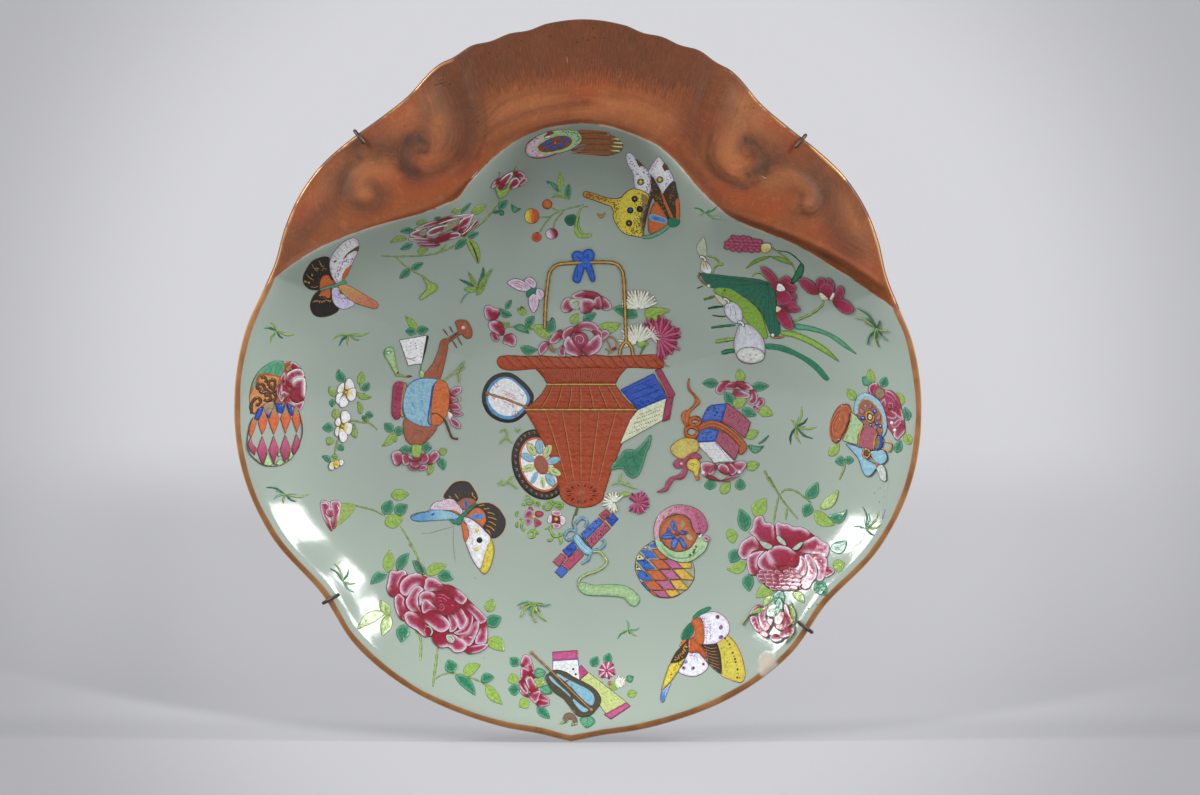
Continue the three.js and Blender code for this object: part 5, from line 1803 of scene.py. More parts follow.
# The lemon line on top is a painted highlight.
for path in (handle, ear):
    stroke(path, "umber", 3.4, 0, 0.09)
    stroke(path, "gold", 2.3, 0, 0.11)
    stroke(path, "lemon", 0.7, 0, 0.125)
for outline in ("695,110 715,80 760,82 780,115 765,150 720,152",
                "770,105 785,70 825,66 848,100 835,140 800,150",
                "735,165 778,185 746,287 710,282 703,250", "790,182 825,168 852,265 828,282 808,240",
                "755,130 800,120 828,155 815,190 770,190 750,165"):
    fill(outline, rimmed("cobalt", tone(52, 98, 186)), "navy")
strokes("navy", 0.8, "730,110 750,130", "805,95 800,125", "735,200 730,260", "815,200 830,250",
        "770,150 800,165")

# %% [markdown]
# The basket's belly carries a coral roundel with spokes. Rows that repeat, such as the spokes, are set
# out by a loop, with the numbers measured in the picture.

# %% The basket itself
on(480, 340, 7.467)
painting.lift += 0.1
fill("405,205 440,240 475,280 500,325 1012,325 1035,280 1065,240 1100,205", "coral", "dark_coral",
     corners=True)
fill("500,338 1015,338 1060,410 1110,465 1170,515 335,515 400,465 455,410", "coral", "dark_coral",
     corners=True)
fill("335,525 1168,525 1090,700 985,960 930,1140 600,1140 545,930 440,700", "coral", "dark_coral",
     corners=True)
for k in range(33):
    share = k / 32
    x = 425 + 650 * share
    lean = 90 * (share - 0.5)
    stroke([(x, 212), (x - lean * 0.8, 262), (x - lean * 1.7, 318)], "dark_coral", 0.45)
for k in range(26):
    y = 540 + k * 23
    t = (y - 525) / 615
    left, right = 345 + 255 * t ** 0.95, 1160 - 225 * t ** 0.9
    stroke([(left, y), ((left + right) / 2, y + 2), (right, y)], "brick" if k % 2 else "dark_coral", 0.4)
for y in (360, 385, 410, 435, 460, 485):
    t = (y - 338) / 177
    stroke([(500 - 160 * t ** 1.2, y), (1012 + 150 * t ** 1.2, y)], "dark_coral", 0.35)
for top, bottom in zip((545, 615, 685, 750, 815, 885, 955), (460, 568, 664, 750, 850, 950, 1052)):
    stroke([(top - 8, 345), ((top + bottom) / 2 - 3, 430), (bottom - 9, 508)], "dark_coral", 1.1)
    stroke([(top, 345), ((top + bottom) / 2 + 5, 430), (bottom, 508)], "gold", 0.9)
for top, bottom in zip((490, 615, 750, 890, 1020), (650, 705, 755, 825, 888)):
    stroke([(top - 10, 530), (top * 0.5 + bottom * 0.5 - 9, 780), (bottom - 8, 1060)], "dark_coral", 1.3)
    stroke([(top, 530), (top * 0.5 + bottom * 0.5, 780), (bottom, 1060)], "gold", 1.0)
for y, left, right in ((332, 500, 1013), (520, 333, 1168)):
    stroke([(left, y), (right, y)], "umber", 3.0, 0, 0.08, smooth=False)
    stroke([(left, y), (right, y)], tone(196, 160, 92), 1.8, 0, 0.1, smooth=False)
fill("128,160 150,124 230,116 330,120 460,118 600,128 720,122 850,110 950,120 1040,118 1180,114 1320,112 "
     "1368,150 1362,205 1300,213 1150,206 1000,212 860,205 700,212 520,212 400,215 270,226 190,222 "
     "145,200", "coral", "dark_coral")
for k in range(15):
    x = 215 + 78 * k
    stroke([(x - 45, 122), (x - 15, 135), (x + 25, 185), (x + 62, 208)], "dark_coral", 1.3)
    for step in (16, 32, 48, 62):
        stroke([(x - 45 + step, 128), (x - 12 + step, 142), (x + 22 + step, 185), (x + 50 + step, 203)],
               "brick" if step % 32 else tone(196, 104, 60), 0.5)
fill(ring_of((760, 1147), (165, 104), 3), "coral", "dark_coral")
stroke(ring_of((760, 1147), (150, 92), 3), "brick", 0.9, 0)
for k in range(12):
    turn = 2 * math.pi * k / 12
    inner = (760 + 52 * math.cos(turn), 1145 + 34 * math.sin(turn))
    outer = (760 + 140 * math.cos(turn), 1147 + 86 * math.sin(turn))
    stroke([inner, outer], "dark_coral", 1.0, smooth=False)
    half = turn + math.pi / 12
    stroke([(760 + 80 * math.cos(half), 1145 + 52 * math.sin(half)),
            (760 + 116 * math.cos(half), 1146 + 72 * math.sin(half))], tone(84, 24, 14), 3.2, 0.7)
fill(ring_of((760, 1140), (34, 25)), "brick", "dark_coral")
stroke("755,1150 740,1220 715,1310", tone(90, 96, 70), 1.5, 0.1)

painting.lay("enamels_basket", enamel)

# %% [markdown]
# ## The left side
#
# A lute in a painted cloth, two drums, a branch of plum blossom and a butterfly lie among flowers. Objects
# like these stand for scholars' pastimes, and the painter spread them loosely over the ground.

# %% Lute
on(370, 305, 8.96)
leaves("lime", ("410,265", "310,95", 70, 0.1), ("205,1150", "105,1265", 65, -0.15),
       ("230,1230", "195,1110", 55), ("620,1330", "690,1295", 70), ("560,1420", "520,1530", 60))
leaves("emerald", ("405,240", "318,235", 75), ("420,235", "525,215", 80), ("205,1130", "130,1060", 85),
       ("220,1120", "305,1140", 85), ("370,1300", "262,1300", 80), ("470,1270", "555,1280", 95),
       ("615,1375", "660,1480", 75, -0.1))
fill("265,315 390,295 508,272 485,400 463,528 400,530 345,547 305,430", "white", "ink", corners=True)
fill("508,272 524,280 500,400 480,470 463,528", "black", "ink", corners=True)
stroke("463,525 450,600", "moss", 0.9)
glyphs([("320,360", "325,420", 2), ("360,325", "370,440", 4), ("405,330", "420,400", 3),
        ("465,325", "460,480", 5)],
       "navy", 21, 0.8, 6)
strokes("brick", 0.7, "325,470 370,480 420,465", "335,480 400,500")
fill("130,410 160,380 205,385 220,440 245,580 268,625 250,640 230,625 160,500 128,450",
     rimmed("stem", "mint"), "moss")
fill(ring_of((168, 425), (42, 32), -20), "jade", "dark_leaf")
drops("165,430", "white", 1.2)
strokes("stem", 2.2, "245,610 290,635 350,640")
strokes("umber", 2.0, "315,640 375,638", "240,620 258,600")
fill("445,600 470,585 490,640 455,648", "mint", "moss")
strokes("umber", 1.1, "655,215 700,275", "712,190 745,250", "740,320 780,385", "785,290 825,360")
fill("765,150 800,135 860,140 895,180 915,240 905,290 865,300 830,270 800,250 780,200", "brick", "umber")
stroke("800,165 850,170 875,215 870,260 850,275", "tan", 1.2)
drops("838,203", "blush", 2.0, "umber")
fill("640,320 700,295 800,235 815,260 705,340 690,420 615,680 480,650 560,530 610,420", "brick", "umber")
stroke("670,310 660,430 580,650", "umber", 0.6)
stroke("705,315 790,250", "umber", 1.8)
fill("300,1060 330,1010 420,1060 590,1080 570,1150 480,1240 420,1252 350,1240 310,1170", "brick", "umber")
strokes("umber", 0.8, "380,1130 430,1125 480,1140", "390,1145 440,1140", "560,1090 510,1190 470,1230")
fill("590,680 640,672 690,710 712,800 705,920 680,1000 630,1070 590,1078 550,1060 555,850", "orange", "umber")
stroke("555,975 600,972 650,1010 680,1050 710,1130 740,1190 790,1200", "umber", 2.4, 0.1)
stroke("555,975 600,972 650,1010 680,1050 710,1130 740,1190 790,1200", "tan", 1.4, 0.1)
fill("300,705 330,720 300,830 290,960 310,1000 275,990 265,850", "tan", "umber")
fill("310,800 345,720 420,670 500,658 605,672 560,740 545,850 520,1000 520,1060 555,1085 470,1085 "
     "390,1055 320,1000 298,900", "sky", "cobalt", width=1.0)
strokes("cobalt", 1.3, "598,678 560,740 545,850 522,1000 525,1055 552,1082")
glyphs([("375,740", "350,800", 4), ("380,760", "400,800", 3), ("470,690", "480,750", 5),
        ("460,820", "470,890", 5),
        ("370,870", "400,920", 5), ("370,940", "375,985", 4), ("480,940", "500,1000", 5),
        ("450,1030", "470,1070", 4)],
       "cobalt", 22, 0.9, 9)
fill("210,730 240,690 290,690 300,720 280,850 270,990 250,1025 215,1015 195,960 200,840", "rose", "umber")
drops("240,760 232,842 225,910 223,968 268,705", "deep", 0.9)
petals((690, 900), "718,770 760,735 818,735 815,780 770,812 730,820",
       "715,820 760,830 790,860 750,870 720,880", "715,905 740,875 790,885 815,930 770,945 720,935",
       "715,950 770,950 838,975 790,1000 730,975", "700,960 750,1010 800,1050 808,1105 760,1095 720,1050",
       deep="deep", reach=4)
fill("700,955 740,985 720,1030 700,1000", "white", None)
petals((410, 1350), "195,1340 235,1308 285,1320 295,1380 260,1440 215,1420",
       "285,1350 330,1335 360,1390 345,1430 300,1425",
       "535,1340 590,1305 625,1350 580,1410 520,1430 520,1380",
       "470,1340 510,1335 530,1380 490,1425 460,1410",
       "340,1350 400,1370 465,1330 470,1375 430,1400 380,1395",
       "360,1415 400,1400 440,1415 430,1450 380,1455", "430,1450 480,1430 515,1450 490,1480 440,1480",
       "340,1440 390,1450 420,1480 370,1478")
fill("375,1265 410,1250 460,1265 455,1330 430,1365 385,1350", "lime", "moss")
fill("790,830 820,835 800,865", "glaze", "tan")
strokes("stem", 1.7, "660,680 740,620 800,570 850,500", "700,645 780,600 850,560", "805,620 800,700",
        "790,600 800,650")
strokes("moss", 0.5, "815,520 835,550", "800,545 830,570", "790,570 820,590")

# %% [markdown]
# Two drums are drawn near the rim, with panels in two colours round their sides. Each panel is shaded
# from top to bottom, so its fill asks for the height of each point within the panel.

# %% Drums at the rim
on(240, 350, 12.54)
fill("120,600 135,470 190,330 300,210 450,135 560,150 640,148 740,200 810,320 830,480 790,660 740,760 "
     "600,690 300,690 180,810 130,720", "brick", "umber")
fill("120,600 150,500 210,420 250,310 330,300 500,330 490,420 450,560 480,600 400,660 250,720 180,800 "
     "135,730", tone(190, 128, 76), "umber")
fill("160,515 160,430 215,300 310,205 440,135 540,150 565,200 540,290 510,330 440,325 370,300 270,300 "
     "220,340 200,420 200,510", rimmed("jade", tone(80, 146, 112)), "dark_leaf")
strokes("dark_leaf", 0.6, "480,170 430,300", "420,180 370,290", "520,200 470,310", "350,210 310,290")
for curl in ("150,800 140,700 180,620 230,600 260,640 230,690 200,680",
             "215,500 230,430 290,440 310,500 260,530 250,490 270,470",
             "350,450 370,390 430,380 440,440 400,490 370,460 400,450",
             "300,620 340,640 390,610 370,570 320,560 330,590",
             "260,350 300,340 330,370 320,410", "270,540 330,530 400,540 450,500", "420,640 450,590 430,540",
             "330,480 350,520 400,540"):
    stroke(curl, "umber", 3.6, 0.1, 0.07)
    stroke(curl, "mint", 2.6, 0.1)
petals((600, 480), "510,350 555,280 575,330 560,410 520,400", "640,150 700,165 760,225 700,235 630,230",
       "580,230 640,200 640,260 590,250",
       "590,300 690,240 780,250 808,330 720,350 660,390 640,470 600,450 580,380",
       "470,470 520,420 500,560 490,600 465,560",
       "520,430 580,430 600,490 650,500 600,560 550,540 515,560",
       "500,570 560,560 545,620 515,650 495,620",
       "655,400 720,350 810,350 825,450 810,600 740,655 660,640 630,580 650,500",
       "550,640 620,570 640,630 700,670 800,640 795,690 745,760 660,690", pale="white", reach=5)
fill("570,240 620,190 640,180 630,240 600,270", "tan", "umber")
fill("300,690 420,655 410,740 350,830 310,760", tone(150, 128, 104), "umber")
strokes("umber", 0.6, "310,700 400,740", "320,750 400,700", "330,780 370,720")
cells = [("122,960 165,850 205,850 205,930 160,1060 140,1100 115,1050", "orange"),
         ("228,900 300,720 345,880 320,980 280,1062 250,980", "orange"),
         ("360,880 430,690 495,860 470,950 425,1060 390,980", "orange"),
         ("510,860 570,690 640,850 610,940 570,1050 540,960", "orange"),
         ("655,860 690,700 745,780 768,860 745,940 712,1035 685,950", "orange"),
         ("100,1190 135,1095 160,1180 208,1230 185,1320 130,1260", "rose"),
         ("215,1260 280,1080 345,1260 320,1340 285,1440 250,1360", "rose"),
         ("362,1260 425,1075 490,1250 450,1340 430,1440 395,1350", "rose"),
         ("505,1250 570,1062 635,1230 610,1330 565,1410 530,1330", "rose"),
         ("650,1240 710,1050 755,1160 745,1220 700,1290 670,1310", "rose")]
for outline, kind in cells:
    ring = painting.path(outline)
    y = ring[:, 1]

    def shade(points, depth, low=y.min(), high=y.max(), kind=kind):
        share = ease((points[:, 1] - low) / (high - low))
        if kind == "orange":
            return blend_colours(tone(156, 120, 92), tone(196, 92, 48), ease(share * 2.2))
        return blend_colours("pink", "rose", share)

    fill(outline, shade, "umber", corners=True, width=0.5)
for outline in ("185,860 230,740 300,705 270,800 225,880", "340,800 390,790 355,860",
                "445,660 470,660 500,690 560,680 545,760 520,790 480,780",
                "590,680 640,700 665,790 650,825 620,780"):
    fill(outline, "cobalt", "navy", corners=True)
for outline in ("300,1435 350,1290 405,1430 370,1450", "450,1430 500,1370 550,1400 520,1450",
                "485,1280 515,1310 495,1340 480,1320", "610,1380 640,1270 670,1330 640,1370",
                "200,1370 240,1390 250,1415"):
    fill(outline, "mint", "moss", corners=True)
strokes("umber", 0.7,
        "165,850 120,960 95,1180 130,1300 240,1410 330,1450 470,1452 600,1400 700,1290 760,1160",
        "745,780 785,950 780,1080 755,1160")

# %% [markdown]
# Plum blossom opens on bare wood. The branch is drawn as twigs with dark edges, and the blossoms and buds
# lie over it.

# %% Plum branch
on(315, 360, 13.63)
twig("410,850 520,828 640,850 740,860 850,950", "520,860 560,930", "320,1050 290,1160 265,1290",
     "570,440 640,480 680,450", "600,320 640,420", width=1.5)
leaves("emerald", ("400,300", "318,125", 125, -0.1), ("660,420", "740,310", 105),
       ("240,535", "230,645", 85), ("250,925", "100,930", 130, 0.05), ("690,740", "795,760", 100),
       ("640,800", "700,780", 75), ("320,1160", "390,1230", 95), ("215,1385", "95,1310", 80, 0.08))
leaves("lime", ("600,330", "635,155", 105, 0.08), ("270,500", "190,360", 85),
       ("560,450", "775,505", 75, 0.12), ("620,740", "580,560", 70, 0.1),
       ("300,805", "280,655", 105, -0.05), ("540,930", "560,1065", 90, 0.1),
       ("210,1050", "180,1160", 110, -0.1), ("310,1320", "225,1310", 60), ("700,850", "720,770", 50))
white_yellow = lambda heart: (lambda points, depth, c=painting.path([heart])[0]:
                              blend_colours("lemon", "white", ease(np.hypot(*(points - c).T) / 5.5 - 0.35)))
for outline in ("410,390 420,300 465,250 515,290 540,385 480,395 430,410",
                "310,440 320,360 385,310 400,340 395,400 370,445",
                "285,560 295,480 350,445 385,450 350,520 325,600",
                "330,590 345,530 395,480 430,520 455,590 410,640 350,640",
                "430,450 470,395 540,385 560,440 545,530 490,560 440,520"):
    fill(outline, white_yellow((425, 440)), "umber")
for outline in ("355,790 365,710 410,690 460,720 488,800 420,860 375,860",
                "275,870 290,810 330,780 355,860 320,910",
                "270,980 290,920 325,910 330,960 310,1045 280,1020",
                "330,1040 330,960 360,930 430,1000 440,1070 395,1125 345,1100",
                "385,940 400,880 430,850 500,870 505,960 465,1020 430,1000"):
    fill(outline, white_yellow((375, 910)), "umber")
for outline in ("190,1450 215,1395 260,1380 255,1440 260,1490 210,1495",
                "255,1410 290,1360 330,1390 325,1450 280,1475",
                "330,1370 360,1355 395,1395 365,1440 335,1430"):
    fill(outline, white_yellow((280, 1410)), "umber")
drops("425,440 375,905 290,1415", tone(222, 170, 40), 1.5, "umber")
fill("415,400 440,405 435,440", "black", None)

painting.lay("enamels_left", enamel)

# %% [markdown]
# ## Butterflies and the peony spray under the lip
#
# Wings were filled in bands, then marked with rows of short strokes in black, gilt and violet over the
# melted colour.

# %% Butterfly at the upper left
on(295, 230, 15.68)
fill("125,760 160,650 260,500 400,430 500,420 545,460 540,600 560,700 640,830 500,890 380,940 240,930 "
     "150,860", "black", "umber")
fill("400,740 460,690 530,690 580,760 635,830 520,885 385,930 370,850", rimmed("brick", "orange", 3), "umber")
strokes("gold", 0.8, "265,540 300,600 345,650", "300,600 380,600", "385,490 430,580 460,560",
        "180,690 230,750 300,790", "420,640 460,600 500,620", "150,790 200,830", "345,600 360,640",
        "250,890 320,900 360,880")
fill("250,700 280,690 290,715 260,735", "gold", None)
fill("200,820 230,800 240,840 215,850", "gold", None)
fill("240,1200 280,1050 380,950 570,915 600,1000 590,1080 620,1160 690,1240 600,1320 430,1365 300,1330",
     "black", "umber")
fill("400,955 560,920 570,1060 500,1090 400,1080 345,1060", rimmed("brick", "orange", 3), "umber")
ticks("290,1120 350,1110 400,1130 480,1110 560,1110", "gold", 12, 0.9, 22, 5, 8)
on(300, 230, 16.5)
strokes("gold", 1.1, "200,570 230,630 290,690", "320,500 340,580", "355,605 405,590",
        "100,730 160,790 235,825", "270,652 315,640", "345,1160 330,1270")
strokes("tan", 0.8, "330,860 285,890", "335,790 300,830", "355,740 330,700", "395,710 375,675",
        "435,690 425,655", "275,1080 250,1130", "400,1140 400,1185", "450,1150 462,1195",
        "500,1130 512,1185", "315,1120 300,1180")
drops("200,745 148,865 262,1280 330,1328 530,1266 432,1322 316,1180 84,852", "gold", 1.1)
on(295, 230, 15.68)
strokes("gold", 1.6, "320,1200 345,1235", "385,1235 400,1270", "470,1255 510,1240", "570,1210 600,1190",
        "280,1150 300,1180")
fill("540,560 570,430 650,300 780,180 900,130 960,145 1002,220 990,330 960,400 900,520 820,700 760,780 "
     "660,835 590,760", rimmed(tone(196, 186, 196), "white", 4), "umber")
fill("710,760 720,700 780,600 880,540 840,660 770,770 720,790", "orange", "umber")
fill("740,460 800,370 900,290 990,250 985,330 940,340 860,380 800,450 750,480", "umber", "ink")
ticks("650,790 660,740 690,660 720,590 780,510 900,460", "violet", 30, 1.0, 9, 6, 26)
ticks("640,760 700,560 820,470 900,440", "pink", 16, 0.9, 8, 7, 26)
ticks("720,500 830,420 940,360", "white", 10, 1.2, 10, 8, 18)
strokes("umber", 0.4, "650,340 700,420", "700,270 750,340", "780,210 820,290", "570,480 640,520",
        "550,600 620,620", "600,400 680,460", "850,170 880,240")
fill("895,180 930,180 920,200", "umber", None)
fill("600,500 650,470 655,490 620,510", "navy", None)
fill("570,990 585,930 650,900 720,950 800,1050 930,1150 850,1220 760,1240 680,1215 600,1130", "lilac",
     "umber")
fill("640,930 700,940 760,1010 710,1030 660,980", "brick", "umber")
ticks("640,1040 700,1080 780,1110 860,1130", "violet", 22, 0.9, 9, 9, 45)
fill("680,890 750,855 850,880 980,950 1150,1050 1280,1130 1305,1190 1260,1235 1160,1215 960,1150 "
     "820,1060 730,970", between(tone(196, 150, 90), tone(186, 112, 84), "740,900", "1200,1180"), "umber")
fill("390,930 500,890 640,850 760,790 790,800 770,850 640,880 480,930 400,950", "jade", "dark_leaf")
strokes("jade", 1.6, "750,770 790,860", "770,770 820,840")

# %% [markdown]
# The second butterfly hovers under the basket. Its wings are filled one over the other, and short strokes
# strewn along paths stand for the scales that the painter dabbed on.

# %% Butterfly under the basket
on(405, 475, 14.25)
strokes(tone(140, 148, 134), 0.8, "240,830 360,825 480,790 700,730", "700,750 690,950 715,1250")
fill("550,320 600,210 700,110 810,85 920,110 1000,220 1040,330 1000,400 920,480 800,420 680,360", "black",
     "gold")
fill("750,390 820,320 920,310 1010,350 1000,400 930,480 860,500 790,470", "brick", "umber")
strokes("gold", 1.3, "625,300 660,325", "712,268 762,342", "958,250 968,310", "985,300 1005,345")
strokes("umber", 1.0, "690,290 715,340", "755,235 800,320", "800,225 830,305", "850,215 862,300",
        "900,225 905,300", "935,240 940,300")
fill("825,400 840,350 870,335 905,370 915,440 895,485 855,485 832,450", rimmed("azure", "cobalt", 2.5),
     "navy")
fill("1000,430 1100,400 1220,405 1340,480 1420,600 1435,700 1390,820 1290,900 1200,890 1150,830 1100,740 "
     "1000,650 880,600 900,500", "black", "gold")
fill("870,590 930,500 1020,450 1120,490 1170,600 1160,690 1100,740 1010,670 920,620",
     rimmed("brick", "orange", 3), "umber")
fill("915,590 960,550 1050,530 1130,545 1140,600 1080,650 1000,645 940,620",
     rimmed("azure", tone(70, 126, 190)), "navy")
stroke("1000,590 1060,580", "navy", 1.4)
strokes("gold", 1.2, "1180,600 1240,610 1310,640", "1185,660 1240,680 1295,722",
        "1160,720 1220,745 1275,795", "1150,775 1190,800 1225,850", "1120,485 1205,475",
        "1175,535 1240,545 1275,570", "1050,440 1130,425")
strokes("umber", 0.9, "1190,570 1300,600", "1200,630 1320,690", "1190,700 1300,770", "1140,510 1250,515",
        "1160,760 1250,830")
fill("365,490 400,410 460,380 530,370 600,340 680,345 740,400 800,480 820,530 790,560 700,510 560,500",
     "blush", "umber")
ticks("420,440 520,430 620,400 700,410 760,490", "violet", 30, 0.7, 8, 12, 40)
ticks("420,420 560,400 680,430", "white", 12, 1.2, 8, 13, 35)
fill("640,505 700,495 760,530 780,570 700,530", "orange", "umber")
fill("80,600 140,550 260,530 400,500 560,505 700,540 765,590 720,630 560,640 380,650 220,660 120,645",
     between("azure", "sky", "250,600", "560,570"), "umber")
ticks("100,590 200,545 340,520", "umber", 12, 1.2, 10, 14, 8)
fill("350,560 420,520 440,560 390,600", "cobalt", None)
fill("800,660 840,680 890,740 905,860 870,950 845,920 825,800", "orange", "umber")
fill("830,610 900,610 1020,680 1130,790 1220,900 1180,1030 1130,1180 1090,1300 1050,1330 960,1200 "
     "880,1000 870,960 910,860 900,760 850,660", rimmed(tone(196, 190, 206), "white", 3), "umber")
ticks("860,640 930,720 960,860 950,960 960,1060", "violet", 42, 0.8, 8, 15, 36)
fill("1090,1300 1130,1150 1160,1020 1230,925 1268,1060 1250,1200 1200,1340 1140,1410 1070,1360",
     rimmed(tone(178, 150, 50), "lemon"), "umber")
ticks("1190,1000 1190,1100 1170,1200 1140,1330", "ink", 14, 1.0, 8, 16, 26)
drops("1025,787 1018,1058", tone(226, 206, 60), 2.0, "umber")
drops("1062,928", "black", 3.0, "umber")
fill("735,690 740,630 850,530 960,430 1015,405 1010,430 900,530 830,620 800,690 760,710", "emerald",
     "dark_leaf")
fill("630,625 700,635 760,690 700,700 660,670", "emerald", None)
stroke("740,610 700,630 740,650", "azure", 1.3)

# %% [markdown]
# A small spray of peonies grows down from the lip. It is drawn like the large flowers, with fewer petals
# and thinner lines, because a heavy outline would close up at this size.

# %% Peony spray under the lip, at the left
on(375, 160, 10.116)
twig("60,970 300,975 560,955 720,910 850,830 1000,700 1120,600 1280,390",
     "220,990 330,1090 500,1190 560,1290 490,1380", "640,930 700,880 720,850", width=1.5)
leaves("emerald", ("385,705", "250,725", 60), ("380,850", "255,905", 62), ("600,590", "665,575", 30, 0.1),
       ("870,540", "975,430", 42), ("940,780", "1050,735", 62), ("930,810", "810,910", 75, 0.08),
       ("370,1105", "490,1040", 65), ("350,1110", "250,1200", 72), ("1250,490", "1340,410", 70))
leaves("jade", ("1380,450", "1480,490", 60, 0.35), ("1190,535", "1290,510", 35),
       ("1270,560", "1300,510", 50), ("1030,1290", "850,1205", 30), ("1040,1270", "1095,1080", 40, 0.1))
leaves("lime", ("320,800", "155,840", 55, 0.12), ("980,540", "1130,460", 75),
       ("930,800", "1045,1050", 95, -0.1), ("420,650", "530,610", 45), ("430,930", "540,900", 60),
       ("870,500", "770,530", 50))
leaves("lime", ("1030,1300", "945,1130", 38), ("1040,1300", "1190,1100", 40),
       ("1030,1310", "900,1310", 60), ("1045,1330", "1135,1210", 40), ("1030,1370", "1110,1250", 50))
strokes("jade", 1.0, "960,1330 900,1390 870,1450")
fill("490,1190 560,1240 625,1270 620,1320 540,1370 470,1415 455,1390 500,1340 530,1290",
     rimmed("stem", "lime"), "moss")
stroke("960,820 1000,900 1030,980 1045,1045", "umber", 1.5)
petals((700, 730), "350,760 400,720 480,700 500,750 520,780 430,790",
       "400,705 500,650 640,610 700,630 560,680 460,700",
       "600,640 720,580 880,555 990,545 970,580 840,590 720,640",
       "880,600 960,560 1000,545 960,640 900,690 780,715",
       "880,760 960,680 1040,600 1045,640 980,700 900,770", "850,700 960,640 930,700 870,740",
       "360,820 350,790 480,790 600,800 580,835 440,830", "430,850 560,850 660,855 600,880 480,885",
       "600,830 620,790 740,745 850,735 860,780 780,800 640,840",
       "520,740 600,680 750,660 720,700 640,750 560,770", pale="white", reach=2.6)
fill("700,660 800,590 860,585 840,650 760,710 690,740 640,760 680,710", tone(146, 140, 118), "umber")
fill("440,740 500,700 530,710 510,760 470,770", tone(146, 140, 118), "umber")
strokes("white", 1.0, "640,650 760,610 830,590", "540,720 640,680 740,660", "1030,600 960,690 880,760")
petals((1300, 290), "1180,270 1210,220 1265,180 1250,240 1200,285",
       "1220,300 1250,220 1340,140 1400,130 1370,200 1300,280 1250,305",
       "1395,130 1470,120 1520,160 1500,190 1440,180", "1430,260 1500,180 1545,200 1500,250 1440,275",
       "1350,290 1380,200 1440,180 1470,230 1430,280", pale="white", reach=2.4)
fill("1220,270 1270,310 1330,290 1370,190 1370,260 1340,340 1270,390 1240,350", rimmed("stem", "lime"),
     "moss")
strokes("stem", 0.8, "1265,110 1270,160", "1430,70 1420,110", "1250,250 1225,310")

painting.lay("enamels_wings", enamel)

# %% [markdown]
# ## The top, under the crest
#
# The well's wall is steep here, so what is round on the dish looks flat in the picture. Drawing in the
# picture and laying it on the surface gives each form its true length down the wall.

# %% Roundel and drum
on(515, 120, 13.07)
fill("690,375 760,340 830,150 900,135 1060,140 1180,170 1300,220 1390,290 1412,350 1380,410 1310,445 "
     "1180,468 1020,455 860,430 760,405", tone(128, 84, 52), "umber")
for k in range(13):
    y = 152 + k * 23
    stroke([(850 - 9 * k, y + 6), (1000, y + 2 * k - 8), (1240, y + 10)],
           (tone(168, 92, 54), tone(112, 66, 38), tone(146, 100, 70))[k % 3], 1.5, 0.5)
for y, x0, x1 in ((195, 1150, 1230), (250, 1200, 1360), (300, 1240, 1400), (350, 1240, 1405),
                  (405, 1230, 1370)):
    fill([(x0, y - 16), (x1, y - 10), (x1 + 6, y + 16), (x0 + 60, y + 10)], "pale_lime", "umber",
         corners=True, width=0.5)
strokes("azure", 0.8, "780,370 860,330 940,315", "800,400 900,375")
fill("290,215 370,180 440,150 600,135 790,145 850,185 872,240 850,300 770,360 690,400 520,450 400,490 "
     "290,500 190,480 135,420 150,330 200,270", "mint", "umber")
fill("155,335 205,270 300,225 390,195 430,200 400,250 320,320 290,380 360,425 470,420 680,365 560,430 "
     "400,485 290,495 195,475 140,415", rimmed("pink", "blush"), "umber")
ticks("300,250 240,300 210,370 240,430 320,460", "rose", 22, 0.8, 12, 31, 22)
ticks("640,160 730,180 800,190 830,250 790,320", "emerald", 22, 1.2, 9, 32, 18)
fill("285,360 320,310 400,260 500,215 600,195 700,205 752,255 745,310 680,370 560,410 430,432 330,420",
     tone(136, 76, 40), "umber", width=1.1)
for outline in ("490,240 540,215 575,240 560,270 510,265", "570,235 620,210 640,225 620,265 580,270",
                "630,250 700,220 715,245 660,275", "640,280 720,270 720,290 660,300",
                "560,310 620,300 640,340 600,365 565,345",
                "470,380 500,340 545,335 540,375 500,400", "385,395 420,350 490,330 440,375",
                "340,335 400,300 470,310 420,330 360,345",
                "400,280 460,265 500,280 480,300 420,300"):
    fill(outline, tone(52, 92, 162), "navy", width=0.5)
drops("525,300", "orange", 1.4, "umber")
fill("400,200 440,155 490,150 500,175 440,200 400,225 380,220", "rose", "umber")
fill("385,225 440,205 465,210 450,235 395,240", "white", "umber")

# %% [markdown]
# An insect with a body like a gourd sits in the middle under the lip. Its parts are separate cushions,
# which lets each one catch its own small glint.

# %% Gourd-bodied insect
on(575, 145, 13.07)
fill("665,150 690,108 740,120 860,240 950,330 990,420 1000,500 960,640 800,580 770,480 760,380 690,250",
     rimmed(tone(188, 184, 204), "white", 4), "umber")
fill("770,180 800,185 880,260 920,300 870,290 860,350 895,400 870,385 820,290 790,250", "umber", "ink")
fill("960,340 1080,165 1120,175 1170,240 1240,340 1290,460 1250,520 1150,650 1100,560 1040,450 1000,400",
     rimmed(tone(188, 184, 204), "white", 4), "umber")
fill("1120,270 1170,240 1225,320 1190,360 1190,410 1150,350", "umber", "ink")
ticks("690,150 740,240 790,340 850,420", "violet", 18, 0.9, 9, 41, 20)
ticks("900,330 940,400 970,480 950,560 900,600", "violet", 22, 0.9, 9, 42, 26)
ticks("1180,540 1210,470 1250,400", "violet", 14, 0.9, 9, 43, 26)
ticks("1010,340 1060,260 1090,200", "pink", 8, 0.8, 9, 44, 12)
fill("990,420 1010,420 1120,600 1260,900 1330,970 1200,960 1060,760 1000,720 880,1180 870,1050 900,880 "
     "990,620", tone(66, 56, 44), "umber")
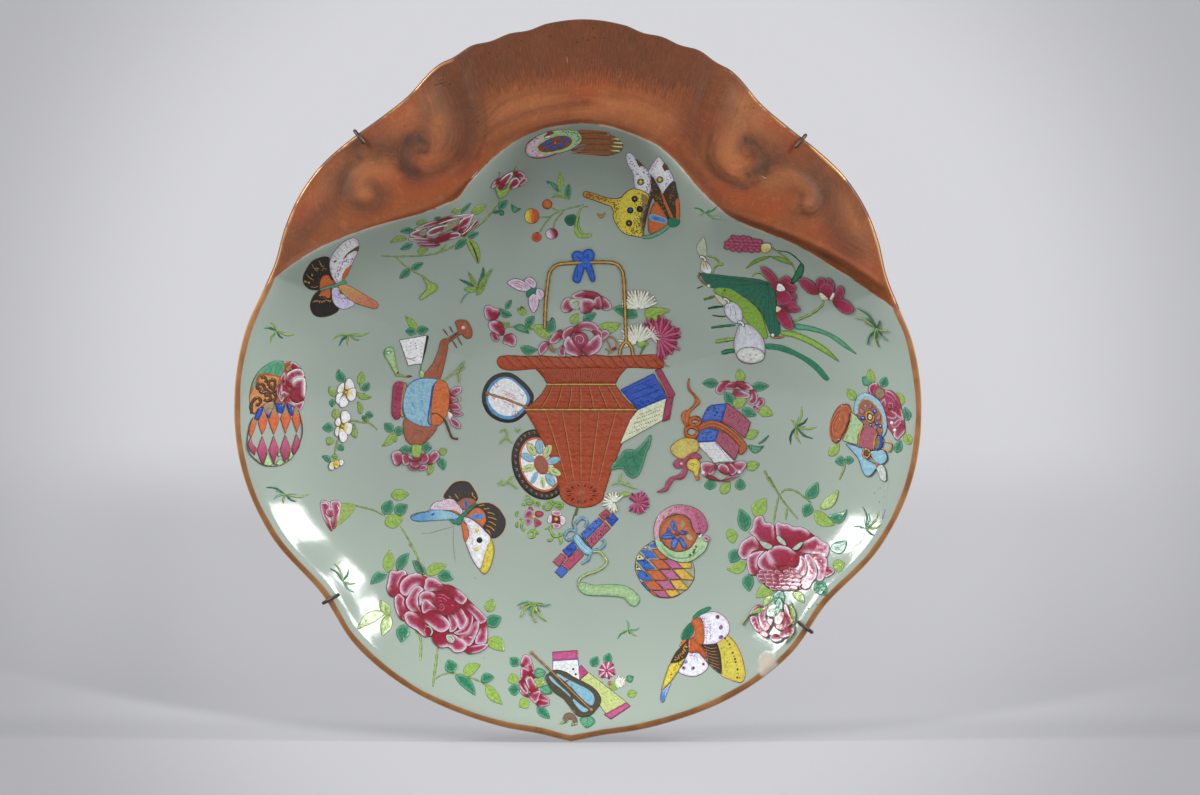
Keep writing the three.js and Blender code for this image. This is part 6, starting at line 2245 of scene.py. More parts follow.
fill("1150,640 1290,470 1330,600 1350,700 1330,960 1290,950 1200,760", tone(66, 56, 44), "umber")
ticks("1000,500 1040,620 1110,700 1180,850", "gold", 26, 0.7, 10, 45, 34)
ticks("1260,560 1270,660 1280,800", "gold", 20, 0.7, 9, 46, 36)
ticks("990,650 920,850 890,1000 890,1130", "tan", 16, 1.2, 11, 47, 8)
fill("1060,740 1110,790 1200,950 1215,1060 1150,1120 1010,1160 960,1120 960,950 1010,800",
     rimmed("brick", "orange", 3), "umber")
fill("1120,620 1150,650 1230,830 1280,950 1240,950 1180,800", "orange", None)
fill("1310,740 1350,700 1368,850 1360,985 1320,960 1320,850", "orange", "umber")
fill("960,940 1000,900 1090,915 1190,960 1210,1000 1170,1028 1060,1010 985,985",
     rimmed("sky", "cobalt", 4), "umber")
fill("1215,1000 1250,950 1300,960 1365,980 1360,1030 1300,1070 1230,1060", "emerald", "dark_leaf")
fill("880,1190 1000,1170 1120,1110 1200,1050 1230,1070 1140,1150 1020,1210 900,1225", "jade", "dark_leaf")
body = ("600,690 680,610 770,578 870,600 960,660 950,760 900,900 880,1050 890,1190 780,1190 640,1150 "
        "550,1050 500,940 505,880 470,800 380,770 250,720 130,680 108,640 140,612 250,640 400,690 520,705")
fill(body, between(tone(170, 130, 40), "lemon", "150,640", "760,800"), "umber", width=1.1)
fill("850,620 950,660 950,760 900,900 880,1050 890,1190 850,1170 830,1010 850,850 860,740",
     tone(140, 118, 66), None)
ticks("780,650 900,800 860,1000 780,1130 700,1080", "umber", 60, 1.0, 9, 48, 50)
ticks("560,780 540,900 600,1040", "moss", 20, 1.0, 9, 49, 34)
ticks("180,655 300,690 430,730 520,780 540,900", tone(150, 70, 30), 24, 1.4, 10, 50, 16)
drops("540,850 537,886 543,923 537,960 554,1001 565,1038 586,1065 607,1097 636,1123 673,1138 710,1157 "
      "746,1166 783,1175 829,1184 856,1157 879,1180 893,1152", "umber", 0.42)
drops("723,1074 746,1093 737,1116 765,1106 783,1138 801,1134 820,1116 756,1143 852,1111 861,1143 "
      "838,1157 710,1093 774,1157 558,730 586,730 568,767 545,785 517,749 499,776 517,804 549,822 "
      "471,721 435,744 412,712 384,730 352,698 315,712 283,680 242,694 214,662 572,694 600,689",
      tone(74, 40, 24), 0.62)
drops("783,758 801,785 829,804 856,804 792,822 783,886 801,914 829,900 838,932 820,960 852,969 866,996 "
      "783,1024 765,987 829,1024 838,1061", tone(66, 50, 34), 0.66)
drops("783,969 801,996 783,1010 820,1005 838,1033 801,1051", tone(84, 100, 50), 0.6)
for spot, heart in (("780,705", "tan"), ("722,855", "cobalt"), ("845,840", "umber"), ("705,1022", "tan")):
    drops(spot, "black", 3.4)
    painting.lift += 0.03
    drops(spot, heart, 1.9 if heart == "cobalt" else 1.2)
stroke(ring_of((178, 660), (30, 24)), tone(168, 88, 40), 1.4, 0)
drops("857,485 1108,455", tone(214, 196, 50), 1.9, "ink")
for x, y in ((857, 485), (1108, 455)):
    stroke(ring_of((x, y), (38, 38)), "umber", 1.0, 0)
stroke("290,900 340,940 395,890", tone(170, 124, 50), 2.6, 0.5)

# %% [markdown]
# A branch with berries fills the space beside it. A berry is a round drop of enamel, raised in its
# middle.

# %% Berry branch
on(510, 165, 16.5)
twig("680,700 760,740 860,745 960,720 1220,655", "490,860 650,855 740,800 870,745",
     "490,1110 560,990 700,830", "715,1060 750,920 880,770", width=1.1)
fill("1290,685 1200,700 1150,800 1130,900 1150,1030 1220,1130 1330,1130 1350,1160 1290,1195 1150,1200 "
     "1070,1120 1070,1000 1100,850 1160,720", rimmed("stem", "lime"), "moss")
stroke("1150,860 1110,980 1130,1080 1200,1160", "moss", 1.2)
fill("905,890 960,830 1060,820 1090,880 1060,980 980,1000 920,950", rimmed("emerald", "dark_leaf"), "ink")
leaves("lime", ("820,440", "820,105", 100, .05), ("990,575", "680,545", 75, .2))
leaves("jade", ("800,440", "595,265", 90, .06))
leaves("emerald", ("960,550", "975,310", 105, -.05))
stroke("640,310 700,400 760,440", "glaze", 1.6)
for centre, r, inner, outer in (("615,650", 78, "orange", tone(150, 62, 26)),
                                (("440,1190"), 75, tone(176, 60, 30), "orange")):
    fill(ring_of(centre, (r, r), 0, 16), rimmed(outer, inner), "umber")
fill(ring_of("360,845", (118, 122), 0, 22), between("lemon", tone(190, 84, 44), "280,850", "400,850"),
     "umber")
ticks("340,760 390,850 350,930", tone(150, 50, 26), 26, 0.9, 8, 51, 50)
fill(ring_of("690,1135", (98, 88), 0, 18), between("blush", "deep", "630,1160", "740,1120"), "umber")
strokes("ink", 1.0, "600,700 620,720", "430,1110 470,1130", "680,1060 700,1080")

painting.lay("enamels_top", enamel)

# %% [markdown]
# ## The right side
#
# Lotus pods tied like a gourd under a folded leaf, a tied pair of books with a gourd, a hat and a vase, a
# drum behind a roundel, tied scrolls and one more butterfly.

# %% Lotus and reeds
on(690, 225, 8.04)
for path, colour, width in (("170,825 270,812 365,805", "emerald", 2.4),
                            ("200,940 290,925 365,915", "lime", 3.6),
                            ("250,1030 310,1015 365,1010", "emerald", 4.4),
                            ("110,600 160,585 200,572", "moss", 2.4),
                            ("145,672 200,660 270,655", "dark_leaf", 2.2),
                            ("180,725 240,735 290,735", "umber", 1.2),
                            ("55,510 105,490", "dark_leaf", 1.0),
                            ("500,410 545,382 590,400 630,460", "stem", 2.0),
                            ("1075,600 1060,650 980,710 900,750 820,780", "stem", 2.6),
                            ("140,250 200,262 235,300 265,320 210,330 185,390", "lime", 1.8),
                            ("650,175 760,250 830,330 850,400", "stem", 1.6),
                            ("700,205 800,225 880,290 905,330", "dark_leaf", 1.0)):
    stroke(path, "moss", width + 0.5, 0.4, 0.03)
    stroke(path, colour, width, 0.4, 0.05)
fill("820,790 1000,820 1150,880 1250,950 1340,1040 1240,985 1100,890 950,850 860,840",
     rimmed("emerald", "jade"), "moss", width=0.5)
fill("730,850 850,860 1000,925 1110,1000 1200,1100 1080,1030 950,955 830,905 740,885",
     rimmed("moss", "lime"), "moss", width=0.5)
fill("610,955 750,970 880,1030 1000,1100 1080,1180 1115,1245 1075,1240 990,1150 860,1060 700,1005 615,995",
     "emerald", "dark_leaf", width=0.5)
fill("450,350 510,285 590,255 660,252 600,278 520,312", rimmed("moss", "lime"), "moss", width=0.5)
fill("655,258 740,258 825,318 745,302", rimmed("moss", "lime"), "moss", width=0.5)
fill("890,308 916,340 900,410 850,460 800,475 840,400", rimmed("dark_leaf", "emerald"), "ink", width=0.6)
fill("110,100 132,170 132,240 96,266 60,220 55,170 80,130", tone(176, 186, 160), "umber", width=0.6)
fill("90,388 280,408 450,425 560,440 640,470 672,510 692,570 698,660 715,770 725,850 700,892 650,880 "
     "615,800 570,700 470,600 400,560 300,520 200,510 150,485 105,430", tone(36, 100, 76), "ink")
for tip in ("130,410", "200,440", "260,490", "330,500", "390,540", "440,580", "500,630", "550,690", "590,760",
            "640,830",
            "690,860"):
    x, y = (float(n) for n in tip.split(","))
    stroke([(625, 470), (625 + 0.5 * (x - 625), 466 + 0.5 * (y - 470)), (x, y)], tone(18, 66, 52), 0.9, 0.4)
fill("190,525 240,500 330,512 400,560 460,608 530,660 585,750 617,860 615,912 560,890 500,830 430,740 "
     "380,650 300,592 225,560", tone(122, 160, 58), "moss", width=0.9)
ticks("260,540 400,620 500,740 580,850", "moss", 30, 0.5, 14, 61, 40)
drops("278,525 592,580", "ink", 1.0)
strokes(tone(140, 110, 76), 2.6, "75,380 70,420 95,450 130,480 170,500", "640,890 680,905 760,900")
drops("665,885 150,490", "white", 1.6, "umber")
fill("100,285 140,300 172,350 165,388 120,385 84,350",
     between(tone(170, 168, 120), "white", "110,290", "130,380"), "umber", width=0.6)
fill("195,555 255,580 300,615 270,645 228,612", tone(186, 186, 160), "umber", width=0.6)
fill("288,640 340,618 405,670 424,745 400,785 355,788 300,740 276,690",
     rimmed(tone(170, 170, 176), tone(198, 200, 208)), "umber")
fill("400,805 470,800 535,845 590,920 602,1000 590,1070 530,1110 460,1116 400,1090 362,1020 354,950 "
     "372,865", rimmed(tone(168, 168, 172), tone(196, 198, 204), 4), "umber")
strokes("umber", 0.5, "320,650 330,700 325,740", "350,640 365,700 370,760", "310,640 300,680",
        "105,310 115,350", "125,310 145,360", "400,830 395,870", "440,820 450,860", "480,820 500,860")
for x, y in ((102, 275), (290, 612), (408, 797)):
    stroke(ring_of((x, y), (24, 13), 35, 12, 160, 380), "ink", 3.2, 0)
    painting.lift += 0.03
    stroke(ring_of((x, y), (24, 13), 35, 12, 170, 370), "white", 1.9, 0)
fill(ring_of((487, 1047), (112, 64), 4), rimmed(tone(170, 170, 170), tone(204, 206, 204), 3), "umber",
     width=0.9)
drops("510,1003 427,1060 481,1045 530,1046 493,1083", tone(190, 190, 110), 1.1, "ink")
for row, (y, x0, x1, n) in enumerate(((100, 350, 470, 4), (122, 330, 560, 7), (150, 300, 575, 8),
                                      (178, 295, 560, 8), (196, 345, 540, 5))):
    for k in range(n):
        x = x0 + (x1 - x0) * k / (n - 1)
        fill(ring_of((x, y + 5 * ((k + row) % 2) + 0.04 * (x - 350)), (27, 19), 15, 9),
             rimmed("deep", tone(176, 86, 120), 1.6), "ink", width=0.4)
fill("575,160 610,150 645,155 650,195 610,226 575,210", between("lemon", "cream", "600,220", "620,150"),
     "umber", width=0.6)
petals("740,560", "565,345 620,350 690,420 705,490 690,540 650,480 600,400",
       "718,445 765,412 812,440 795,470 735,480", "750,490 800,470 852,502 835,537 775,522",
       "795,545 850,560 852,602 810,590", "758,650 830,608 852,640 810,672",
       "775,682 830,652 888,680 850,706 800,702",
       "693,650 750,660 792,722 828,800 820,838 770,832 718,782 694,720",
       "700,545 775,528 822,590 790,632 735,642 698,610", deep="deep", middle="rose", pale="pink",
       reach=1.6)
petals("1060,580", "870,440 930,433 1000,478 1032,552 960,552 900,502",
       "1013,450 1050,428 1088,445 1065,505 1022,515", "1100,438 1132,440 1162,500 1145,545 1105,495",
       "1172,530 1212,492 1238,530 1222,588 1165,603",
       "1145,612 1220,598 1292,640 1312,692 1270,717 1200,692",
       "1042,500 1090,468 1142,500 1152,562 1110,604 1056,570", deep="deep", middle="rose", pale="pink",
       reach=1.6)
fill("705,475 740,480 765,525 700,530", "white", "umber", width=0.5)
fill("1122,592 1148,545 1162,560 1138,604", "white", "umber", width=0.5)
fill("1040,545 1075,560 1110,600 1060,598", "cream", None)
fill("694,655 730,670 720,690 695,700", "cream", None)
grass("1490,830", "-150,-160 -180,-85 -70,130 20,150 30,-60 100,20 100,100",
      ("emerald", "stem", "jade", "lime"))

# %% [markdown]
# Two thin books are tied with a band, and a gourd lies over them. Flat things with straight sides are
# filled between their corners, without smoothing. Plain short strokes stand where the painter put signs.

# %% Tied books with a gourd
on(650, 365, 12.06)
leaves("emerald", ("820,220", "628,218", 115), ("1215,268", "1438,252", 115),
       ("730,1505", "722,1375", 145), ("1085,1510", "1090,1368", 130))
leaves("lime", ("1105,210", "1070,48", 120), ("1300,520", "1482,605", 135), ("860,1552", "965,1408", 120),
       ("1160,1240", "1322,1192", 120), ("1150,870", "1312,800", 115))
leaves("jade", ("1180,968", "1375,975", 90, .25))
stroke("1310,950 1370,910 1430,850", "emerald", 2.4)
twig("1380,1270 1430,1380 1500,1480", width=1.6)
petals("1090,330", "1240,290 1290,350 1292,440 1225,482 1180,444 1220,380 1200,320",
       "1308,400 1370,408 1376,470 1322,512 1268,502 1300,458", "1250,498 1322,510 1300,572 1268,545",
       "790,300 830,220 920,190 962,200 930,260 860,350 800,332",
       "930,222 1035,208 1045,262 960,295 890,270",
       "1020,212 1100,193 1205,240 1245,292 1130,298 1060,262",
       "1042,290 1195,350 1192,392 1120,405 1020,395 998,330")
leaves("emerald", ("1008,462", "898,328", 125), ("1110,540", "1278,608", 110))
leaves("lime", ("1000,492", "1168,418", 125))
quad("690,520 740,485 925,463 862,690 760,668 618,692 640,620", rimmed("cobalt", tone(56, 96, 176)))
quad("930,463 1080,570 1212,690 1180,800 1142,882 1090,840 1000,760 868,690", tone(150, 74, 92))
quad("543,932 590,790 690,753 832,792 802,880 790,922", rimmed("cobalt", tone(56, 96, 176)))
quad("832,800 950,830 1040,920 1080,990 1060,1060 1022,1147 790,922", tone(150, 74, 92))
quad("552,938 790,926 1020,1166 870,1166 770,1182 738,1130", tone(206, 206, 206), "umber")
for k in range(6):
    stroke([(585 + 27 * k, 965 + 30 * k), (815 + 30 * k, 955 + 32 * k)],
           (tone(160, 170, 196), tone(206, 176, 176))[k % 2], 0.5, 0, smooth=False)
stroke("785,935 870,1040 965,1158", "cobalt", 0.6, 0)
ticks("720,540 800,560 850,600", "navy", 22, 0.9, 8, 62, 60)
ticks("640,850 740,820", "navy", 14, 0.9, 8, 63, 50)
ticks("960,540 1060,640 1150,740", "deep", 26, 1.0, 5, 64, 55)
ticks("880,850 960,930 1020,1030", "deep", 24, 0.9, 6, 65, 45)
band = ("560,740 640,690 760,668 900,718 1040,820 1130,910 1168,1000 1130,1062 1078,1076 1078,990 "
        "1040,922 950,832 830,782 700,760 590,800")
fill(band, tone(160, 80, 38), "umber")
for k in range(4):
    stroke([(590 + 6 * k, 745 + 14 * k), (760, 686 + 20 * k), (900 - 5 * k, 738 + 20 * k),
            (1040 - 12 * k, 836 + 22 * k), (1110 - 8 * k, 930 + 18 * k)],
           (tone(184, 104, 52), tone(128, 58, 28))[k % 2], 1.1, 0.3)
fill("475,158 452,220 462,300 522,370 542,430 512,505 460,540 400,565 378,620 396,690 440,742 464,715 "
     "470,640 482,575 530,525 590,475 600,430 545,360 492,300 468,240", tone(182, 96, 44), "umber",
     width=0.6)
strokes(tone(140, 60, 26), 0.8, "470,200 480,300 560,430 450,560 410,640 440,720", "430,600 425,660 450,720")
for centre, radii in (((542, 682), (62, 46)), ((502, 808), (74, 64))):
    stroke(ring_of(centre, radii), "umber", 4.3, 0)
    painting.lift += 0.03
    stroke(ring_of(centre, radii), tone(170, 84, 40), 3.5, 0)
    stroke(ring_of(centre, (radii[0] - 10, radii[1] - 8)), tone(196, 116, 62), 0.7, 0, 0.08)
fill("250,1000 290,948 390,886 530,888 590,955 572,1040 500,1062 400,1132 325,1110 268,1070",
     rimmed(tone(196, 160, 60), tone(188, 178, 92), 4), "umber", width=0.6)
ticks("300,1040 400,980 520,920 540,1000", tone(196, 110, 60), 26, 1.2, 6, 66, 40)
fill("280,1180 340,1130 400,1140 440,1090 520,1060 600,1080 622,1118 570,1142 480,1130 430,1200 450,1280 "
     "420,1350 370,1382 300,1380 240,1460 200,1522 80,1532 170,1480 200,1400 260,1350 350,1320 400,1240 "
     "330,1250 290,1222", tone(152, 66, 92), "umber", width=0.6)
strokes("deep", 0.8, "330,1150 380,1190 340,1230", "440,1110 540,1090", "300,1378 370,1365 430,1340")
fill("445,1190 480,1140 560,1130 606,1190 592,1280 576,1340 540,1340 520,1290 460,1250",
     rimmed(tone(196, 150, 56), "lemon", 3), "umber")
ticks("500,1190 560,1220", "ink", 10, 1.0, 8, 67, 20)
drops("572,1368", "orange", 2.1, "umber")
drops("378,1190", "cream", 1.2, "umber")
petals("850,1310", "670,1350 760,1340 850,1392 950,1350 1080,1330 960,1392 850,1402 740,1382",
       "612,1240 622,1180 700,1170 790,1200 760,1280 680,1342 640,1332",
       "688,1290 740,1220 802,1208 802,1250 742,1322 690,1312",
       "978,1190 1100,1160 1162,1180 1150,1232 1080,1312 1036,1280",
       "900,1190 970,1188 1042,1250 1030,1312 958,1332 946,1260",
       "818,1240 860,1188 942,1230 952,1312 900,1318 838,1282")
drops("1080,1290 640,1300", "white", 1.8)

# %% [markdown]
# A hat, a small vase and a roundel lie one over the other. Most of their edges are turned ellipses, which is
# what round things look like from the side.

# %% Hat, vase and roundel
on(820, 360, 13.07)
stroke("0,110 60,190 120,250", "emerald", 3.0)
leaves("jade", ("665,325", "555,215", 135))
leaves("lime", ("705,292", "650,110", 105, -0.1), ("1065,600", "1015,418", 135),
       ("1180,1105", "1108,945", 115), ("460,522", "358,375", 115), ("120,1252", "255,1098", 125))
leaves("emerald", ("812,352", "862,220", 115), ("1150,790", "1108,618", 115),
       ("1000,1212", "1052,1045", 110), ("322,1310", "198,1330", 130), ("325,1310", "442,1308", 105))
twig("320,1330 310,1430 250,1560", width=1.4)
fill("640,340 720,300 760,330 840,390 930,400 1020,490 1070,650 1100,780 1110,900 1060,990 1000,1050 "
     "940,960 880,860 840,700 780,580 700,490 636,430", tone(150, 52, 84), "umber")
petals("900,640", "640,340 700,300 752,312 722,400 700,482 640,422",
       "860,400 935,420 1002,500 1052,642 1000,600 920,500 850,460",
       "788,560 840,498 862,560 842,642 800,622", "990,600 1060,640 1095,790 1040,760 960,690",
       "1000,880 1090,838 1112,930 1060,1000 1010,1042 958,980",
       "898,800 960,822 1000,790 1062,758 1052,830 1000,882 938,872",
       "858,690 920,668 1002,700 992,762 930,772 868,742", "868,600 900,556 955,578 945,632 890,652")
fill("725,400 780,372 835,410 840,470 790,510 735,480", tone(132, 116, 84), "umber", width=0.5)
stroke(ring_of("908,600", (34, 28)), "deep", 1.0, 0)
drops("935,820 975,915", "white", 1.8, "ink")
fill("300,583 368,588 397,660 372,800 300,980 222,1077 168,1060 133,960 140,830 180,710 240,618",
     tone(162, 84, 44), "umber", width=1.3)
for k in range(5):
    stroke(ring_of((268 - 8 * k, 830), (118 - 22 * k, 236 - 42 * k), 22, 24),
           (tone(184, 104, 58), tone(136, 62, 32))[k % 2], 1.3, 0)
strokes("ink", 2.0, "398,680 372,800 300,980 222,1075")
fill("402,680 470,730 572,830 530,920 492,1000 490,1112 380,1080 296,1052 340,950 386,820",
     tone(152, 182, 134), "umber", corners=True)
glyphs((("420,760", "400,820", 3), ("470,780", "440,880", 4), ("520,830", "480,920", 3),
        ("360,970", "340,1040", 4), ("440,980", "420,1060", 3)),
       "umber", 71, 0.7, 11)
fill("478,500 530,450 600,433 690,468 792,560 852,700 874,850 850,965 800,1012 812,900 760,700 660,560 "
     "560,520 500,700 470,712 443,680 450,590", "sky", "umber")
fill("478,660 492,570 560,498 650,510 740,590 805,690 830,810 825,910 800,990 740,970 680,905 590,860 "
     "540,800 492,745", tone(136, 90, 68), "ink", width=1.9)
stroke("500,720 505,590 570,520 650,530 735,610 795,700 815,810 800,950", "gold", 1.5, 0.2)
# Each cobalt oval gets a small pale drop near its top as a painted highlight.
for x, y, rx, ry, turn in ((587, 605, 50, 22, 62), (710, 672, 30, 34, 0), (558, 762, 36, 26, 10),
                           (740, 832, 28, 20, 30), (785, 866, 20, 22, 0),
                           (655, 852, 22, 18, 0)):
    fill(ring_of((x, y), (rx, ry), turn, 12), "cobalt", "navy")
    painting.lift += 0.02
    drops([(x + 4, y - 6)], tone(176, 192, 216), 0.8)
for x, y, rx, ry in ((545, 675, 36, 30), (655, 606, 22, 30), (762, 757, 26, 38), (716, 892, 26, 34)):
    fill(ring_of((x, y), (rx, ry), 20, 12), tone(162, 96, 104), "umber", width=0.5)
stroke(ring_of("650,745", (48, 68), -12), "umber", 2.6, 0)
painting.lift += 0.02
stroke(ring_of("650,745", (48, 68), -12), "gold", 1.8, 0)
fill(ring_of("652,745", (24, 34), 0, 12), "cream", "umber")
drops("652,748", "ink", 0.7)
fill("600,850 680,880 755,950 710,1040 692,1172 600,1160 505,1132 520,1000 560,910", tone(150, 76, 92),
     "umber")
strokes("gold", 1.7, "590,845 530,920 508,1040 505,1130", "745,955 712,1040 698,1170")
fill("720,1060 765,990 790,1060 775,1140 725,1165", tone(118, 98, 66), "umber", width=0.6)
fill("768,980 812,1008 818,1080 792,1150 735,1172 775,1110 780,1040", "cobalt", "navy")
strokes("gold", 1.6, "820,1058 926,1094 904,1192 800,1150")
fill("740,1400 800,1368 850,1430 862,1570 800,1570 760,1480", tone(178, 186, 182), "umber", width=0.4)
fill("343,1098 420,1110 500,1140 556,1170 600,1290 700,1350 742,1390 700,1460 650,1512 590,1507 545,1420 "
     "500,1290 420,1190", rimmed(tone(116, 160, 182), "sky", 3), "ink", width=1.1)
fill("655,1200 740,1188 822,1178 862,1230 872,1290 840,1342 780,1362 718,1330 676,1270",
     rimmed(tone(116, 160, 182), "sky", 3), "ink", width=1.1)
stroke(ring_of("603,1220", (46, 56)), "navy", 2.8, 0)
painting.lift += 0.03
stroke(ring_of("603,1220", (46, 56)), "gold", 1.9, 0)
fill(ring_of("603,1220", (30, 36), 0, 12), "umber", "ink")
drops("560,1162", "sky", 1.0, "ink")
stroke("655,1275 700,1320 745,1372", "gold", 1.2, 0.2)
drops("745,1370", "orange", 1.5, "umber")

# %% [markdown]
# The drum is covered with diamonds in a few colours. They are kept in one table, by colour, and a loop
# fills them.

# %% Drum of diamonds and roundel
on(630, 495, 14.26)
fill("345,660 250,710 160,790 100,890 75,1010 95,1120 160,1250 270,1370 390,1450 520,1467 640,1450 "
     "750,1390 850,1300 912,1190 916,1060 880,950 780,930 620,910 470,860 400,760", tone(150, 152, 128),
     "umber", width=1.1)
DIAMONDS = {
    tuple(tone(48, 90, 172)): ("240,720 350,660 390,745 370,770 290,768",
                               "150,800 190,780 300,775 420,912 230,917", "95,935 230,925 370,1057 200,1065",
                               "105,1085 195,1080 330,1217 190,1220 130,1180",
                               "163,1240 200,1250 292,1362 250,1362"),
    tuple(tone(172, 88, 44)): ("310,780 400,770 545,905 430,920", "278,925 465,925 585,1052 400,1057",
                               "215,1075 410,1070 540,1215 350,1217",
                               "190,1235 355,1225 480,1356 330,1358 270,1342",
                               "280,1375 330,1370 400,1452 340,1432"),
    tuple(tone(164, 88, 124)): ("470,920 600,925 670,960 762,1047 600,1052",
                                "420,1068 600,1065 722,1202 560,1207", "360,1228 550,1217 652,1347 500,1352",
                                "320,1370 490,1362 572,1462 430,1457"),
    tuple(tone(190, 156, 62)): ("680,960 872,965 872,1040 762,1047",
                                "610,1062 770,1057 912,1190 892,1212 740,1202",
                                "570,1217 720,1212 832,1332 802,1352 660,1347",
                                "500,1357 660,1352 712,1410 600,1457 560,1442"),
    tuple(tone(196, 196, 140)): ("190,762 220,730 262,765", "130,830 217,917 100,932 92,890",
                                 "85,985 172,1070 90,1072")}
for colour, outlines in DIAMONDS.items():
    for outline in outlines:
        quad(outline, rimmed(colour, np.array(colour) * 1.15, 2.5), "ink", 0.8)
ticks("180,840 240,960 230,1130", "navy", 20, 0.9, 8, 72, 50)
ticks("800,1130 740,1270 620,1390", "orange", 18, 0.9, 6, 73, 45)
drops("138,888 108,1030", "ink", 1.0)
fill("350,605 362,590 430,650 490,720 570,780 680,812 800,792 880,740 930,660 960,590 1000,560 1100,650 "
     "1106,700 1062,800 960,890 850,947 740,962 600,922 480,850 400,770 365,690", tone(156, 186, 142),
     "umber")
fill("350,602 343,480 370,360 430,268 530,188 660,143 800,148 930,188 1022,260 1082,360 1102,460 "
     "1060,532 980,547 930,522 890,450 870,370 800,300 700,270 600,272 500,342 430,452 410,560 428,652 "
     "385,640", between(tone(196, 150, 164), tone(172, 84, 120), "400,500", "1050,420"), "umber")
fill("428,605 418,540 430,440 500,350 600,298 700,280 800,310 862,400 882,470 962,570 930,660 870,742 "
     "780,792 680,807 590,782 500,712", rimmed(tone(150, 78, 38), tone(176, 96, 52), 5), "umber",
     width=1.0)
ticks("430,400 560,220 740,180 900,230 1010,370", "brick", 44, 1.0, 10, 74, 32)
ticks("930,290 1030,430 980,500", "deep", 26, 0.8, 9, 75, 40)
strokes("jade", 1.0, "440,720 560,860 740,900 900,860 1040,720", "480,760 620,880 760,900")
ticks("850,860 930,800 920,720", "umber", 16, 1.8, 8, 76, 22)
fill(ring_of("745,412", (50, 68), 10, 14), tone(146, 132, 100), None)
fill(ring_of("845,598", (62, 40), 40, 14), tone(156, 148, 116), None)
for outline in ("570,395 622,362 662,430 677,500 630,517 590,460", "545,458 592,510 528,527",
                "438,605 480,560 550,528 642,575 620,612 520,632",
                "600,640 650,613 687,640 662,730 620,772 588,740",
                "695,630 720,598 782,670 812,740 790,762 738,730",
                "708,520 760,508 827,535 790,562 730,567"):
    fill(outline, rimmed(tone(38, 74, 150), tone(74, 118, 190)), "navy")
strokes("ink", 1.1, "480,590 560,570 610,590", "620,400 630,470", "740,530 800,545")
drops("675,545", tone(140, 70, 36), 2.6, "umber")
fill("1045,575 1110,590 1135,630 1100,665 1050,640", rimmed("blush", "rose"), "umber", width=0.6)
fill("975,600 1015,550 1030,560 1000,615", "white", "ink", width=0.6)
drops("988,556", "black", 1.1)

# %% [markdown]
# Rolled papers are tied with a ribbon. The rolls are long cushions, and the ribbon lies over them with
# its ends loose.

# %% Tied scrolls
on(545, 500, 14.25)
stroke("510,0 460,100 390,300 400,410", "umber", 1.4, 0.2)
stroke("510,0 460,100 390,300 400,410", "stem", 0.7, 0.2, 0.08)
for outline, colour in (("765,215 862,133 942,195 850,292", tone(150, 64, 84)),
                        ("875,285 970,190 1047,270 952,377", "cobalt"),
                        ("510,480 758,248 832,320 572,572", tone(52, 94, 174)),
                        ("580,590 850,328 937,400 662,682", tone(154, 72, 96)),
                        ("110,880 230,758 302,830 200,957", tone(152, 72, 92)),
                        ("140,1025 240,928 332,1010 235,1112", tone(50, 90, 170)),
                        ("250,722 400,588 452,690 330,822", "cobalt"),
                        ("330,832 470,700 552,790 345,1002 250,922", tone(154, 64, 90))):
    quad(outline, rimmed(colour, colour_of(colour) * 1.12), "ink")
ticks("560,460 680,400 780,300", "navy", 18, 0.9, 7, 81, 40)
ticks("640,600 740,520 840,400", "deep", 26, 1.2, 8, 82, 40)
ticks("320,900 420,820 480,760", "deep", 16, 1.1, 8, 83, 36)
ticks("330,680 370,720", "navy", 9, 1.6, 9, 84, 26)
ticks("850,210 950,290", "ink", 10, 1.5, 9, 85, 20)
strokes("orange", 1.5, "238,762 290,790 325,825", "245,918 300,955 342,1000", "765,245 860,320 930,388")
for path in ("440,455 430,350 520,262 590,290 600,330 560,390", "430,445 340,432 285,510 330,572 395,552",
             "680,722 760,705 830,660 852,600 812,560",
             "655,755 612,850 520,910"):
    stroke(path, tone(74, 110, 150), 3.4, 0.3)
    painting.lift += 0.02
    stroke(path, "sky", 2.3, 0.3)
    stroke(path, "umber", 0.8, 0.3, 0.08)
fill("398,545 462,480 560,600 660,690 690,742 620,782 570,772 480,680",
     rimmed(tone(84, 140, 176), tone(150, 194, 206), 3), "ink")
strokes("navy", 0.9, "430,520 540,650 640,740", "480,490 580,620 680,700")
strokes("umber", 1.1, "490,500 600,610 660,690")
stroke("680,740 780,740 850,820 880,880 840,950 720,1020 600,1060 500,1120 480,1185", "moss", 2.9, 0.1)
stroke("680,740 780,740 850,820 880,880 840,950 720,1020 600,1060 500,1120 480,1185", tone(168, 182, 124),
       2.2, 0.1, 0.09)
fill("468,1190 560,1178 700,1215 900,1205 1100,1215 1230,1270 1332,1370 1342,1450 1280,1512 1200,1480 "
     "1130,1400 1000,1372 800,1362 600,1352 510,1300 475,1250",
     rimmed(tone(132, 170, 128), tone(162, 186, 134), 6), "moss", width=0.9)
strokes(tone(140, 172, 110), 0.9, "600,1230 850,1240 1100,1260", "600,1270 800,1290 1050,1300")
strokes("emerald", 0.8, "570,1185 580,1240 515,1290", "480,1215 530,1240", "1200,1330 1190,1380")

# %% [markdown]
# The last butterfly spreads its wings by the scrolls. Colour runs from one tone to another across a wing,
# and rows of small drops lie along its edges.

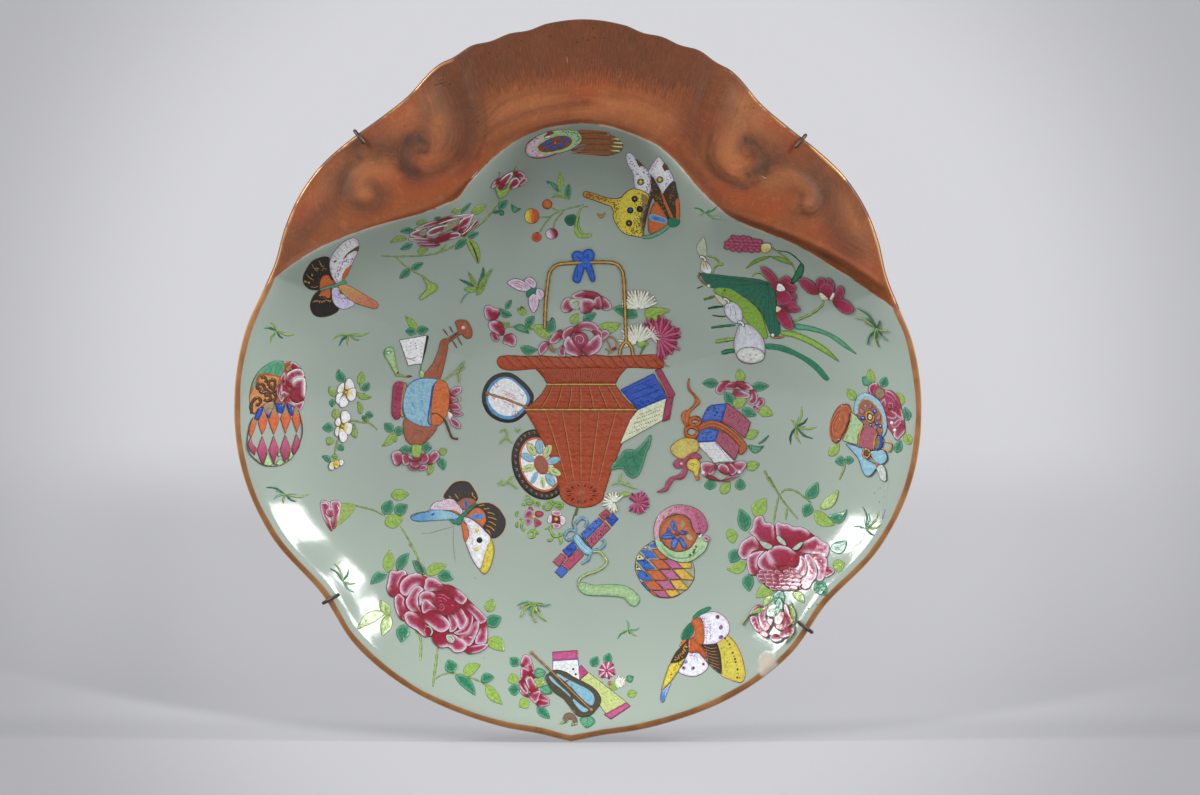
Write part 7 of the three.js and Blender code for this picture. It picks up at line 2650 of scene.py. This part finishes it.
# %% Butterfly by the scrolls
on(655, 600, 14.25)
fill("540,240 620,160 740,103 802,108 770,150 640,220 560,280", "emerald", "dark_leaf", width=0.6)
fill("370,540 400,440 500,330 542,360 542,460 490,542 420,572", rimmed("emerald", tone(34, 96, 70)), "ink")
fill("350,660 390,580 445,568 440,622", "orange", "umber", width=0.6)
fill("880,622 950,560 1020,508 1082,540 1162,640 1232,790 1272,950 1282,1090 1232,1172 1150,1162 "
     "1040,1122 950,1072 930,960 900,800", rimmed(tone(190, 146, 60), tone(190, 178, 72), 3), "umber")
ticks("960,640 1000,780 1010,920 980,1050", "moss", 30, 0.9, 11, 91, 34)
drops("1000,545 1062,632 1105,750 1140,842 1148,882 1175,988 1172,1103", "dark_leaf", 1.2)
drops("1030,580 1075,680 1128,800 1163,930 1180,1045 1205,1105", "orange", 1.0)
fill("655,628 800,618 890,622 942,720 965,860 970,960 942,1052 860,1002 770,922 738,870 735,790 700,710",
     tone(56, 48, 44), "ink")
for k in range(7):
    stroke([(700 + 14 * k, 655 + 44 * k), (790 + 8 * k, 690 + 42 * k), (880 + 8 * k, 680 + 50 * k)],
           "gold", 0.8, 0.5)
fill("638,230 720,188 830,168 932,198 1022,280 1062,380 1042,480 962,562 880,612 780,632 676,622 700,500 "
     "690,370 668,280", rimmed(tone(206, 186, 204), tone(214, 216, 224), 3), "umber")
ticks("690,230 740,330 760,450 760,580", "violet", 60, 0.9, 10, 92, 46)
ticks("780,300 790,420 800,560", "pink", 22, 0.8, 9, 93, 30)
drops("890,240 938,392 935,530", tone(120, 110, 180), 2.2)
painting.lift += 0.03
drops("895,234 942,376 950,520", "rose", 1.5)
fill("468,752 600,745 662,800 757,930 700,1022 600,1077 480,1082 338,1022 400,920 440,820",
     rimmed(tone(206, 186, 204), tone(212, 214, 222), 3), "umber")
ticks("490,770 600,780", "violet", 34, 0.9, 9, 94, 34)
ticks("520,840 620,850", "pink", 14, 0.8, 9, 95, 30)
drops("412,968 540,972 440,880", tone(120, 130, 196), 1.9)
painting.lift += 0.03
drops("405,962 550,965 690,912", "deep", 1.4)
fill("480,560 492,620 470,762 420,832 330,900 222,912 290,760 340,700 430,600", tone(62, 52, 40), "ink")
fill("425,830 390,900 330,1012 230,1152 98,1282 120,1180 160,1050 222,905 330,880",
     rimmed(tone(150, 140, 50), "lemon"), "umber")
ticks("440,640 380,760 290,860", "gold", 30, 0.9, 12, 96, 26)
ticks("350,900 270,1000 200,1100", "umber", 26, 1.0, 10, 97, 26)
fill("222,1178 180,1292 130,1432 95,1457 83,1380 100,1290 150,1250",
     between(tone(150, 180, 214), tone(72, 118, 190), "215,1190", "110,1400"), "umber", width=0.9)
fill("528,290 600,250 662,290 692,370 702,480 692,602 620,642 540,540 562,430 530,350",
     rimmed(tone(160, 78, 40), tone(182, 98, 54), 4), "umber", width=0.7)
fill("488,562 560,540 640,640 700,710 737,800 700,832 620,742 500,752 480,642",
     rimmed(tone(156, 66, 32), tone(180, 92, 48), 4), "umber", width=0.7)
drops("448,668", "lemon", 1.0)

painting.lay("enamels_right", enamel)

# %% [markdown]
# ## The bottom and the sprigs between
#
# A paddle fan over folded pages, with a peony. Tufts of grass, a rosebud and small blossoms fill the gaps,
# as a painter's hand does last.

# %% Paddle fan and pages
on(500, 600, 9.8)
leaves("emerald", ("900,650", "960,555", 95), ("1040,620", "1075,520", 90))
leaves("jade", ("1240,790", "1310,750", 75))
leaves("lime", ("1250,930", "1345,905", 80), ("1150,870", "1060,800", 85))
leaves("jade", ("862,1130", "850,1255", 150), veins=5)
mum("1045,690", 92, ("pink", "rose", "blush"), count=22, width=2.2, heart="rose", seed=11)
mum("1175,805", 62, ("cream", "white"), count=16, width=1.9, heart="cream", seed=12)
drops("1075,815", "pink", 2.2)
quad("768,675 793,637 861,709 781,783", tone(162, 66, 110), "ink")
quad("869,712 1240,1002 1040,1112 785,785", tone(176, 188, 122))
quad("1240,1004 1278,1040 1088,1168 1020,1122", rimmed(tone(150, 60, 96), tone(176, 88, 128), 2))
glyphs((("850,790", "930,760", 3), ("900,850", "1020,800", 4), ("960,930", "1100,880", 5),
        ("1010,1010", "1170,960", 5)), "moss", 101, 0.7, 9)
on(500, 600, 11.61)
leaves("emerald", ("215,760", "115,670", 120), ("225,1045", "95,1035", 140), ("430,1245", "580,1378", 105))
leaves("lime", ("170,975", "135,850", 130), ("330,1165", "225,1240", 130))
quad("610,605 900,584 905,690 616,706", rimmed(tone(152, 56, 96), tone(176, 80, 124), 2))
quad("618,708 905,692 922,945 870,925 790,870 690,820 620,832", tone(206, 208, 210), "cobalt", 1.2)
glyphs((("660,760", "870,740", 4), ("700,790", "880,790", 3), ("780,830", "890,830", 2)), "ink", 102, 0.7, 10)
drops("850,800 878,862", "ink", 1.2)
petals("400,960", "240,762 245,700 270,650 300,635 345,660 372,722 340,742 290,772", reach=5)
petals("330,900", "288,766 340,740 372,735 392,800 372,832 328,802",
       "240,872 245,800 275,783 330,808 395,870 422,897 380,907 320,872 282,922 245,912",
       "218,962 240,930 282,925 300,990 332,1050 312,1092 270,1062 233,1012", reach=4)
petals("330,1060", "298,922 340,890 372,900 412,970 442,1042 400,1072 350,1062 318,1000",
       "228,1030 262,1070 322,1100 332,1132 280,1112 238,1072",
       "328,1092 400,1070 462,1050 472,1100 420,1192 368,1162",
       "458,1090 500,1100 562,1140 572,1182 520,1172 450,1162",
       "418,1202 460,1160 562,1175 562,1217 500,1237 438,1230", reach=5)
leaves("jade", ("395,860", "535,835", 125), ("480,1010", "605,1080", 110))
leaves("lime", ("420,1010", "505,895", 90))
fill("598,832 660,813 760,838 860,898 980,958 1080,1018 1150,1100 1168,1180 1120,1262 1050,1332 960,1352 "
     "880,1322 820,1242 740,1142 640,1072 570,992 533,910 548,865", tone(74, 68, 54), "ink", width=1.2)
fill("622,845 680,840 760,888 880,948 1000,1008 1082,1070 1112,1150 1092,1222 1040,1232 960,1172 "
     "860,1072 740,952 650,882", tone(120, 164, 182), "cobalt", width=1.3)
fill("558,882 598,880 680,968 780,1058 880,1158 980,1238 1032,1270 1012,1302 950,1302 880,1232 800,1122 "
     "700,1032 600,952", tone(124, 166, 184), "cobalt", width=1.3)
stroke("368,608 700,925 1062,1278", "umber", 2.1, 0.1)
painting.lift += 0.03
stroke("368,608 700,925 1062,1278", "tan", 1.4, 0.1)
drops("368,610 1062,1270", "tan", 1.5, "umber")
strokes("ink", 1.1, "745,960 800,925", "850,1050 885,1080")
fill("735,1385 755,1325 820,1308 880,1360 892,1422 830,1455 850,1402 800,1375 765,1425",
     tone(112, 92, 76), "umber", width=0.5)
drops("715,1425 740,1415 850,1440 880,1435", "lime", 1.1, "moss")
grass("400,30", "-200,30 -170,70 -160,170 -40,150 20,235 140,215 190,15 100,20 30,110",
      ("jade", "stem", "lime"), 2.0)

# %% [markdown]
# A rosebud and a few small blossoms close the gaps towards the rim. They come last, so that they lie over
# the leaves round them.

# %% Rosebud and small blossoms
on(245, 470, 7.467)
twig("820,265 960,300 1045,345")
twig("1160,420 1240,550 1290,660")
fill("690,300 720,250 820,262 795,325 730,390 672,425 690,350", rimmed("lime", "stem"), "moss", width=0.6)
petals("650,420", "562,262 575,226 610,232 640,250 636,300 640,380 655,440 640,456 600,390 575,330",
       "640,236 680,226 712,240 718,290 704,350 690,400 662,442 648,380 648,310 640,270",
       "600,300 640,282 674,300 668,342 640,352 612,340", reach=3.4)
# The white strokes are painted glints on the rosebud.
strokes("white", 0.8, "575,252 600,246 625,262", "690,262 704,300 692,350", "600,330 622,362 645,375")
leaves("lime", ("1045,400", "1180,360", 105), ("1090,190", "1225,180", 85))
leaves("emerald", ("1040,330", "1095,225", 90), ("1120,320", "1215,262", 90))
grass("300,180", "-140,-50 180,0 -85,40 85,55 -10,70", ("emerald", "stem", "jade"), 2.0)
grass("730,830", "-95,-95 -65,-135 -30,-90 45,-90 100,15 85,80", ("emerald", "stem", "jade"), 2.0)
on(780, 480, 9.8)
grass("840,480", "-30,-220 135,-180 30,-160 80,-80 160,-50 -120,-20 90,60", ("emerald", "stem", "jade"), 2.0)
on(770, 390, 10.45)
grass("270,380", "60,-205 125,-90 220,5 180,130 50,180 -55,190 -55,-70",
      ("lime", "dark_leaf", "stem", "emerald"), 2.4)
on(240, 300, 8.71)
grass("320,270", "-110,-25 -55,-75 -55,105 55,65 160,30", ("emerald", "stem", "lime"), 2.2)
grass("950,300", "180,-20 95,50 -10,100 -85,100 -145,45", ("lime", "jade", "stem", "emerald"), 2.2)
on(600, 600, 10)
grass("285,300", "-110,90 -70,30 -20,-100 20,40 90,60 110,-20", ("emerald", "stem", "jade"), 1.8)
on(680, 190, 10)
grass("250,230", "-110,-50 -70,30 40,-40 120,-70 130,20 170,60", ("emerald", "stem", "jade"), 1.5)
on(520, 500, 26.13)
for curl in ("150,60 250,105 380,50", "600,140 640,235 740,255 815,180 830,60 780,-20",
             "850,120 950,60 1060,90 1120,150 1050,215 930,175",
             "50,140 130,100 140,160", "420,70 520,100 460,175", "-20,470 60,540 40,700 90,805 125,750",
             "200,880 290,805 375,860 365,950 265,985 205,920",
             "370,740 420,850 500,870", "650,760 760,740 820,850 860,930 970,960 1090,900 1000,850",
             "820,640 800,760 840,900",
             "-60,560 -90,660 -40,720", "880,980 800,1060 700,1040", "1000,1000 1080,1080 1040,1160",
             "-40,300 -100,380 -60,440"):
    stroke(curl, "moss", 3.0, 0.5, 0.03)
    stroke(curl, "lime", 2.4, 0.5, 0.05)
for outline, outer, inner in (("220,200 290,178 342,260 300,302", "rose", "pink"),
                              ("108,402 150,300 260,248 332,310 332,402 280,462 160,472", "blush", "rose"),
                              ("400,330 450,288 582,310 612,370 560,432 460,452 408,402", "rose",
                               tone(176, 56, 76)),
                              ("380,502 430,498 552,570 542,642 460,692 400,712 378,600", "pink",
                               tone(160, 30, 54)),
                              ("138,482 240,478 312,500 290,582 210,662 148,600", "blush", "rose"),
                              ("828,342 850,288 1012,278 1072,322 1062,392 960,422 848,372", "white", "pink"),
                              ("1038,442 1130,428 1192,510 1172,622 1110,662 1058,612", "white", "blush"),
                              ("848,622 930,598 1052,640 1062,702 960,752 878,732", "white", "pink"),
                              ("718,562 750,430 800,388 852,450 842,542 790,602", "white", "blush"),
                              ("835,400 940,430 1040,440 1055,540 1030,625 930,600 850,600 818,520", "deep",
                               tone(120, 20, 40))):
    fill(outline, rimmed(outer, inner, 1.6), "umber", width=0.5)
drops("355,437 945,502", "lemon", 1.7, "umber")
painting.lay("enamels_bottom", enamel)

# %% [markdown]
# ## Marks of the firing and of age
#
# Iron in the clay came through as black specks, mostly on the lip. Small flakes of red have come off at the
# crest. A brown-stained hairline runs in from the rim at the right.

# %% Specks, flakes and the hairline
SPECK_SPOTS = (
    "593,28 594,37 577,42 611,41 603,38 592,50 550,36 652,60 657,44 521,41 498,54 404.8,126 367.7,217 "
    "416.7,216 435,209 466,182 487.6,163 450,84 478,77 745,107 754,108 767,232 489,53 497,56 509,47 583,38 "
    "588,40 592,62 478,122 444,172")
FINE_SPECKS = [(16, (688, 734), (192, 222), tone(116, 112, 84), (0.25, 0.45)),
               (26, (270, 870), (250, 700), tone(118, 110, 88), (0.25, 0.4))]

on(0, 0, 1)
specks = random.Random(23)
for spot in SPECK_SPOTS.split():
    drops(spot, tone(46, 32, 26), specks.uniform(0.35, 0.7))
for count, across, down, colour, sizes in FINE_SPECKS:
    for _ in range(count):
        drops([(specks.uniform(*across), specks.uniform(*down))], colour, specks.uniform(*sizes))
strokes(tone(92, 46, 26), 0.7, "434,85 446,82", "441,81 444,73", "436,79 448,88")
strokes(tone(206, 196, 182), 0.9, "471.5,178 474.5,174.5 478,171.5", "474.5,177.5 477,175", rise=-0.03)
stroke("761.5,175.5 764,177.5 767,178.5", tone(150, 156, 146), 1.3, rise=-0.03)
stroke("567,57 567.3,63", tone(164, 122, 94), 1.2, rise=-0.03)
stroke("876,468 885.5,482 886.3,500 882.7,518.5", tone(146, 142, 146), 2.4, 0.6, -0.035)
strokes(tone(120, 108, 108), 0.5, "879,472 883.6,486 884,502 882.2,519", "889,470 887.6,490 886,506",
        rise=-0.02)
drops("880,488 879.5,502 874.6,493", tone(112, 82, 62), 0.5)
drops("808,608 817,604", tone(96, 74, 58), 0.8)

painting.lay("enamels_marks", enamel)
